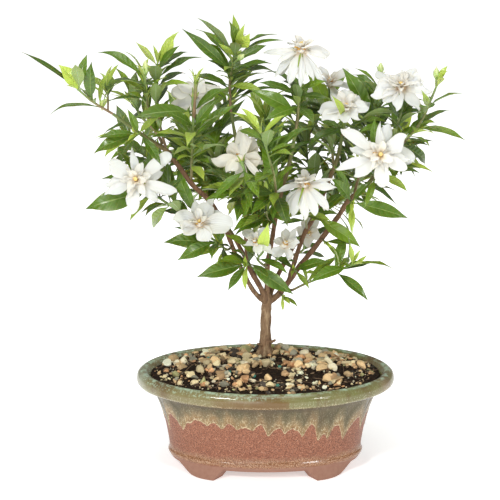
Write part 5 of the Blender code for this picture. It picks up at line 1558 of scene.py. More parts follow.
def petal_look():
    look = Look("petal", Subsurface_Weight=0.45, Subsurface_Scale=0.005, Sheen_Weight=0.05)
    look.shader.inputs["Subsurface Radius"].default_value = (1.0, 0.8, 0.55)
    u, v, tint = look.marks()
    age = look.age()
    aside = look.sum("ABSOLUTE", v)
    lines = look.sum("SINE", look.times(v, 34.0))
    fade = look.range(u, 0.95, 0.3, 0.15, 1.0)
    white = look.mix(look.times(look.noise(260.0, 3.0), 0.4), PETAL_WHITE, PETAL_SHADED)
    white = look.mix(age, white, PETAL_CREAM)
    throat = look.plus(look.range(u, 0.3, 0.0, 0.0, 0.5), look.times(age, look.range(u, 0.6, 0.1)))
    white = look.mix(look.times(throat, look.range(tint, 1.5, 1.2)), white, PETAL_THROAT)
    rim = look.times(look.range(aside, 0.85, 1.0), look.times(tint, 0.25, clamp=True))
    white = look.mix(rim, white, PETAL_RIM)
    rough = look.range(look.noise(700.0), 0.3, 0.7, 0.5, 0.66)
    relief = look.plus(look.times(look.times(lines, fade), 0.5), look.noise(500.0))
    normal = look.bump(relief, 0.3, 0.0004)
    return look.finish(white, rough, normal)


def stigma_look():
    look = Look("stigma", Subsurface_Weight=0.1, Subsurface_Scale=0.001)
    u, _, tint = look.marks()
    colour = look.mix(tint, look.ramp(u, *STIGMA_GOLD), look.ramp(look.noise(1500.0), *ANTHER_BROWN))
    grain = look.noise(2600.0, 3.0)
    colour = look.mix(look.times(grain, 0.3), colour, POLLEN)
    return look.finish(colour, look.range(grain, 0.3, 0.7, 0.55, 0.8), look.bump(grain, 0.5, 0.0003))


BARK_OLD = (0.235, 0.142, 0.073)
BARK_DARK = (0.12, 0.07, 0.038)
BARK_PALE = (0.4, 0.28, 0.155)
BARK_RED = (0.215, 0.108, 0.05)
BARK_GREEN = (0.16, 0.2, 0.06)
YOUNG_DARK = (0.12, 0.06, 0.034)
YOUNG_PALE = (0.36, 0.25, 0.16)

# The soil's crumbs from dark to pale and the bits among them, then what stains and flecks the grit, the
# litter's tones and grain, and the pellets' blue-green
SOIL_TONES = ((0.3, (0.005, 0.003, 0.002)), (0.55, (0.024, 0.013, 0.007)), (0.75, (0.085, 0.048, 0.024)))
SOIL_BITS = (0.28, 0.17, 0.09)
STONE_STAIN = (0.6, 0.6, 0.6)
STONE_FLECK = (0.78, 0.65, 0.42)
LITTER_TONES = ((0.0, (0.035, 0.02, 0.012)), (0.5, (0.14, 0.08, 0.045)), (1.0, (0.38, 0.26, 0.15)))
LITTER_GRAIN = (0.06, 0.035, 0.02)
PELLET_TONES = ((0.35, (0.03, 0.16, 0.12)), (0.65, (0.08, 0.3, 0.22)))


def bark_look():
    look = Look("bark")
    age = look.age()
    drawn_out = look.upright(0.28)
    furrows = look.noise(420.0, 6.0, 0.62, place=drawn_out, distortion=0.6)
    plates = look.cells(260.0, place=drawn_out)
    old = look.ramp(furrows, (0.32, BARK_DARK), (0.5, BARK_OLD), (0.7, BARK_PALE))
    young = look.ramp(furrows, (0.3, YOUNG_DARK), (0.6, BARK_RED), (0.85, YOUNG_PALE))
    colour = look.mix(look.range(age, 0.15, 0.5), old, young)
    colour = look.mix(look.range(age, 0.7, 1.0), colour, BARK_GREEN)
    specks = look.range(look.noise(900.0, 2.0), 0.68, 0.74)
    colour = look.mix(look.times(specks, 0.6), colour, BARK_PALE)
    relief = look.plus(furrows, look.times(plates, 0.4))
    normal = look.bump(relief, 0.8, 0.0011)
    normal = look.bump(look.noise(1800.0, 3.0), 0.3, 0.0003, normal)
    return look.finish(colour, look.range(furrows, 0.3, 0.7, 0.9, 0.62), normal)


def soil_look():
    look = Look("soil", Specular_IOR_Level=0.2)
    crumbs = look.noise(600.0, 6.0, 0.65)
    clods = look.cells(420.0)
    dark = look.ramp(crumbs, *SOIL_TONES)
    bits = look.range(look.noise(1500.0, 2.0), 0.66, 0.72)
    dark = look.mix(look.times(bits, 0.7), dark, SOIL_BITS)
    relief = look.plus(crumbs, look.times(clods, 0.8))
    return look.finish(dark, look.range(crumbs, 0.3, 0.7, 0.7, 0.95), look.bump(relief, 1.0, 0.0014))


def stone_look():
    look = Look("grit")
    tone = look.attribute("tone").outputs["Color"]
    grain = look.noise(1300.0, 5.0, 0.65)
    colour = look.mix(look.times(look.range(grain, 0.35, 0.7), 0.4), tone, STONE_STAIN, "MULTIPLY")
    pale = look.range(look.noise(700.0, 3.0), 0.6, 0.72)
    colour = look.mix(look.times(pale, 0.35), colour, STONE_FLECK)
    relief = look.plus(grain, look.noise(300.0, 3.0))
    return look.finish(colour, look.range(grain, 0.3, 0.7, 0.55, 0.85), look.bump(relief, 0.6, 0.0006))


# The finer leaves: where along a leaf its sections lie and how they divide it across, how far its stalk
# reaches and how thick it is
LEAF_ROWS = (0.0, 0.05, 0.1, 0.17, 0.25, 0.34, 0.44, 0.54, 0.64, 0.73, 0.81, 0.88, 0.94, 0.975, 0.998)
LEAF_ACROSS = (-1.0, -0.62, -0.16, 0.0, 0.16, 0.62, 1.0)
STALK = 0.1
STALK_HALF_WIDTH = 0.5
STALK_THINS = (0.3, 1)
STALK_TAPER = 0.75
STALK_WIDENS = (0.0, 0.16)
LEAF_DEEP = 0.34
FINE_LENGTH = 30.0

# A leaf's outline: how far out its belly lies, how full it is, and where and how much its tip narrows
BELLY_OUT = 0.86
BELLY_FULL = 1.08
TIP_NARROWS = (0.7, 0.92)
TIP_TAPER = 0.22
LEAF_FULLER = 0.84

# What varies from leaf to leaf: how high its edges wave and how often, how it twists, how wide its belly is,
# how far its tip curls down and how deeply it is cupped
LEAF_RANGES = {
    "waves": (0.05, 0.16), "count": (1.6, 2.8), "left": ANY_TURN, "right": ANY_TURN, "twist": (-0.3, 0.3),
    "belly": (0.93, 1.1), "curl": (0.0, 0.12), "cup": (0.7, 2.0),
}
TWIST_FROM = 0.3
CUP_ROUND = 0.02
CUP_SUNK = 0.14
CURL_FROM = 0.62
CURL_BEND = 6

# The groove over a leaf's rib: how deep and how wide it is, and where it starts
RIB_GROOVE = 0.16
RIB_WIDE = 0.3
RIB_STARTS = (0.1, 0.3)

# The shade and the age that the materials read, from 0 to 1, by how old a leaf is
TINTS = {OLD: (0.05, 0.6), MID: (0.2, 0.85), YOUNG: (0.5, 1.0)}
AGES = {OLD: (0.0, 0.04), MID: (0.0, 0.14), YOUNG: (0.5, 1.0)}
SMALL_MID_AGES = (0.1, 0.6)


def leaf_outline(u):
    """Half the width of a living leaf at u, as a share of the widest: a stalk, a belly and a fine tip."""
    if u <= STALK:
        return 0.0
    t = (u - STALK) / (1 - STALK)
    return math.sin(math.pi * t**BELLY_OUT) ** BELLY_FULL * (1 - TIP_TAPER * step_between(*TIP_NARROWS, t))


def leaf_place(leaf, draw):
    """Where a point of this living leaf lies, waved and a little twisted."""
    own = drawn(draw, LEAF_RANGES)
    belly = LEAF_FULLER * own.belly
    cup = math.sin(leaf.fold) * own.cup

    def place(u, v):
        normal = leaf.normal(u)
        stalk = STALK_HALF_WIDTH * (1 - STALK_TAPER * step_between(*STALK_THINS, u))
        half = max(leaf.half_width * belly * leaf_outline(u), stalk)
        turn = own.twist * (u - TWIST_FROM)
        side = heading(leaf.side, normal, turn)
        normal = normal * math.cos(turn) - leaf.side * math.sin(turn)
        phase = own.right if v > 0 else own.left
        wave = own.waves * half * v * v * math.sin(TURN * own.count * u + phase)
        lift = half * cup * (math.sqrt(v * v + CUP_ROUND) - CUP_SUNK) + wave
        lift -= RIB_GROOVE * max(1 - abs(v) / RIB_WIDE, 0.0) * step_between(*RIB_STARTS, u) * (1 - u)
        drop = own.curl * leaf.length * max(u - CURL_FROM, 0.0) ** 2 * CURL_BEND
        return leaf.point(u, 0.0) + side * (v * half) + normal * (lift - drop), normal

    return place


def leaf_deep(u):
    return LEAF_DEEP + (2 * STALK_HALF_WIDTH - LEAF_DEEP) * (1 - step_between(*STALK_WIDENS, u))


def add_leaf(shape, leaf, draw, age=None, tint=None):
    """One leaf: material 1 above and 2 below."""
    leaf.half_width *= getattr(leaf, "slimmer", 1.0)
    tint = draw.uniform(*TINTS[leaf.age]) if tint is None else tint
    ages = SMALL_MID_AGES if leaf.age == MID and leaf.length < FINE_LENGTH else AGES[leaf.age]
    age = draw.uniform(*ages) if age is None else age
    tint, age = getattr(leaf, "shown", (tint, age))
    rows = LEAF_ROWS if leaf.length > FINE_LENGTH or hasattr(leaf, "shown") else LEAF_ROWS[::2]
    shape.sheet(leaf_place(leaf, draw), rows, LEAF_ACROSS, leaf_deep, tint, age, (1, 2))


# The stems: how finely they are drawn, how much slimmer than the plain ones and how uneven they are, and how
# much they swell where leaves leave them
STEM_STEP = 2.0
STEM_ROUND = 8
STEM_LEAST_STEPS = 4
STEM_SLIMMER = 0.82
STEM_UNEVEN = (0.94, 1.04)
KNUCKLE = 0.28
KNUCKLE_REACH = 1.6

# How green the foot of a stem is, and of one that carries a flower
STEM_GREEN = 0.2
STALK_GREEN = 0.4


def add_stem(shape, stem, draw):
    """A smooth round stem that swells at each pair of leaves."""
    steps = max(int(stem.length / STEM_STEP), STEM_LEAST_STEPS)
    points, radii = [], []
    for step in range(steps + 1):
        share = step / steps
        points.append(through(stem.points, share))
        near = min(abs(share * stem.length - knuckle) for knuckle, _ in stem.collars)
        swell = 1 + KNUCKLE * max(1 - near / KNUCKLE_REACH, 0.0)
        radii.append(through(stem.radii, share) * STEM_SLIMMER * swell * draw.uniform(*STEM_UNEVEN))
    shape.tube(points, radii, STEM_ROUND, STALK_GREEN if stem.bloom else STEM_GREEN, draw.random())


# Flower buds: (along, radius) of a spindle, how many ridges it has, how far they wind, how proud they are
# and where they start, and the sepals at its foot as (place on it, radius, share of its length, lean)
BUD_SECTION = (
    (0, 0.7), (0.36, 0.8), (0.42, 1), (0.47, 1.5), (0.54, 2.1), (0.64, 2.5), (0.75, 2.3), (0.85, 1.8),
    (0.93, 1.2), (0.98, 0.7), (1, 0.25),
)
BUD_ROWS = 26
BUD_SIDES = 20
BUD_RIDGES = 5
BUD_WIND = 13.6
BUD_PROUD = 0.13
BUD_RIDGES_START = (0.4, 0.55)
BUD_SEPALS = (0.45, 1.5, 0.34, 0.16)

# The sepals: how many stand round a foot, how they vary, what a flower's are as (radius, length, lean), and
# each one's blade as (width, arch, fold), its half width, its taper and its tip, and its tint and age
SEPALS = 5
SEPAL_RANGES = {"turn": (-0.2, 0.2), "lean": (-0.12, 0.25), "reach": (0.8, 1.15)}
FLOWER_SEPALS = (2.0, 8.5, 0.75)
SEPAL_INSIDE = 0.8
SEPAL_FORM = (1.7, 0.35, 0.2)
SEPAL_HALF_WIDTH = 0.75
SEPAL_TAPER = 1.6
SEPAL_TIP = 0.08
SEPAL_ROWS = (0.0, 0.2, 0.45, 0.7, 0.9, 0.995)
SEPAL_ACROSS = (-1.0, 0.0, 1.0)
SEPAL_LOOK = (0.8, 0.35)

# Young growth: small upright leaflets at the end of each shoot, as (length, lean from the stem), how they
# vary, and each one's blade as (arch, fold) and its width for its length
LEAFLETS = ((15.0, 0.4), (13.0, 0.3), (9.0, 0.22), (7.0, 0.16))
LEAFLET_RANGES = {"lean": (-0.05, 0.12), "reach": (0.75, 1.1), "age": (0.75, 1.0), "tint": (0.6, 1.0)}
LEAFLET_FORM = (0.3, 0.5)
LEAFLET_WIDTH = 0.27

# The upright shoot: its brown stub's steps, radius, swell and neck, the sepals under its leaves as (down the
# stub, radius, length, lean), and its leaflets as (down the stub, how large)
STUB_STEPS = 8
STUB_RADIUS = 1.2
STUB_SWELL = (0.3, 1.3)
STUB_NECK = 1.9
SHOOT_SEPALS = (0.6, 1.6, 10.0, 0.5)
SHOOT_LEAFLETS = (1.0, 1.3)


def add_bud(shape, base, tip, draw):
    """A spindle with spiral ridges, and sepals round its foot."""
    along = (tip - base).normalized()
    first, second = across_pair(along)

    def place(share, turn):
        index = max(step for step, (start, _) in enumerate(BUD_SECTION[:-1]) if start <= share)
        (low, thin), (high, thick) = BUD_SECTION[index], BUD_SECTION[index + 1]
        radius = thin + (thick - thin) * step_between(low, high, share)
        ridge = 0.5 + 0.5 * math.cos(BUD_RIDGES * turn + BUD_WIND * share)
        reach = radius * (1 + BUD_PROUD * (ridge - 0.5) * step_between(*BUD_RIDGES_START, share))
        return base.lerp(tip, share) + heading(first, second, turn) * reach, (share, ridge, 0.5)

    shape.turned(BUD_ROWS, BUD_SIDES, place, 0.5, 3)
    where, radius, length, lean = BUD_SEPALS
    add_sepals(shape, base.lerp(tip, where), along, radius, (tip - base).length * length, lean, draw)


def add_sepals(shape, foot, along, radius, length, spread, draw):
    """Narrow green sepals that stand round the foot of a flower or a bud."""
    first, second = across_pair(along)
    start = draw.uniform(*ANY_TURN)
    for sepal in range(SEPALS):
        own = drawn(draw, SEPAL_RANGES)
        out = heading(first, second, start + TURN * sepal / SEPALS + own.turn)
        way = heading(along, out, spread + own.lean)
        base = foot + out * radius * SEPAL_INSIDE
        blade = Blade(base, base + way * (length * own.reach), along * 0.2 - out, *SEPAL_FORM, leaf_width)
        add_sepal(shape, blade)


def add_sepal(shape, blade):
    def place(u, v):
        half = SEPAL_HALF_WIDTH * (1 - u**SEPAL_TAPER) + SEPAL_TIP
        return blade.point(u, 0.0) + blade.side * (v * half), blade.normal(u)

    shape.sheet(place, SEPAL_ROWS, SEPAL_ACROSS, sepal_deep, *SEPAL_LOOK, (1, 1))


def sepal_deep(u):
    return 0.5 - 0.3 * u


def add_shoot(shape, base, tip, draw):
    """A shoot of upright pale leaves on a brown stub."""
    neck = base.lerp(tip, 0.5)
    way = (tip - base).normalized()
    path = [base.lerp(neck, step / STUB_STEPS) for step in range(STUB_STEPS + 1)]
    swell, pace = STUB_SWELL
    radii = [STUB_RADIUS + swell * math.sin(step * pace) for step in range(STUB_STEPS)]
    shape.tube(path, [*radii, STUB_NECK], STEM_ROUND, 0.0, 0.0)
    down, *sepals = SHOOT_SEPALS
    add_sepals(shape, neck - way * down, way, *sepals, draw)
    down, scale = SHOOT_LEAFLETS
    add_leaflets(shape, neck - way * down, way, draw, scale)


def add_leaflets(shape, end, tangent, draw, scale=1.0):
    """Pairs of small leaves round the end of a stem, each pair a quarter turn on from the last."""
    first, second = across_pair(tangent)
    start = draw.uniform(*ANY_TURN)
    for index, (length, lean) in enumerate(LEAFLETS):
        own = drawn(draw, LEAFLET_RANGES)
        out = heading(first, second, start + math.pi * index + math.pi / 2 * (index // 2))
        way = heading(tangent, out, lean + own.lean)
        reach = length * scale * own.reach
        tip = end + way * reach
        leaf = Blade(end, tip, tangent - out * 0.6, reach * LEAFLET_WIDTH, *LEAFLET_FORM, leaf_width)
        leaf.age = YOUNG
        add_leaf(shape, leaf, draw, own.age, own.tint)


# The finer petals: where their sections lie, how thick they are, how wide the foot is and where the widest
# place is, and how sharply the end closes on a pointed petal and on a blunt one
PETAL_ROWS = (0.0, 0.1, 0.2, 0.31, 0.42, 0.53, 0.63, 0.72, 0.8, 0.87, 0.925, 0.965, 0.988, 0.998)
PETAL_ACROSS = (-1.0, -0.82, -0.5, -0.2, 0.0, 0.2, 0.5, 0.82, 1.0)
PETAL_DEEP = 0.5
PETAL_THINS = 0.4
PETAL_FOOT = 0.38
PETAL_WIDEST = 0.66
POINTED_END = 0.9
BLUNT_END = 0.55
BLUNT_FROM = 3
PETAL_LEAST = 0.3

# What varies from petal to petal: how its two edges wave, how far its rim rolls back, the crease down its
# middle, how it leans, how wide and blunt it is, how it twists, the folds along it, how ragged its edges
# are, how its end hooks and how its end slants
PETAL_RANGES = {
    "waves": (0.25, 0.6), "count": (0.8, 1.5), "left": ANY_TURN, "right": ANY_TURN, "roll": (0.05, 0.3),
    "crease": (0.1, 0.3), "lean": (-0.12, 0.12), "fuller": (0.88, 1.1), "blunt": (3.5, 8.0),
    "twist": (-0.45, 0.45), "folds": (2.4, 4.2), "fold_start": ANY_TURN, "fold_depth": (0.08, 0.22),
    "ragged": (0.02, 0.07), "left_ragged": ANY_TURN, "right_ragged": ANY_TURN, "hook": (-0.5, 1.0),
    "slant": (-0.5, 0.5),
}
PETAL_CUP = 0.8
PETAL_TWIST_FROM = 0.2
RAGGED_PACE = 11
ROLL_STARTS = (0.45, 1.0)
WAVE_STARTS = (0.1, 0.5)
CREASE_WIDE = 0.35
CREASE_STARTS = (0.05, 0.3)
HOOK_SHARE = 0.35
HOOK_FROM = 0.6
HOOK_BEND = 6
FOLD_STARTS = (0.15, 0.5)
FOLD_DEEPER = 1.6
SLANT_STARTS = (0.4, 0.95)


def petal_outline(u, blunt):
    """Half the width of a living petal: narrow at its foot, widest near its blunt end."""
    end = BLUNT_END if blunt > BLUNT_FROM else POINTED_END
    widening = PETAL_FOOT + (1 - PETAL_FOOT) * step_between(0.0, PETAL_WIDEST, u)
    return widening * max(1 - u**blunt, 0.0) ** end


def petal_place(petal, draw, cupped=0.0):
    """Where a point of this living petal lies: curved across, its rim rolled back and softly waved."""
    own = drawn(draw, PETAL_RANGES)
    cup = math.sin(petal.fold) * PETAL_CUP + cupped
    blunt = getattr(petal, "blunt", own.blunt)
    loose = getattr(petal, "loose", 0.0)
    hook = own.hook * petal.half_width * HOOK_SHARE

    def place(u, v):
        turn = own.twist * loose * (u - PETAL_TWIST_FROM)
        normal = petal.normal(u)
        side = heading(petal.side, normal, turn)
        normal = normal * math.cos(turn) - petal.side * math.sin(turn)
        phase, ragged = (own.right, own.right_ragged) if v > 0 else (own.left, own.left_ragged)
        half = max(petal.half_width * own.fuller * petal_outline(u, blunt), PETAL_LEAST)
        half *= 1 + own.ragged * math.sin(RAGGED_PACE * u + ragged)
        lift = half * cup * v * v
        lift -= half * own.roll * v * v * step_between(*ROLL_STARTS, u)
        lift += own.waves * math.sin(TURN * own.count * u + phase) * v * v * step_between(*WAVE_STARTS, u)
        lift -= own.crease * max(1 - abs(v) / CREASE_WIDE, 0.0) * step_between(*CREASE_STARTS, u) * (1 - u)
        lift += hook * max(u - HOOK_FROM, 0.0) ** 2 * HOOK_BEND
        fold = math.sin(own.folds * 3 * v + own.fold_start + u)
        lift += own.fold_depth * fold * step_between(*FOLD_STARTS, u) * FOLD_DEEPER
        slant = own.slant * loose * v * (petal.half_width * step_between(*SLANT_STARTS, u))
        middle = petal.point(u, 0.0) + side * (v * half + own.lean * half * u * u)
        return middle + petal.along * slant + normal * lift, normal

    return place


def petal_deep(u):
    return PETAL_DEEP * (1 - PETAL_THINS * u)


def add_petal(shape, petal, draw, cream, cupped=0.0, seen_behind=False):
    tint = draw.random() + (2.0 if seen_behind else 0.0)
    shape.sheet(petal_place(petal, draw, cupped), PETAL_ROWS, PETAL_ACROSS, petal_deep, tint, cream, (0, 0))


# The living petals of each bloom as they are seen, in place of the plain ones that face the viewer: how far
# right of the bloom's middle and above it each tip is, how far it stands towards the viewer, how wide the
# petal is and how blunt
STAR_PETALS = (
    (-2.9, 23.1, -2, 10.5, 2), (25.4, 19.6, 6, 9.5, 9), (18.5, 5.8, -3.5, 10, 4), (29.3, -9.6, 0, 9, 6),
    (16.2, -14.6, -2.5, 11.5, 5), (-4.6, -23.9, 2, 12.5, 7), (-22.3, -10.8, 0, 10.5, 4),
    (-22.5, -2.5, -3, 9.5, 5), (-21.2, 12.3, 1, 13, 8),
)
SHOWN_PETALS = {
    "left": STAR_PETALS, "right": tuple(((-right - 1.9, *rest) for right, *rest in STAR_PETALS)),
    "top": (
        (-26.8, -2.7, 2, 8, 4), (-17.5, -8.5, 6, 7, 5), (19, -7.2, 5, 7.5, 4), (-12.4, 1.3, -6, 5.5, 3),
        (9.8, 0.6, -6, 5.5, 3), (-2.6, 8.4, -3, 5, 2), (-20.3, -20.4, 3, 7, 3.5), (-9.4, -25, 8, 8, 6),
        (0.2, -26.8, 10, 6.5, 3.5), (8.2, -22, 8, 7, 5), (16.8, -25.6, 4, 7, 3.5),
    ),
    "mid_right": (
        (-20.5, -5.2, 3, 7.5, 4), (23.1, -2.6, 3, 9, 7), (22.8, 4.5, -3, 5.5, 2), (-0.7, 8.6, -3, 7, 3.5),
        (-10.9, 1.2, -3, 5.5, 2), (10.2, 1.9, -3, 5.5, 2), (-16.7, -25.7, 4, 7, 3.5),
        (-9.6, -23.1, 7, 7, 5), (-0.5, -25.7, 9, 8, 6), (8.3, -23.1, 8, 8.5, 5), (17.9, -19.2, 4, 7.5, 3.5),
    ),
    "lower_left": (
        (-17.5, 1.5, 1, 20, 6), (-12, -7.5, 6, 15, 5), (-4.5, 18.5, -10, 11, 2), (7.7, 14.1, -5, 15, 5),
        (12.1, 23.7, -11, 9, 2.5), (23.6, -3.9, 5, 20, 6), (17, 5, -3, 13, 5), (6.4, -13.5, 10, 15, 6),
        (-9, 8, -4, 15, 5),
    ),
    "upper_right": (
        (-9.8, 8.6, -2, 12, 6), (9.2, 9.8, -3, 15, 7), (0, 12.5, -6, 12, 5), (20.5, -3.5, 5, 13, 6),
        (-21.2, -5, 5, 15, 7), (-3.9, -16.5, 10, 10, 5), (12, -16, 8, 11, 5), (-14, -11, 8, 11, 5),
        (16, 4, -2, 11, 6), (-17, 2, 1, 12, 5),
    ),
    "upper_mid": (
        (-20, -2, 5, 13, 5), (-15, -9, 9, 12, 5), (-7, 9.5, -4, 12, 5), (1, 12.5, -7, 11, 6),
        (9, 9, -6, 12, 5), (17, 0, 2, 13, 6), (10, -8, 8, 11, 5), (-2, -11, 11, 10, 5),
    ),
    "centre": (
        (2.5, 19.8, 3, 15, 5), (12, 13, -5, 14, 6), (-8, 10, -4, 12, 5), (-18, -2, 1, 13, 6),
        (-9, -11, 4, 11, 5), (17, -18, 4, 8, 2.5), (16, -1, 0, 13, 5),
    ),
    "top_left": (
        (-17, 2, 0, 13, 5), (-9, 8, 5, 12, 6), (7, 9, 8, 13, 5), (16, 5, 6, 13, 6), (15, -8, -3, 13, 5),
        (3, -15, -9, 12, 6), (-12, -10, -8, 12, 5),
    ),
    "low_left": (
        (7.7, 11.5, -3, 8.5, 5), (-9.5, -1.3, 2, 7.5, 5), (1.3, -8.5, 7, 9, 6), (11.5, -6.9, 6, 7.5, 5),
        (-4, 7.5, -3, 8, 4),
    ),
    "low_right": (
        (0, 12.2, -5, 8.5, 5), (9.3, 10.2, -5, 8.5, 5), (-8, -9, 6, 10, 6), (3.9, -11.5, 7, 8.5, 5),
        (10, 0.5, 0, 9, 5), (-8, 4, 0, 8, 4),
    ),
    "low_back": (
        (-3, 13.5, -5, 10.5, 5), (6, 14, -5, 10, 5), (-9, 4, -2, 9, 5), (10, 0, 0, 10, 5),
        (2, -9, 6, 10, 5),
    ),
}

# How far the upper sides of a bloom's petals look towards the viewer, or away from them where the bloom is
# seen from behind
FACING = 0.3
FACINGS = {
    "centre": -1.3, "top_left": -1.1, "low_left": 0.8, "low_right": 0.8, "low_back": 0.9,
    "upper_right": 0.5, "upper_mid": 0.5, "lower_left": 0.6, "top": 0.55, "mid_right": 0.55,
}

# Green sepals that hang between the petals, as (right of the bloom's middle, above it, towards the viewer)
HANGING_SEPALS = {"top": ((-3, -17, 9), (4.2, -21, 8)), "mid_right": ((-5, -16, 8),)}
SEPAL_WIDTH = 1.9

# The small petals round the throat, as (count, length, how far they open, how high on the throat they stand)
FLAT_TUFT = ((6, 12.5, 82.0, 0.6), (5, 7.5, 72.0, 1.4), (4, 4.0, 55.0, 1.8))
UPRIGHT_TUFT = ((5, 9.5, 52.0, 0.9), (3, 8.0, 25.0, 1.2))
FULL_TUFT = ((5, 13.0, 56.0, 0.7), (4, 9.0, 34.0, 1.2))
SMALL_TUFT = ((4, 9.0, 50.0, 0.9),)
TUFTS = {
    "left": FLAT_TUFT, "right": FLAT_TUFT, "top": UPRIGHT_TUFT, "mid_right": UPRIGHT_TUFT,
    "upper_right": FULL_TUFT, "upper_mid": FULL_TUFT, "lower_left": SMALL_TUFT, "low_left": (),
    "low_right": (), "low_back": (), "centre": (), "top_left": (),
}

# How cream a bloom's petals are beyond the common range, and how deeply they are cupped
CREAMY = {"centre": 0.65, "top_left": 0.35}
CUPPED = {
    "lower_left": 0.35, "upper_right": 0.3, "upper_mid": 0.3, "low_left": 0.45, "low_right": 0.45,
    "low_back": 0.3, "centre": -0.4, "top_left": -0.2,
}
SHOWN_CREAMS = (0.0, 0.15)
SHOWN_ARCHES = (0.3, 0.7)
SHOWN_FOLDS = (-0.1, 0.35)
SHOWN_FOOT = (1.8, 0.8)
GROWN_CREAMS = (0.0, 0.18)
INNER_CREAMS = (0.3, 0.6)
INNER_CUP = 0.35
GROWN_WIDER = 1.1
TURNED_AWAY = -6.0

# How the petals of a tuft vary, and each one's blade as (arch, fold) and its width for its length
TUFT_TURNS = (-0.25, 0.25)
TUFT_LEANS = (-9, 9)
TUFT_REACHES = (0.85, 1.12)
TUFT_BLUNT = (2.0, 4.5)
TUFT_CREAMS = (0.15, 0.5)
TUFT_FORM = (0.55, 0.4)
TUFT_WIDTH = 0.56
TUFT_OUT = 0.9
TUFT_LOOSE = 0.8
TUFT_CUP = 0.3
CREAM_BELOW = 6.5
DEEP_CREAM = 0.9

# The white throat under the petals, as (along, radius)
THROAT = ((-4.4, 1.5), (-3.6, 2.2), (-2.0, 2.8), (0.0, 2.9), (1.2, 2.0), (1.8, 0.9))
THROAT_SIDES = 16
THROAT_CREAM = 0.6


def shown_petal(bloom, facing, right, up, towards, wide, blunt, draw):
    """A petal whose tip is seen here from the bloom's middle."""
    centre, axis = bloom["centre"], bloom["axis"]
    to_eye = (EYE - centre).normalized()
    reach = RIGHT * right + RISE * up + to_eye * towards
    out = (reach - axis * reach.dot(axis)).normalized()
    base = centre + out * SHOWN_FOOT[0] - axis * SHOWN_FOOT[1]
    arch, fold = draw.uniform(*SHOWN_ARCHES), draw.uniform(*SHOWN_FOLDS)
    petal = Blade(base, centre + reach, axis + to_eye * facing, wide, arch, fold, petal_width)
    petal.blunt = blunt
    petal.loose = 1.0
    return petal


def add_grown_petals(shape, name, bloom, shown, behind, draw):
    """The petals of the solids that stay, where none is shown in their place."""
    to_eye = (EYE - bloom["centre"]).normalized()
    for blade, layer in bloom["petals"]:
        inner = layer == len(PETAL_LAYERS) - 1
        if inner or not shown or blade.chord.dot(to_eye) < TURNED_AWAY:
            blade.half_width *= GROWN_WIDER
            cream = draw.uniform(*(INNER_CREAMS if inner else GROWN_CREAMS))
            cream += 0.0 if inner else CREAMY.get(name, 0.0)
            add_petal(shape, blade, draw, cream, INNER_CUP if inner else 0.0, behind)


def add_tufts(shape, name, bloom, draw):
    """The small petals round the throat."""
    centre, axis = bloom["centre"], bloom["axis"]
    first, second = across_pair(axis)
    second = axis.cross(first)
    for count, length, opening, height in TUFTS.get(name, SMALL_TUFT):
        start = draw.uniform(*ANY_TURN)
        for index in range(count):
            out = heading(first, second, start + TURN * index / count + draw.uniform(*TUFT_TURNS))
            lean = math.radians(opening + draw.uniform(*TUFT_LEANS))
            root = centre + axis * height + out * TUFT_OUT
            reach = length * bloom["size"] * draw.uniform(*TUFT_REACHES)
            normal = axis * math.sin(lean) - out * math.cos(lean)
            tip = root + heading(axis, out, lean) * reach
            blade = Blade(root, tip, normal, reach * TUFT_WIDTH, *TUFT_FORM, petal_width)
            blade.blunt = draw.uniform(*TUFT_BLUNT)
            blade.loose = TUFT_LOOSE
            cream = DEEP_CREAM if reach < CREAM_BELOW else draw.uniform(*TUFT_CREAMS)
            add_petal(shape, blade, draw, cream, TUFT_CUP)


def add_bloom(name, bloom, draw, petal, leaf):
    centre, axis = bloom["centre"], bloom["axis"]
    shape = Shape()
    points = [centre + axis * along for along, _ in THROAT]
    shape.tube(points, [radius for _, radius in THROAT], THROAT_SIDES, THROAT_CREAM)
    shown = SHOWN_PETALS.get(name, ())
    facing = FACINGS.get(name, FACING)
    behind = facing < 0
    for plan in shown:
        cream = draw.uniform(*SHOWN_CREAMS) + CREAMY.get(name, 0.0)
        add_petal(shape, shown_petal(bloom, facing, *plan, draw), draw, cream, CUPPED.get(name, 0.0), behind)
    add_grown_petals(shape, name, bloom, shown, behind, draw)
    add_tufts(shape, name, bloom, draw)
    for plan in HANGING_SEPALS.get(name, ()):
        add_sepal(shape, shown_petal(bloom, facing, *plan, SEPAL_WIDTH, 2, draw))
    shape.piece(f"petals_{name}", [petal, leaf], f"bloom_{name}_petals", sharp=70)


# The stigma is a fluted club as (along, radius): how far it leans, how slim a short one is, how deep its
# flutes are and where they start, and how long it is for each bloom
CLUB = ((1.2, 0.8), (2.6, 1.0), (4.2, 1.4), (5.6, 1.75), (6.8, 1.6), (7.6, 1.0), (7.9, 0.3))
CLUB_ROWS = 18
CLUB_SIDES = 24
CLUB_LEANS = (-0.22, 0.22)
CLUB_SLIM = 0.4
CLUB_FLUTE = 0.2
CLUB_PACE = 2.5
CLUB_FLUTES_START = (0.2, 0.5)
CLUB_LENGTHS = {"left": 1.0, "right": 1.0, "top": 0.95, "mid_right": 0.95, "upper_right": 0.8}
SHORT_CLUB = 0.55

# The anthers that lie round it: how they vary, their length, where their feet are, and their radii
ANTHERS = 6
ANTHER_RANGES = {"turn": (-0.2, 0.2), "spread": (60, 84), "reach": (0.85, 1.15), "bend": (-1.0, 0.4)}
ANTHER_TINTS = (0.55, 1.0)
ANTHER_LENGTH = 4.6
ANTHER_FOOT = (1.6, 1.0)
ANTHER_RADII = (0.4, 0.6, 0.75, 0.8, 0.8, 0.74, 0.6, 0.42, 0.15)
ANTHER_SIDES = 6


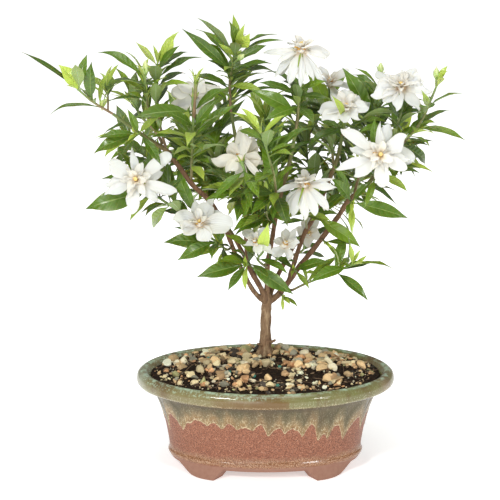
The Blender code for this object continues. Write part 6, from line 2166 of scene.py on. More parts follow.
def add_stigma(name, bloom, draw, look):
    """A club of joined stigma lobes, and the anthers round it."""
    centre, axis = bloom["centre"], bloom["axis"]
    long = CLUB_LENGTHS.get(name, SHORT_CLUB)
    first, second = across_pair(axis)
    lean = first * draw.uniform(*CLUB_LEANS) + second * draw.uniform(*CLUB_LEANS)

    def place(share, turn):
        along = through([place for place, _ in CLUB], share) * long
        radius = through([thick for _, thick in CLUB], share) * (CLUB_SLIM + (1 - CLUB_SLIM) * long)
        flute = abs(math.sin(CLUB_PACE * turn + share)) * step_between(*CLUB_FLUTES_START, share)
        flute = 1 - CLUB_FLUTE * flute
        out = heading(first, second, turn) * radius * flute
        return centre + axis * along + lean * along * share + out, (share, flute, 0.0)

    shape = Shape()
    shape.turned(CLUB_ROWS, CLUB_SIDES, place, 0.0, 0)
    start = draw.uniform(*ANY_TURN)
    for anther in range(ANTHERS):
        own = drawn(draw, ANTHER_RANGES)
        out = heading(first, second, start + TURN * anther / ANTHERS + own.turn)
        foot = centre + axis * ANTHER_FOOT[0] + out * ANTHER_FOOT[1]
        length = ANTHER_LENGTH * bloom["size"] * long * own.reach
        reach = heading(axis, out, math.radians(own.spread)) * length
        bend = axis * own.bend
        points = [foot, foot + reach * 0.5 + bend * 0.3, foot + reach + bend]
        path = [through(points, step / (len(ANTHER_RADII) - 1)) for step in range(len(ANTHER_RADII))]
        shape.tube(path, ANTHER_RADII, ANTHER_SIDES, 0.0, draw.uniform(*ANTHER_TINTS))
    shape.piece(f"stigma_{name}", [look], f"bloom_{name}_stigma", sharp=60)


# Small leaves between the large ones: how many are tried on each centimetre of stem, their lengths, how far
# they lean, and how wide they are for their length
SMALL_TRIES = 20.0
MORE_TRIES = {
    "top": 1.4, "left_shoot": 1.6, "bloom_top_left": 1.8, "centre_front": 1.5, "left_arm": 0.45,
    "bloom_left": 0.5, "bloom_top": 1.5, "bloom_centre": 1.4, "centre_young": 1.4, "inner_right": 1.4,
}
SMALL_LENGTHS = (13.0, 39.0)
SMALL_LEANS = (24.0, 84.0)
SMALL_WIDTHS = (0.22, 0.34)
SMALL_DEPTHS = (-100.0, 100.0)
SMALL_SHARES = (0.12, 0.96)

# Where the crown is seen to be open: (across, up, radius)
OPEN_PLACES = ((-125, 269, 10), (-112, 272, 12), (-118, 287, 9), (-97, 255, 7), (42, 170, 9))


def in_the_open(points):
    seen = [seen_at(point) for point in points]
    return any(math.hypot(across - x, up - y) < radius for across, up in seen for x, y, radius in OPEN_PLACES)


def try_small_leaf(plant, name, stem, draw):
    """Adds one small leaf to a stem where it is clear, within the crown and over no bloom."""
    base, tangent = along_path(stem.points, draw.uniform(*SMALL_SHARES))
    first, second = across_pair(tangent)
    turn = draw.uniform(0, TURN)
    lean = math.radians(draw.uniform(*SMALL_LEANS))
    way = heading(tangent, heading(first, second, turn), lean)
    length = draw.uniform(*SMALL_LENGTHS)
    tip = base + way * length
    normal = tangent * STEMWARD + TO_LIGHT
    if abs(normal.normalized().dot(way)) > EDGE_ON:
        return
    width = length * draw.uniform(*SMALL_WIDTHS)
    leaf = Blade(base, tip, normal, width, draw.uniform(*SAGS), LEAF_FOLD, leaf_width)
    leaf.age = draw.choice((OLD, OLD, MID, MID, YOUNG))
    sample = [leaf.point(u, 0) for u in LEAF_SAMPLES]
    if not all(inside_outline(*seen_at(point)) for point in sample) or hides_a_bloom(sample):
        return
    if in_the_open(sample) or not SMALL_DEPTHS[0] < (tip + SHIFT).y < SMALL_DEPTHS[1]:
        return
    stations = (0.0, *LEAF_STATIONS)
    probe = leaf.solid(stations, LEAF_THICKNESS, CLEARANCE, LEAF_ROOT)
    if plant.thicket.blocks(name, probe, probe):
        return
    stem.leaves.append(leaf)
    own = leaf.solid(stations, LEAF_THICKNESS, start=LEAF_ROOT)
    plant.thicket.add(name, leaf.solid(stations, LEAF_THICKNESS), own)


def add_small_leaves(plant):
    """Fills the crown with the small leaves that fit between the large ones."""
    draw = random.Random(SEED + 5)
    for name, stems in plant.sprays.items():
        for stem in stems:
            for _ in range(int(stem.length * 0.1 * SMALL_TRIES * MORE_TRIES.get(name, 1.0))):
                try_small_leaf(plant, name, stem, draw)


def add_spray(name, stems, draw, looks):
    """One leafy spray: its stems, leaves, buds, sepals and young growth."""
    shape = Shape()
    for stem in stems:
        add_stem(shape, stem, draw)
        for leaf in stem.leaves:
            add_leaf(shape, leaf, draw)
        for base, tip in stem.buds:
            if name == SHOOT_SPRAY:
                add_shoot(shape, base, tip, draw)
            else:
                add_bud(shape, base, tip, draw)
        if stem.bloom:
            axis = stem.bloom["axis"]
            foot = stem.bloom["centre"] - axis * (CALYX[1][0] + CALYX_GAP)
            radius, length, lean = FLOWER_SEPALS
            add_sepals(shape, foot, axis, radius, length * stem.bloom["size"], lean, draw)
        else:
            add_leaflets(shape, stem.points[-1], (stem.points[-1] - stem.points[-2]).normalized(), draw)
    shape.piece(f"leaves_{name}", looks, f"spray_{name}", sharp=70)


# The wood: how finely it is skinned and followed, how uneven its limbs are, how much and how often its skin
# is softened, and how old the bark looks, up to the trunk's top and from a limb's foot to its end
WOOD_VOXEL = 0.6
WOOD_STEP = 1.5
WOOD_LEAST_STEPS = 6
WOOD_LEAST_RADIUS = 0.9
WOOD_SIDES = 16
WOOD_SWELL = (0.06, 0.9, 2.1)
SKIN_SOFTENED = (0.5, 3)
TRUNK_AGE = 0.05
LIMB_AGES = (0.25, 0.75)

# The roots that spread from the trunk's foot as (turn, reach, radius), with their age, and their path as
# (out, share of the reach, down)
ROOTS = ((10, 11, 2.4), (75, 10, 2.2), (140, 11, 2.3), (205, 12, 2.5), (262, 10, 2.4), (318, 11, 2.2))
ROOT_TOP = 92.0
ROOT_AGE = 0.03
ROOT_PATH = ((2.0, 0, 0), (5.6, 0, 5.5), (0, 0.72, 9.6), (0, 1, 14.5))
ROOT_STEPS = 12
ROOT_THINS = (0.9, 0.45)
ROOT_SIDES = 12

# The two cut stubs low on the trunk as (foot, end, radius), and how they swell
STUBS = (((4, 10, 95.5), (8, 7.5, 98.5), 1.2), ((-3, 9.5, 93.5), (-6.6, 7.5, 95.5), 1))
STUB_SWELLS = (1.3, 1.1, 1.0, 1.0, 1.05, 0.85)
STUB_AGE = 0.3

# The bark's furrows: how deep they are by the age up to which that holds, and how they are drawn out upwards
BARK_DEPTH = 0.34
BARK_DEPTHS = ((0.1, 1.1), (0.5, 0.7), (2.0, 0.4))
FURROWS = (0.55, 0.55, 0.16)


def add_limb(shape, samples, index, points, radii):
    steps = max(int(sum(steps_of(points)) / WOOD_STEP), WOOD_LEAST_STEPS)
    swell, pace, start = WOOD_SWELL
    path, thick = [], []
    for step in range(steps + 1):
        share = step / steps
        path.append(through(points, share))
        uneven = 1 + swell * math.sin(step * pace + index * start)
        thick.append(max(through(radii, share), WOOD_LEAST_RADIUS) * uneven)
        samples.append((path[-1], LIMB_AGES[0] + LIMB_AGES[1] * share if index else TRUNK_AGE * share))
    shape.tube(path, thick, WOOD_SIDES)


def add_roots(shape, samples):
    foot = Vector((*TRUNK_FOOT, 0.0))
    for turn, reach, radius in ROOTS:
        turn = math.radians(turn)
        out = Vector((math.cos(turn), math.sin(turn), 0.0))
        path = []
        for first, share, down in ROOT_PATH:
            path.append(foot + out * (first + share * reach) + Vector((0, 0, ROOT_TOP - down)))
        samples.extend((point, ROOT_AGE) for point in path)
        shares = [step / ROOT_STEPS for step in range(ROOT_STEPS + 1)]
        thick = [radius * (ROOT_THINS[0] - ROOT_THINS[1] * share) for share in shares]
        shape.tube([through(path, share) for share in shares], thick, ROOT_SIDES)


def add_stubs(shape, samples):
    for start, end, radius in STUBS:
        start, end = Vector(start), Vector(end)
        path = [start.lerp(end, step / (len(STUB_SWELLS) - 1)) for step in range(len(STUB_SWELLS))]
        shape.tube(path, [radius * swell for swell in STUB_SWELLS], ROOT_SIDES)
        samples.extend((point, STUB_AGE) for point in path)


def skinned(shape):
    """One even skin over crossing tubes, a little softened."""
    mesh = bpy.data.meshes.new("wood_tubes")
    mesh.from_pydata(shape.points, [], shape.faces)
    scratch = bpy.data.objects.new("wood_tubes", mesh)
    bpy.context.scene.collection.objects.link(scratch)
    remesh = scratch.modifiers.new("skin", "REMESH")
    remesh.mode = "VOXEL"
    remesh.voxel_size = WOOD_VOXEL
    soften = scratch.modifiers.new("soften", "SMOOTH")
    soften.factor, soften.iterations = SKIN_SOFTENED
    skin = bpy.data.meshes.new_from_object(scratch.evaluated_get(bpy.context.evaluated_depsgraph_get()))
    bpy.data.objects.remove(scratch)
    bpy.data.meshes.remove(mesh)
    return skin


def add_wood(plant, look):
    """The trunk, its limbs and roots as one skin with furrowed bark."""
    shape = Shape()
    samples = []
    for index, (points, radii) in enumerate(plant.wood):
        add_limb(shape, samples, index, points, radii)
    add_roots(shape, samples)
    add_stubs(shape, samples)
    skin = skinned(shape)
    tree = KDTree(len(samples))
    for index, (point, _) in enumerate(samples):
        tree.insert(point, index)
    tree.balance()
    ages = []
    normals = [vertex.normal.copy() for vertex in skin.vertices]
    for vertex, normal in zip(skin.vertices, normals):
        place = vertex.co.copy()
        ages.append(samples[tree.find(place)[1]][1])
        rough = noise.fractal(Vector([part * scale for part, scale in zip(place, FURROWS)]), 1.0, 2.0, 4)
        deep = BARK_DEPTH * next(depth for below, depth in BARK_DEPTHS if ages[-1] < below)
        vertex.co = (place + normal * (rough * deep) + SHIFT) * MM
    skin.attributes.new("age", "FLOAT", "POINT").data.foreach_set("value", ages)
    skin.materials.clear()
    skin.materials.append(look)
    skin.polygons.foreach_set("use_smooth", [True] * len(skin.polygons))
    skin.polygons.foreach_set("material_index", [0] * len(skin.polygons))
    skin.update()
    set_down("wood", skin, "trunk")


# The soil's top: how fine it is, how far it reaches past its edge towards the pot's wall, how rough its
# crumbs are, and where they flatten and by how much
SOIL_AROUND = 220
SOIL_OUT = 64
SOIL_OVER = 0.6
CRUMBS = 0.9
CRUMB_SCALE = 0.22
CRUMBS_FLATTEN = (0.9, 1.0)
CRUMBS_FLATTER = 0.6


def crumbled(x, y):
    """The height of the living soil at this place."""
    crumbs = noise.fractal(Vector((x * CRUMB_SCALE, y * CRUMB_SCALE, 0.0)), 1.0, 2.0, 5)
    flatter = step_between(*CRUMBS_FLATTEN, min(soil_share(x, y), 1.0)) * CRUMBS_FLATTER
    return soil_height(x, y) + CRUMBS * crumbs * (1 - flatter)


def add_soil(look):
    turns = around(SOIL_AROUND)
    rings = []
    for inwards, height in SOIL_OUTSIDE[::-1]:
        rings.append([Vector((*oval(inwards, turn), height)) for turn in turns])
    for step in range(SOIL_OUT):
        places = [oval(SOIL_EDGE - SOIL_OVER, turn, 1 - step / SOIL_OUT) for turn in turns]
        rings.append([Vector((x, y, crumbled(x, y))) for x, y in places])
    shape = Shape()
    shape.loops(rings, [[(0.0, 0.0, 0.0)] * SOIL_AROUND] * len(rings), 0.0, [0] * SOIL_AROUND)
    shape.piece("soil_mound", [look], "soil")


# The grit on the soil: how many stones of each size as (count, smallest, largest, how finely each is cut),
# their colours with how common each is, and how each stone varies
GRIT = ((850, 1.0, 2.4, 1), (430, 2.4, 4.6, 2), (175, 4.6, 8.2, 3))
STONE_TONES = (
    ((0.76, 0.53, 0.27), 6), ((0.8, 0.66, 0.38), 5), ((0.8, 0.43, 0.2), 3), ((0.38, 0.36, 0.26), 2),
    ((0.52, 0.5, 0.22), 1), ((0.54, 0.34, 0.17), 2), ((0.92, 0.82, 0.57), 3), ((0.05, 0.036, 0.024), 3),
)
STONE_PLANES = (6, 9)
STONE_DEPTHS = (0.36, 0.86)
STONE_SHADES = (0.62, 1.34)
STONE_LONGER = (1.0, 1.45)
STONE_FLATTER = (0.6, 0.95)
STONE_STANDS = (0.06, 0.32)
STONE_LEAST_FACING = 0.05
STONE_MOST = 1.15
STONE_TIPS = (-0.5, 0.5)
STONE_SHARP = 16

# How far out the small stones and the litter lie and how far the large stones, and what counts as large
GRIT_REACH = 0.97
LARGE_REACH = 0.9
LARGE_STONE = 5

# Where the soil lies bare, as (x, y, reach), and how the grit gathers elsewhere
BARE_PLACES = (
    (-58, -10, 15), (5, -28, 17), (33, 28, 24), (58, -18, 14), (37, -31, 13), (70, 8, 11), (-8, 12, 16),
    (-30, 18, 12), (12, 0, 12),
)
GATHER_SCALE = 0.07
GATHER_START = 7.0
GATHERED = 0.6
GATHER_LEAST = 0.25
BARENESS = 1.3
TRUNK_CLEAR = 7.4


def ball(cuts):
    """The points and faces of a round ball, cut this finely."""
    cage = bmesh.new()
    bmesh.ops.create_icosphere(cage, subdivisions=cuts, radius=1.0)
    points = numpy.array([vertex.co[:] for vertex in cage.verts])
    faces = [tuple(vertex.index for vertex in face.verts) for face in cage.faces]
    cage.free()
    return points, faces


def stone(draw, points, size, longer, flatter):
    """An angular stone: a ball cut by planes at different depths."""
    count = draw.randint(*STONE_PLANES)
    looks = numpy.array([[draw.gauss(0, 1) for _ in range(3)] for _ in range(count)])
    looks /= numpy.linalg.norm(looks, axis=1)[:, None]
    depths = numpy.array([draw.uniform(*STONE_DEPTHS) for _ in range(count)])
    facing = points @ looks.T
    reach = depths / numpy.maximum(facing, STONE_LEAST_FACING)
    reach = numpy.where(facing > STONE_LEAST_FACING, reach, numpy.inf).min(axis=1)
    form = numpy.array((longer, 1.0, flatter))
    return points * numpy.minimum(reach, STONE_MOST)[:, None] * form * size / 2


def on_the_soil(draw, reach):
    """A place on the soil, clear of the trunk, more often where the grit has gathered."""
    while True:
        turn = draw.uniform(0, TURN)
        x, y = oval(SOIL_EDGE, turn, math.sqrt(draw.uniform(0.0, 1.0)) * reach)
        place = Vector((x * GATHER_SCALE + GATHER_START, y * GATHER_SCALE, 0.0))
        gathered = noise.fractal(place, 1.0, 2.0, 2)
        bare = max(1 - math.hypot(x - left, y - near) / wide for left, near, wide in BARE_PLACES)
        needed = GATHER_LEAST + BARENESS * max(bare, 0.0)
        clear = math.hypot(x - TRUNK_FOOT[0], y - TRUNK_FOOT[1]) > TRUNK_CLEAR
        if clear and gathered * GATHERED + draw.uniform(0.0, 1.0) > needed:
            return x, y


def turned_about(draw, points):
    spin, tip = draw.uniform(*ANY_TURN), draw.uniform(*STONE_TIPS)
    turn = ((math.cos(spin), -math.sin(spin), 0.0), (math.sin(spin), math.cos(spin), 0.0), (0.0, 0.0, 1.0))
    lean = ((1.0, 0.0, 0.0), (0.0, math.cos(tip), -math.sin(tip)), (0.0, math.sin(tip), math.cos(tip)))
    return points @ (numpy.array(turn) @ numpy.array(lean)).T


def add_grit(look):
    """The pebbles pressed into the soil's top."""
    draw = random.Random(SEED + 1)
    palette = [colour for colour, share in STONE_TONES for _ in range(share)]
    for number, (count, least, most, cuts) in enumerate(GRIT):
        cage, cage_faces = ball(cuts)
        points, faces, tones = [], [], []
        for _ in range(count):
            x, y = on_the_soil(draw, GRIT_REACH if most < LARGE_STONE else LARGE_REACH)
            size = draw.uniform(least, most)
            longer, flatter = draw.uniform(*STONE_LONGER), draw.uniform(*STONE_FLATTER)
            cut = turned_about(draw, stone(draw, cage, size, longer, flatter))
            sunk = crumbled(x, y) + size * draw.uniform(*STONE_STANDS)
            cut = (cut + numpy.array((x, y, sunk)) + numpy.array(SHIFT)) * MM
            faces.extend(tuple(corner + len(points) for corner in face) for face in cage_faces)
            points.extend(cut.tolist())
            tone = palette[draw.randrange(len(palette))]
            shade = draw.uniform(*STONE_SHADES)
            tones.extend([(*(min(part * shade, 1.0) for part in tone), 1.0)] * len(cut))
        mesh = bpy.data.meshes.new(f"grit_{number}")
        mesh.from_pydata(points, [], faces)
        layer = mesh.color_attributes.new("tone", "FLOAT_COLOR", "POINT")
        layer.data.foreach_set("color", [part for tone in tones for part in tone])
        mesh.materials.append(look)
        mesh.polygons.foreach_set("use_smooth", [True] * len(mesh.polygons))
        mesh.update()
        mesh.set_sharp_from_angle(angle=math.radians(STONE_SHARP))
        set_down(f"grit_{number}", mesh, "soil")


# Chips of bark among the grit: how many, how they vary, how high they lie, and where their sections are
CHIPS = 260
CHIP_LENGTHS = (2.5, 8.5)
CHIP_WIDTHS = (1.0, 2.6)
CHIP_TIPS = (-0.25, 0.25)
CHIP_LIES = 0.5
CHIP_SECTIONS = (-0.5, -0.3, 0.0, 0.3, 0.5)
CHIP_NARROWS = (0.4, 1.2)
CHIP_THICK = (0.45, 0.1)
CHIP_STRAYS = (-0.2, 0.2)

# Fibres: how many, how they vary, how high they lie, and how thick they are along their length
FIBRES = 130
FIBRE_REACH = 0.95
FIBRE_LENGTHS = (6.0, 22.0)
FIBRE_LIES = (0.2, 1.3)
FIBRE_TURNS = (-0.5, 0.5)
FIBRE_RADII = (0.22,) * 9 + (0.1,)
FIBRE_TINTS = (0.5, 1.0)
FIBRE_POINTS = 4

# Pellets of feed: where they lie, and how large and high
PELLETS = ((31, -16), (11, -20), (-9, -34), (9, -44), (-45, 4), (52, -8), (-28, -26))
PELLET_RADIUS = 1.5
PELLET_LIES = 0.7
PELLET_TIP = 0.12
PELLET_ROWS = 8
PELLET_SIDES = 14


def add_chip(shape, draw):
    x, y = on_the_soil(draw, GRIT_REACH)
    length, width = draw.uniform(*CHIP_LENGTHS), draw.uniform(*CHIP_WIDTHS)
    turn = draw.uniform(*ANY_TURN)
    along = Vector((math.cos(turn), math.sin(turn), draw.uniform(*CHIP_TIPS))).normalized()
    middle = Vector((x, y, crumbled(x, y) + CHIP_LIES))
    side = along.cross(Vector((0, 0, 1))).normalized()
    rise = side.cross(along)
    rings = []
    for share in CHIP_SECTIONS:
        wide = width * (1 - abs(share) * draw.uniform(*CHIP_NARROWS)) / 2
        thick = CHIP_THICK[0] * (1 - abs(share)) + CHIP_THICK[1]
        at = middle + along * (length * share) + rise * draw.uniform(*CHIP_STRAYS)
        rings.append([at + side * wide, at + rise * thick, at - side * wide, at - rise * thick])
    shape.loops(rings, [[(0.0, 0.0, draw.random())] * 4] * len(rings), 0.0, [0] * 4)


def add_fibre(shape, draw):
    x, y = on_the_soil(draw, FIBRE_REACH)
    turn, length = draw.uniform(*ANY_TURN), draw.uniform(*FIBRE_LENGTHS)
    points = []
    for _ in range(FIBRE_POINTS):
        points.append(Vector((x, y, crumbled(x, y) + draw.uniform(*FIBRE_LIES))))
        turn += draw.uniform(*FIBRE_TURNS)
        x += math.cos(turn) * length / (FIBRE_POINTS - 1)
        y += math.sin(turn) * length / (FIBRE_POINTS - 1)
        if soil_share(x, y) > GRIT_REACH:
            break
    if len(points) > 2:
        last = len(FIBRE_RADII) - 1
        path = [through(points, step / last) for step in range(last + 1)]
        shape.tube(path, FIBRE_RADII, 4, 0.0, draw.uniform(*FIBRE_TINTS))


def add_pellet(shape, x, y):
    middle = Vector((x, y, crumbled(x, y) + PELLET_LIES))
    turns = [math.pi * step / PELLET_ROWS for step in range(PELLET_ROWS + 1)]
    path = [middle - Vector((0, 0, 1)) * (PELLET_RADIUS * math.cos(turn)) for turn in turns]
    shape.tube(path, [max(PELLET_RADIUS * math.sin(turn), PELLET_TIP) for turn in turns], PELLET_SIDES)


def add_litter(chip_look, pellet_look):
    """Bark chips, fibres and slow feed pellets that lie on the soil."""
    draw = random.Random(SEED + 2)
    litter = Shape()
    for _ in range(CHIPS):
        add_chip(litter, draw)
    for _ in range(FIBRES):
        add_fibre(litter, draw)
    litter.piece("litter", [chip_look], "soil", smooth=False)
    pellets = Shape()
    for x, y in PELLETS:
        add_pellet(pellets, x, y)
    pellets.piece("pellets", [pellet_look], "soil")


def litter_look():
    look = Look("litter")
    _, _, tint = look.marks()
    base = look.ramp(tint, *LITTER_TONES)
    grain = look.noise(900.0, 5.0)
    colour = look.mix(look.times(grain, 0.6), base, LITTER_GRAIN)
    return look.finish(colour, look.range(grain, 0.3, 0.7, 0.6, 0.9), look.bump(grain, 0.8, 0.0005))


def pellet_look():
    look = Look("pellet")
    grain = look.noise(900.0, 4.0)
    colour = look.ramp(grain, *PELLET_TONES)
    return look.finish(colour, look.range(grain, 0.3, 0.7, 0.4, 0.6), look.bump(grain, 0.4, 0.0003))


# The pot's finer skin: how many sides, how tall its rows are, the top of its lip, how proud the glaze stands,
# how far above its edge it is full and then thins, and how low on the pot it may come
POT_AROUND = 400
ROW_HEIGHT = 1.1
INSIDE_ROW_HEIGHT = 4.0
LIP_TOP = (7.4, 76.9)
GLAZE_PROUD = 0.42
GLAZE_STARTS = (-0.2, 1.4)
GLAZE_THINS = (14.0, 24.0)
GLAZE_LOWEST = 18

# How far above the glaze's edge the materials take the inside, the floor and the feet to be
INSIDE_ABOVE = 30.0
FLOOR_ABOVE = -9.0
FOOT_ABOVE = -20.0

# The glaze's lower edge on the front wall as (across, height), where drips hang and where it draws up,
# then what the rule draws from elsewhere: how far apart the drips are and how far down they reach
FRONT_EDGE = (
    (-65, 35.5), (-58, 44.5), (-51, 47.8), (-45, 43.6), (-39.5, 46.6), (-34, 43), (-28, 46.8), (-22, 42.6),
    (-17, 45.2), (-10.6, 40.9), (-4, 47.3), (1.7, 37.1), (10.2, 44), (14.5, 38.7), (19, 43.6), (23, 42.4),
    (28.7, 34.7), (35, 46.1), (41.5, 30.1), (45.4, 36), (49.4, 29.7), (54.6, 42.5), (62, 27.9), (67, 38),
)
EDGE_HALF_LENGTH = 80.5
DRIP_GAPS = (0.07, 0.16)
DRIP_FOOT = (29.0, 41.0)
DRIP_TOP = (42.5, 48.0)
DRIP_ROUND = 0.55
DRIP_FINE = (16, 1.5)


def glaze_edge():
    """How low the glaze reaches at each side of the pot: heights by turn, from 0 to a full turn."""
    draw = random.Random(SEED + 3)
    stops = []
    for across, height in FRONT_EDGE:
        stops.append((TURN - math.acos(across / EDGE_HALF_LENGTH), height))
    turn = stops[-1][0] - TURN
    low = True
    while True:
        turn += draw.uniform(*DRIP_GAPS)
        if turn > stops[0][0] - DRIP_GAPS[0]:
            break
        low = not low
        height = draw.uniform(*DRIP_FOOT) if low else draw.uniform(*DRIP_TOP)
        stops.append((turn % TURN, height))
    stops.sort()
    ends = [(stops[-1][0] - TURN, stops[-1][1])] + stops + [(stops[0][0] + TURN, stops[0][1])]

    def edge(turn):
        turn %= TURN
        for (start, low), (end, high) in zip(ends, ends[1:]):
            if start <= turn <= end:
                share = (turn - start) / (end - start)
                climb = share if low < high else 1 - share
                bend = ((1 - math.cos(math.pi * climb)) / 2) ** DRIP_ROUND
                bend = bend if low < high else 1 - bend
                scale, depth = DRIP_FINE
                place = Vector((math.cos(turn) * scale, math.sin(turn) * scale, 0.0))
                return low + (high - low) * bend + depth * noise.fractal(place, 0.8, 2.0, 4)
        return DRIP_TOP[0]

    return edge


def fine_section(section, height):
    """A smooth section through the plain one's corners, with rows this far apart at most."""
    corners = [Vector(corner) for corner in section]
    rows = []
    for index, (before, after) in enumerate(zip(corners, corners[1:])):
        steps = max(int((after - before).length / height), 2)
        for step in range(steps):
            rows.append(through(corners, (index + step / steps) / (len(corners) - 1)))
    rows.append(corners[-1])
    return rows


def add_pot(look):
    edge = glaze_edge()
    outside = fine_section(POT_OUTSIDE, ROW_HEIGHT)
    lip = fine_section((POT_OUTSIDE[-1], LIP_TOP, POT_INSIDE[0]), ROW_HEIGHT)
    section = outside + lip[1:] + fine_section(POT_INSIDE, INSIDE_ROW_HEIGHT)[1:]
    turns = around(POT_AROUND)
    edges = [edge(turn) for turn in turns]
    rings, marks = [], []
    for row, (inwards, height) in enumerate(section):
        outer = row < len(outside)
        ring, ring_marks = [], []
        for turn, low in zip(turns, edges):
            above = height - low if outer else INSIDE_ABOVE
            proud = 0.0
            if outer and height >= GLAZE_LOWEST:
                thinner = 1 - step_between(*GLAZE_THINS, above)
                proud = GLAZE_PROUD * step_between(*GLAZE_STARTS, above) * thinner
            ring.append(Vector((*oval(inwards - proud, turn), height)))
            ring_marks.append((above, 1.0 if outer else 0.0, math.cos(turn)))
        rings.append(ring)
        marks.append(ring_marks)
    for height in (POT_FLOOR, POT_BOTTOM):
        hole = [(DRAIN_RADIUS * math.cos(turn), DRAIN_RADIUS * math.sin(turn)) for turn in turns]
        rings.append([Vector((x, y, height)) for x, y in hole])
        marks.append([(FLOOR_ABOVE, 0.0, 0.0)] * POT_AROUND)
    shape = Shape()
    shape.loops(rings + rings[:1], marks + marks[:1], 0.0, [0] * POT_AROUND, closed=False)
    for east in (1, -1):
        for north in (1, -1):
            add_foot(shape, east, north)
    shape.piece("pot_body", [look], "pot", sharp=60)


# The feet: how finely they are cut, and how their bottom edge is rounded: how far it is tucked in, how far
# it rises and how sharply, and how its rows crowd towards the bottom
FOOT_ROUND = 26
FOOT_ROWS = 10
FOOT_TUCK = 0.8
FOOT_RISE = (0.7, 6)
FOOT_CROWDING = 1.4


def between(one, other, share):
    """A number, or each number of a pair, at this share of the way from one to the other."""
    if isinstance(one, tuple):
        return tuple(between(a, b, share) for a, b in zip(one, other))
    return one + (other - one) * share


def add_foot(shape, east, north):
    """One corner foot, its bottom edge rounded."""
    rise, order = FOOT_RISE
    levels = [(0.0, FOOT_TUCK)] + [((row / FOOT_ROWS) ** FOOT_CROWDING, 0.0) for row in range(FOOT_ROWS + 1)]
    rings = []
    for share, tucked in levels:
        height, outer, inner, near, far, rounded = between(*FOOT_SECTIONS, share)
        height += 0.0 if tucked else rise * (1 - share) ** order
        steps = range(FOOT_ROUND + 1)
        ring = []
        for inwards, way, tuck in ((outer, steps, tucked), (inner, steps[::-1], -tucked)):
            for step in way:
                turn = math.radians(far + (near - far) * step / FOOT_ROUND)
                x = (POT_HALF_LENGTH - inwards[0] - tuck) * math.cos(turn) ** rounded
                y = (POT_HALF_DEPTH - inwards[1] - tuck) * math.sin(turn) ** rounded
                ring.append(Vector((x * east, y * north, height)))
        rings.append(ring if east * north > 0 else ring[::-1])
    count = len(rings[0])
    shape.loops(rings, [[(FOOT_ABOVE, 1.0, 0.0)] * count] * len(rings), 0.0, [0] * count)


# The bare clay, the brick below the drips and its speckle
CLAY = (0.265, 0.125, 0.08)
CLAY_PALE = (0.38, 0.21, 0.15)
BRICK = (0.225, 0.068, 0.029)
BRICK_DARK = (0.085, 0.025, 0.012)
BRICK_PALE = (0.46, 0.2, 0.11)
BRICK_SPECKLE = (0.75, 0.5, 0.36)
RIDGE_TONES = ((0.38, (0.1, 0.045, 0.016)), (0.5, (0.3, 0.15, 0.06)), (0.6, (0.74, 0.52, 0.33)))
INSIDE_CLAY = (0.1, 0.07, 0.045)

# The glaze, and how it runs up the wall from the tips of its drips
GLAZE_CREAM = (0.68, 0.56, 0.34)
GLAZE_TAN = (0.27, 0.165, 0.062)
GLAZE_OLIVE = (0.08, 0.064, 0.023)
GLAZE_BROWN = (0.13, 0.075, 0.03)
GLAZE_GREEN = (0.165, 0.165, 0.058)
GLAZE_MINT = (0.46, 0.62, 0.45)
GLAZE_UMBER = (0.15, 0.08, 0.02)
GLAZE_STREAK = (0.25, 0.24, 0.13)
GLAZE_FROTH = (0.56, 0.5, 0.33)
# Painted shade: the dark brown laid in the hollow under the lip's overhang
PAINTED_SHADE_UNDER_LIP = (0.07, 0.045, 0.018)
WALL_TONES = (
    (0.0, (0.2, 0.1, 0.035)), (0.1, GLAZE_TAN), (0.22, (0.225, 0.15, 0.063)), (0.42, (0.13, 0.1, 0.042)),
    (0.65, GLAZE_OLIVE), (0.95, (0.1, 0.076, 0.032)),
)
WALL_REACH = 26.0

# The lip's glaze in its middle, at its pale left end (partly the glaze's grey-mint, partly a painted sheen)
# and at its brown right end, and the dots in it
LIP_OLIVE = (0.205, 0.175, 0.075)
LIP_PALE_AND_SHEEN = (0.37, 0.385, 0.29)
LIP_BROWN = (0.28, 0.21, 0.12)
LIP_DOT = (0.5, 0.5, 0.33)

# Heights on the pot in metres, each as (where something starts, where it is full): the lip and its gloss, its
# dots, its mint crest with its painted highlight, the flecks and the umber patch on it, the cream under it,
# the painted shade in the hollow below it, the ridge, the bare clay under that, and the clay inside
LIP_STARTS = (0.0655, 0.0672)
LIP_GLOSS = (0.0655, 0.068)
LIP_DOTS = (0.0795, 0.0695)
LIP_CREST_MINT_AND_HIGHLIGHT = (0.0786, 0.0798)
LIP_FLECKS = (0.0752, 0.0775)
LIP_PATCH = (0.0768, 0.0742)
UNDER_LIP = ((0.0668, 0.068), (0.0715, 0.0692))
SHADE_UNDER_LIP = ((0.0605, 0.0645), (0.067, 0.0655))
RIDGE = ((0.0095, 0.012), (0.0215, 0.015))
RIDGE_WAVER = 0.0016
BARE_CLAY = (0.0116, 0.0104)
BARE_INSIDE = (0.0765, 0.072)

# Where round the pot things lie, from -1 at its left end to 1 at its right: the pale end of the lip with its
# painted sheen, its brown end, and the umber patch between its two ends
PALE_SHEEN_END = (-0.75, -1.15)
BROWN_END = (0.75, 1.15)
PATCH = ((-0.5, -0.3), (0.21, 0.15))


def wall_look(look, above, streaks, broad, hairs, dots):
    """The glaze on the wall: cream and tan at its drips, then olive, with streaks, froth and a cream edge."""
    far = look.plus(above, look.range(streaks, 0.25, 0.75, -5.0, 5.0, soft=False))
    wall = look.ramp(look.range(far, 0.0, WALL_REACH, soft=False), *WALL_TONES)
    fan = look.times(look.range(hairs, 0.5, 0.66), look.range(above, 13.0, 1.0, 0.0, 0.6))
    wall = look.mix(fan, wall, GLAZE_CREAM)
    wall = look.mix(look.range(streaks, 0.55, 0.75, 0.0, 0.4), wall, GLAZE_STREAK)
    wall = look.mix(look.range(broad, 0.4, 0.65, 0.0, 0.4), wall, GLAZE_BROWN)
    wall = look.mix(look.times(dots, look.range(above, 20.0, 2.0, 0.15, 0.55)), wall, GLAZE_FROTH)
    edge = look.times(look.range(above, -0.6, 0.0), look.range(above, 1.3, 0.3))
    broken = look.range(look.noise(620.0, 4.0), 0.42, 0.58, 0.05, 0.9)
    return look.mix(look.times(edge, broken), wall, GLAZE_CREAM)


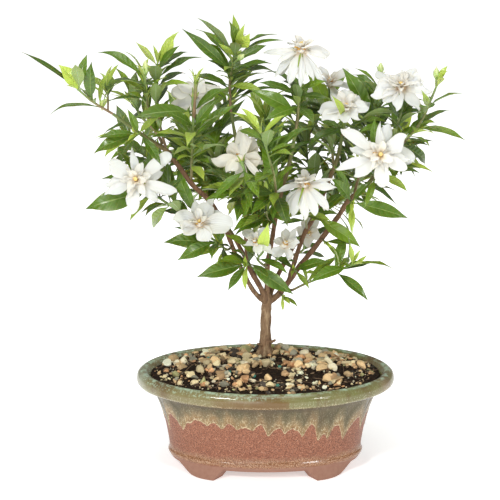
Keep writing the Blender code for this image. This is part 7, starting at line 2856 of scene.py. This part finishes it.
def lip_look(look, around, height, streaks, broad, hairs, dots):
    """The lip's glaze: pale with a painted sheen at the left, brown at the right, with an umber patch, mint
    flecks and a mint crest that is partly a painted highlight.
    """
    side = look.plus(around, look.range(look.noise(30.0, 3.0), 0.3, 0.7, -0.35, 0.35, soft=False))
    lip = look.mix(look.range(side, -0.1, 0.75), LIP_OLIVE, GLAZE_GREEN)
    lip = look.mix(look.range(broad, 0.45, 0.62, 0.0, 0.75), lip, GLAZE_BROWN)
    # Painted sheen: the left end of the lip is made paler, partly the glaze's grey-mint and partly the sheen
    # it shows
    lip = look.mix(look.range(side, *PALE_SHEEN_END, 0.0, 0.75), lip, LIP_PALE_AND_SHEEN)
    lip = look.mix(look.range(side, *BROWN_END, 0.0, 0.6), lip, LIP_BROWN)
    lip = look.mix(look.times(dots, look.range(height, *LIP_DOTS, 0.12, 0.55)), lip, LIP_DOT)
    shifted = look.plus(around, look.range(streaks, 0.3, 0.7, -0.04, 0.04, soft=False))
    patch = look.times(look.range(shifted, *PATCH[0]), look.range(shifted, *PATCH[1]))
    patch = look.times(patch, look.range(height, *LIP_PATCH, 0.25, 1.0))
    lip = look.mix(look.times(patch, look.range(broad, 0.3, 0.6, 0.55, 0.9)), lip, GLAZE_UMBER)
    # Mint along the top of the crest: partly the glaze's mint and partly a painted highlight
    crest_mint_and_highlight = look.times(look.range(height, *LIP_CREST_MINT_AND_HIGHLIGHT), look.range(look.noise(160.0, 4.0), 0.42, 0.6))
    lip = look.mix(look.times(crest_mint_and_highlight, 0.7), lip, GLAZE_MINT)
    flecks = look.range(look.noise(620.0, 3.0), 0.5, 0.66)
    flecks = look.times(flecks, look.range(height, *LIP_FLECKS, 0.0, 0.6))
    lip = look.mix(look.times(flecks, look.range(side, 0.5, -0.5, 0.15, 1.0)), lip, GLAZE_MINT)
    under = look.times(look.range(height, *UNDER_LIP[0]), look.range(height, *UNDER_LIP[1]))
    return look.mix(look.times(under, look.range(hairs, 0.45, 0.7, 0.0, 0.7)), lip, GLAZE_CREAM)


def pot_look():
    """Bare clay at the feet, brick red below, and a glaze that runs from cream drips to an olive lip."""
    look = Look("drip_glaze", Specular_IOR_Level=0.5)
    above, outer, around = look.marks()
    _, _, height = look.apart(look.place)
    streaks = look.noise(230.0, 5.0, 0.6, place=look.upright(0.16), distortion=0.4)
    broad = look.noise(45.0, 4.0, 0.55, place=look.upright(0.35))
    hairs = look.noise(900.0, 4.0, 0.6, place=look.upright(0.1))
    dots = look.range(look.noise(1200.0, 2.0, place=look.upright(0.6)), 0.56, 0.66)
    fine = look.noise(1500.0, 4.0)
    speck = look.range(look.noise(1900.0, 2.0), 0.63, 0.7)
    grain = look.noise(1300.0, 5.0, 0.85)
    brick = look.ramp(grain, (0.4, BRICK_DARK), (0.5, BRICK), (0.6, BRICK_PALE))
    brick = look.mix(look.times(speck, 0.75), brick, BRICK_SPECKLE)
    body = look.mix(look.range(above, -0.5, 0.1), brick, wall_look(look, above, streaks, broad, hairs, dots))
    # Painted shade in a band under the lip's overhang
    painted_lip_shade = look.times(look.range(height, *SHADE_UNDER_LIP[0]), look.range(height, *SHADE_UNDER_LIP[1], 0.0, 0.6))
    body = look.mix(painted_lip_shade, body, PAINTED_SHADE_UNDER_LIP)
    lip = lip_look(look, around, height, streaks, broad, hairs, dots)
    body = look.mix(look.range(height, *LIP_STARTS), body, lip)
    waver = look.range(look.noise(120.0, 3.0), 0.3, 0.7, -RIDGE_WAVER, RIDGE_WAVER, soft=False)
    by_ridge = look.plus(height, waver)
    on_ridge = look.times(look.range(by_ridge, *RIDGE[0]), look.range(by_ridge, *RIDGE[1]))
    body = look.mix(look.times(on_ridge, 0.52), body, look.ramp(fine, *RIDGE_TONES))
    clay = look.mix(look.noise(300.0, 4.0), CLAY, CLAY_PALE)
    body = look.mix(look.range(height, *BARE_CLAY), body, clay)
    inner = look.range(outer, 0.5, 0.1)
    body = look.mix(look.times(inner, look.range(height, *BARE_INSIDE)), body, INSIDE_CLAY)
    rough = look.range(above, -0.3, 0.8, 0.44, 0.2)
    rough = look.less(rough, look.range(height, *LIP_GLOSS, 0.0, 0.11))
    rough = look.less(rough, look.times(on_ridge, 0.28))
    rough = look.plus(rough, look.range(height, *BARE_CLAY, 0.0, 0.4))
    rough = look.plus(rough, look.range(fine, 0.3, 0.7, -0.03, 0.05), clamp=True)
    normal = look.bump(look.noise(60.0, 3.0), 0.25, 0.0012)
    normal = look.bump(look.plus(fine, speck), 0.12, 0.0003, normal)
    return look.finish(body, rough, normal)


FLOOR_WHITES = ((0.93, 0.93, 0.93), (0.95, 0.95, 0.95))
WHITE = (1.0, 1.0, 1.0, 1.0)


def floor_look():
    look = Look("floor")
    look.shader.inputs["Emission Color"].default_value = WHITE
    look.fill(look.shader.inputs["Emission Strength"], look.attribute("glow").outputs["Fac"])
    grain = look.noise(9.0, 3.0)
    colour = look.mix(grain, *FLOOR_WHITES)
    return look.finish(colour, look.range(grain, 0.3, 0.7, 0.9, 0.95), look.bump(grain, 0.02, 0.001))


# The camera and the light, placed from the middle of the pot at the level it stands on
EYE_FROM_POT = Vector((-12.1, -1490.0, 606.6))
AIM_FROM_POT = Vector((-12.1, 0.0, 177.0))
LENS = 144.3
SENSOR = 36.0
CLIP = (0.05, 60.0)
SOFTBOXES = (
    ("key", (-700, -1300, 1250), 300, 14.5), ("fill", (900, -1250, 900), 200, 6),
    ("front", (-300, -1500, 300), 600, 3.4), ("top", (0, -100, 1500), 900, 8.6),
)
SKY = 0.28

# The floor as rings: how far out each is in metres and how much it glows, like a sweep lit from behind
FLOOR_RINGS = ((0.0, 0.4), (0.13, 0.54), (0.24, 0.74), (0.5, 0.8), (1.2, 0.82), (14.0, 0.83))
FLOOR_AROUND = 64


def add_floor(scene):
    """Rings on the plane the pot stands on, whose glow the material reads."""
    points, faces, glow = [], [], []
    for ring, (reach, bright) in enumerate(FLOOR_RINGS):
        base, before = ring * FLOOR_AROUND, (ring - 1) * FLOOR_AROUND
        for side, turn in enumerate(around(FLOOR_AROUND)):
            following = (side + 1) % FLOOR_AROUND
            points.append((reach * math.cos(turn), reach * math.sin(turn), 0.0))
            glow.append(bright)
            if ring:
                faces.append((before + side, base + side, base + following, before + following))
    mesh = bpy.data.meshes.new("floor")
    mesh.from_pydata(points, [], faces)
    mesh.attributes.new("glow", "FLOAT", "POINT").data.foreach_set("value", glow)
    mesh.materials.append(floor_look())
    floor = bpy.data.objects.new("floor", mesh)
    scene.collection.objects.link(floor)


def aimed(scene, name, data, place):
    """A camera or a light at this place from the pot, turned to the plant."""
    thing = bpy.data.objects.new(name, data)
    thing.location = (SHIFT - Vector((0.0, 0.0, SHIFT.z)) + place) * MM
    thing.rotation_euler = (AIM_FROM_POT - place).to_track_quat("-Z", "Y").to_euler()
    scene.collection.objects.link(thing)
    return thing


def stage():
    scene = bpy.context.scene
    add_floor(scene)
    camera = bpy.data.cameras.new("camera")
    camera.lens = LENS
    camera.sensor_width = SENSOR
    camera.clip_start, camera.clip_end = CLIP
    scene.camera = aimed(scene, "camera", camera, EYE_FROM_POT)
    for name, place, size, power in SOFTBOXES:
        light = bpy.data.lights.new(name, "AREA")
        light.shape = "SQUARE"
        light.size = size * MM
        light.energy = power
        aimed(scene, name, light, Vector(place))
    world = bpy.data.worlds.new("sky")
    world.use_nodes = True
    background = world.node_tree.nodes["Background"]
    background.inputs["Color"].default_value = WHITE
    background.inputs["Strength"].default_value = SKY
    scene.world = world
    scene.view_settings.view_transform = "Standard"


# Leaves that look unlike the plan's, by where their tips are seen: (across, up, width's share, tint, age)
CHANGED_LEAVES = (
    (-192, 336.7, 0.45, 0.1, 0), (-170.6, 288.6, 0.6, 0.3, 0.05), (-150.1, 327.2, 1.3, 0.9, 0.15),
    (-65.6, 356.4, 0.62, 0.2, 0), (-14.2, 346, 1.4, 1, 1), (143.8, 325.6, 1.5, 1, 0.95),
    (-136.7, 328.8, 1.2, 0.2, 0), (113, 200.3, 1, 0.35, 0), (81.3, 133.4, 0.9, 0.3, 0),
    (-77.7, 184, 1.25, 0.3, 0), (-67.9, 170.4, 1.25, 0.35, 0), (-52.1, 157, 1.1, 0.3, 0),
    (19, 143.6, 1, 0.3, 0), (-139.8, 219.3, 1.25, 0.35, 0), (73.2, 182, 1, 0.35, 0),
    (88.2, 206.6, 0.9, 0.3, 0),
)

# Young leaves beyond the plan's, as (spray, stem, share of the stem, across, up, depth, roll, width, age)
YOUNG_LEAVES = (
    ("top", 0, 0.9, -28.5, 362.5, -2, 40, 0.4, 0.15), ("top", 0, 0.985, -12.5, 351, -12, -20, 0.56, 1),
    ("top", 0, 0.85, -37, 344, -2, 10, 0.26, 0.6), ("left_tip", 0, 0.9, -162.7, 327.2, -46, 25, 0.5, 1),
    ("bloom_upper_mid", 0, 0.72, 53, 301.2, -26, 35, 0.17, 0.9),
    ("low_blooms", 0, 0.8, 2.4, 196.4, -48, 10, 0.26, 1),
    ("far_right", 0, 0.98, 141, 322, -18, 40, 0.36, 1), ("left_upper", 1, 0.95, -92, 333, -34, 60, 0.4, 1),
    ("left_shoot", 0, 0.95, -72, 352, -20, -30, 0.3, 0.9),
)

# The bud that stands for an upright young shoot, by its spray
SHOOT_SPRAY = "bloom_top_left"


def change_leaves(plant):
    """Gives some leaves the width and colour they are seen with, and adds a few young ones."""
    everywhere = [leaf for stems in plant.sprays.values() for stem in stems for leaf in stem.leaves]
    places = [seen_at(leaf.point(1.0, 0.0)) for leaf in everywhere]
    for across, up, share, tint, age in CHANGED_LEAVES:
        away = [math.hypot(x - across, y - up) for x, y in places]
        leaf = everywhere[away.index(min(away))]
        leaf.slimmer = share
        leaf.shown = (tint, age)
    for spray, number, share, across, up, depth, roll, width, age in YOUNG_LEAVES:
        stem = plant.sprays[spray][number]
        base = along_path(stem.points, share)[0]
        leaf = plant.turned_leaf(base, spot(across, up, depth), roll, width, LEAF_ARCH)
        leaf.age = YOUNG
        leaf.shown = (0.25 + 0.75 * age, age)
        stem.leaves.append(leaf)


def main():
    plant = Plant()
    plant.grow()
    add_small_leaves(plant)
    change_leaves(plant)
    draw = random.Random(SEED + 4)
    looks = [stem_look(), leaf_upper(), leaf_under(), bud_look()]
    for name, stems in plant.sprays.items():
        add_spray(name, stems, draw, looks)
    petal, stigma = petal_look(), stigma_look()
    for name, bloom in plant.blooms.items():
        add_bloom(name, bloom, draw, petal, looks[1])
        add_stigma(name, bloom, draw, stigma)
    add_wood(plant, bark_look())
    add_soil(soil_look())
    add_grit(stone_look())
    add_litter(litter_look(), pellet_look())
    add_pot(pot_look())
    stage()


main()
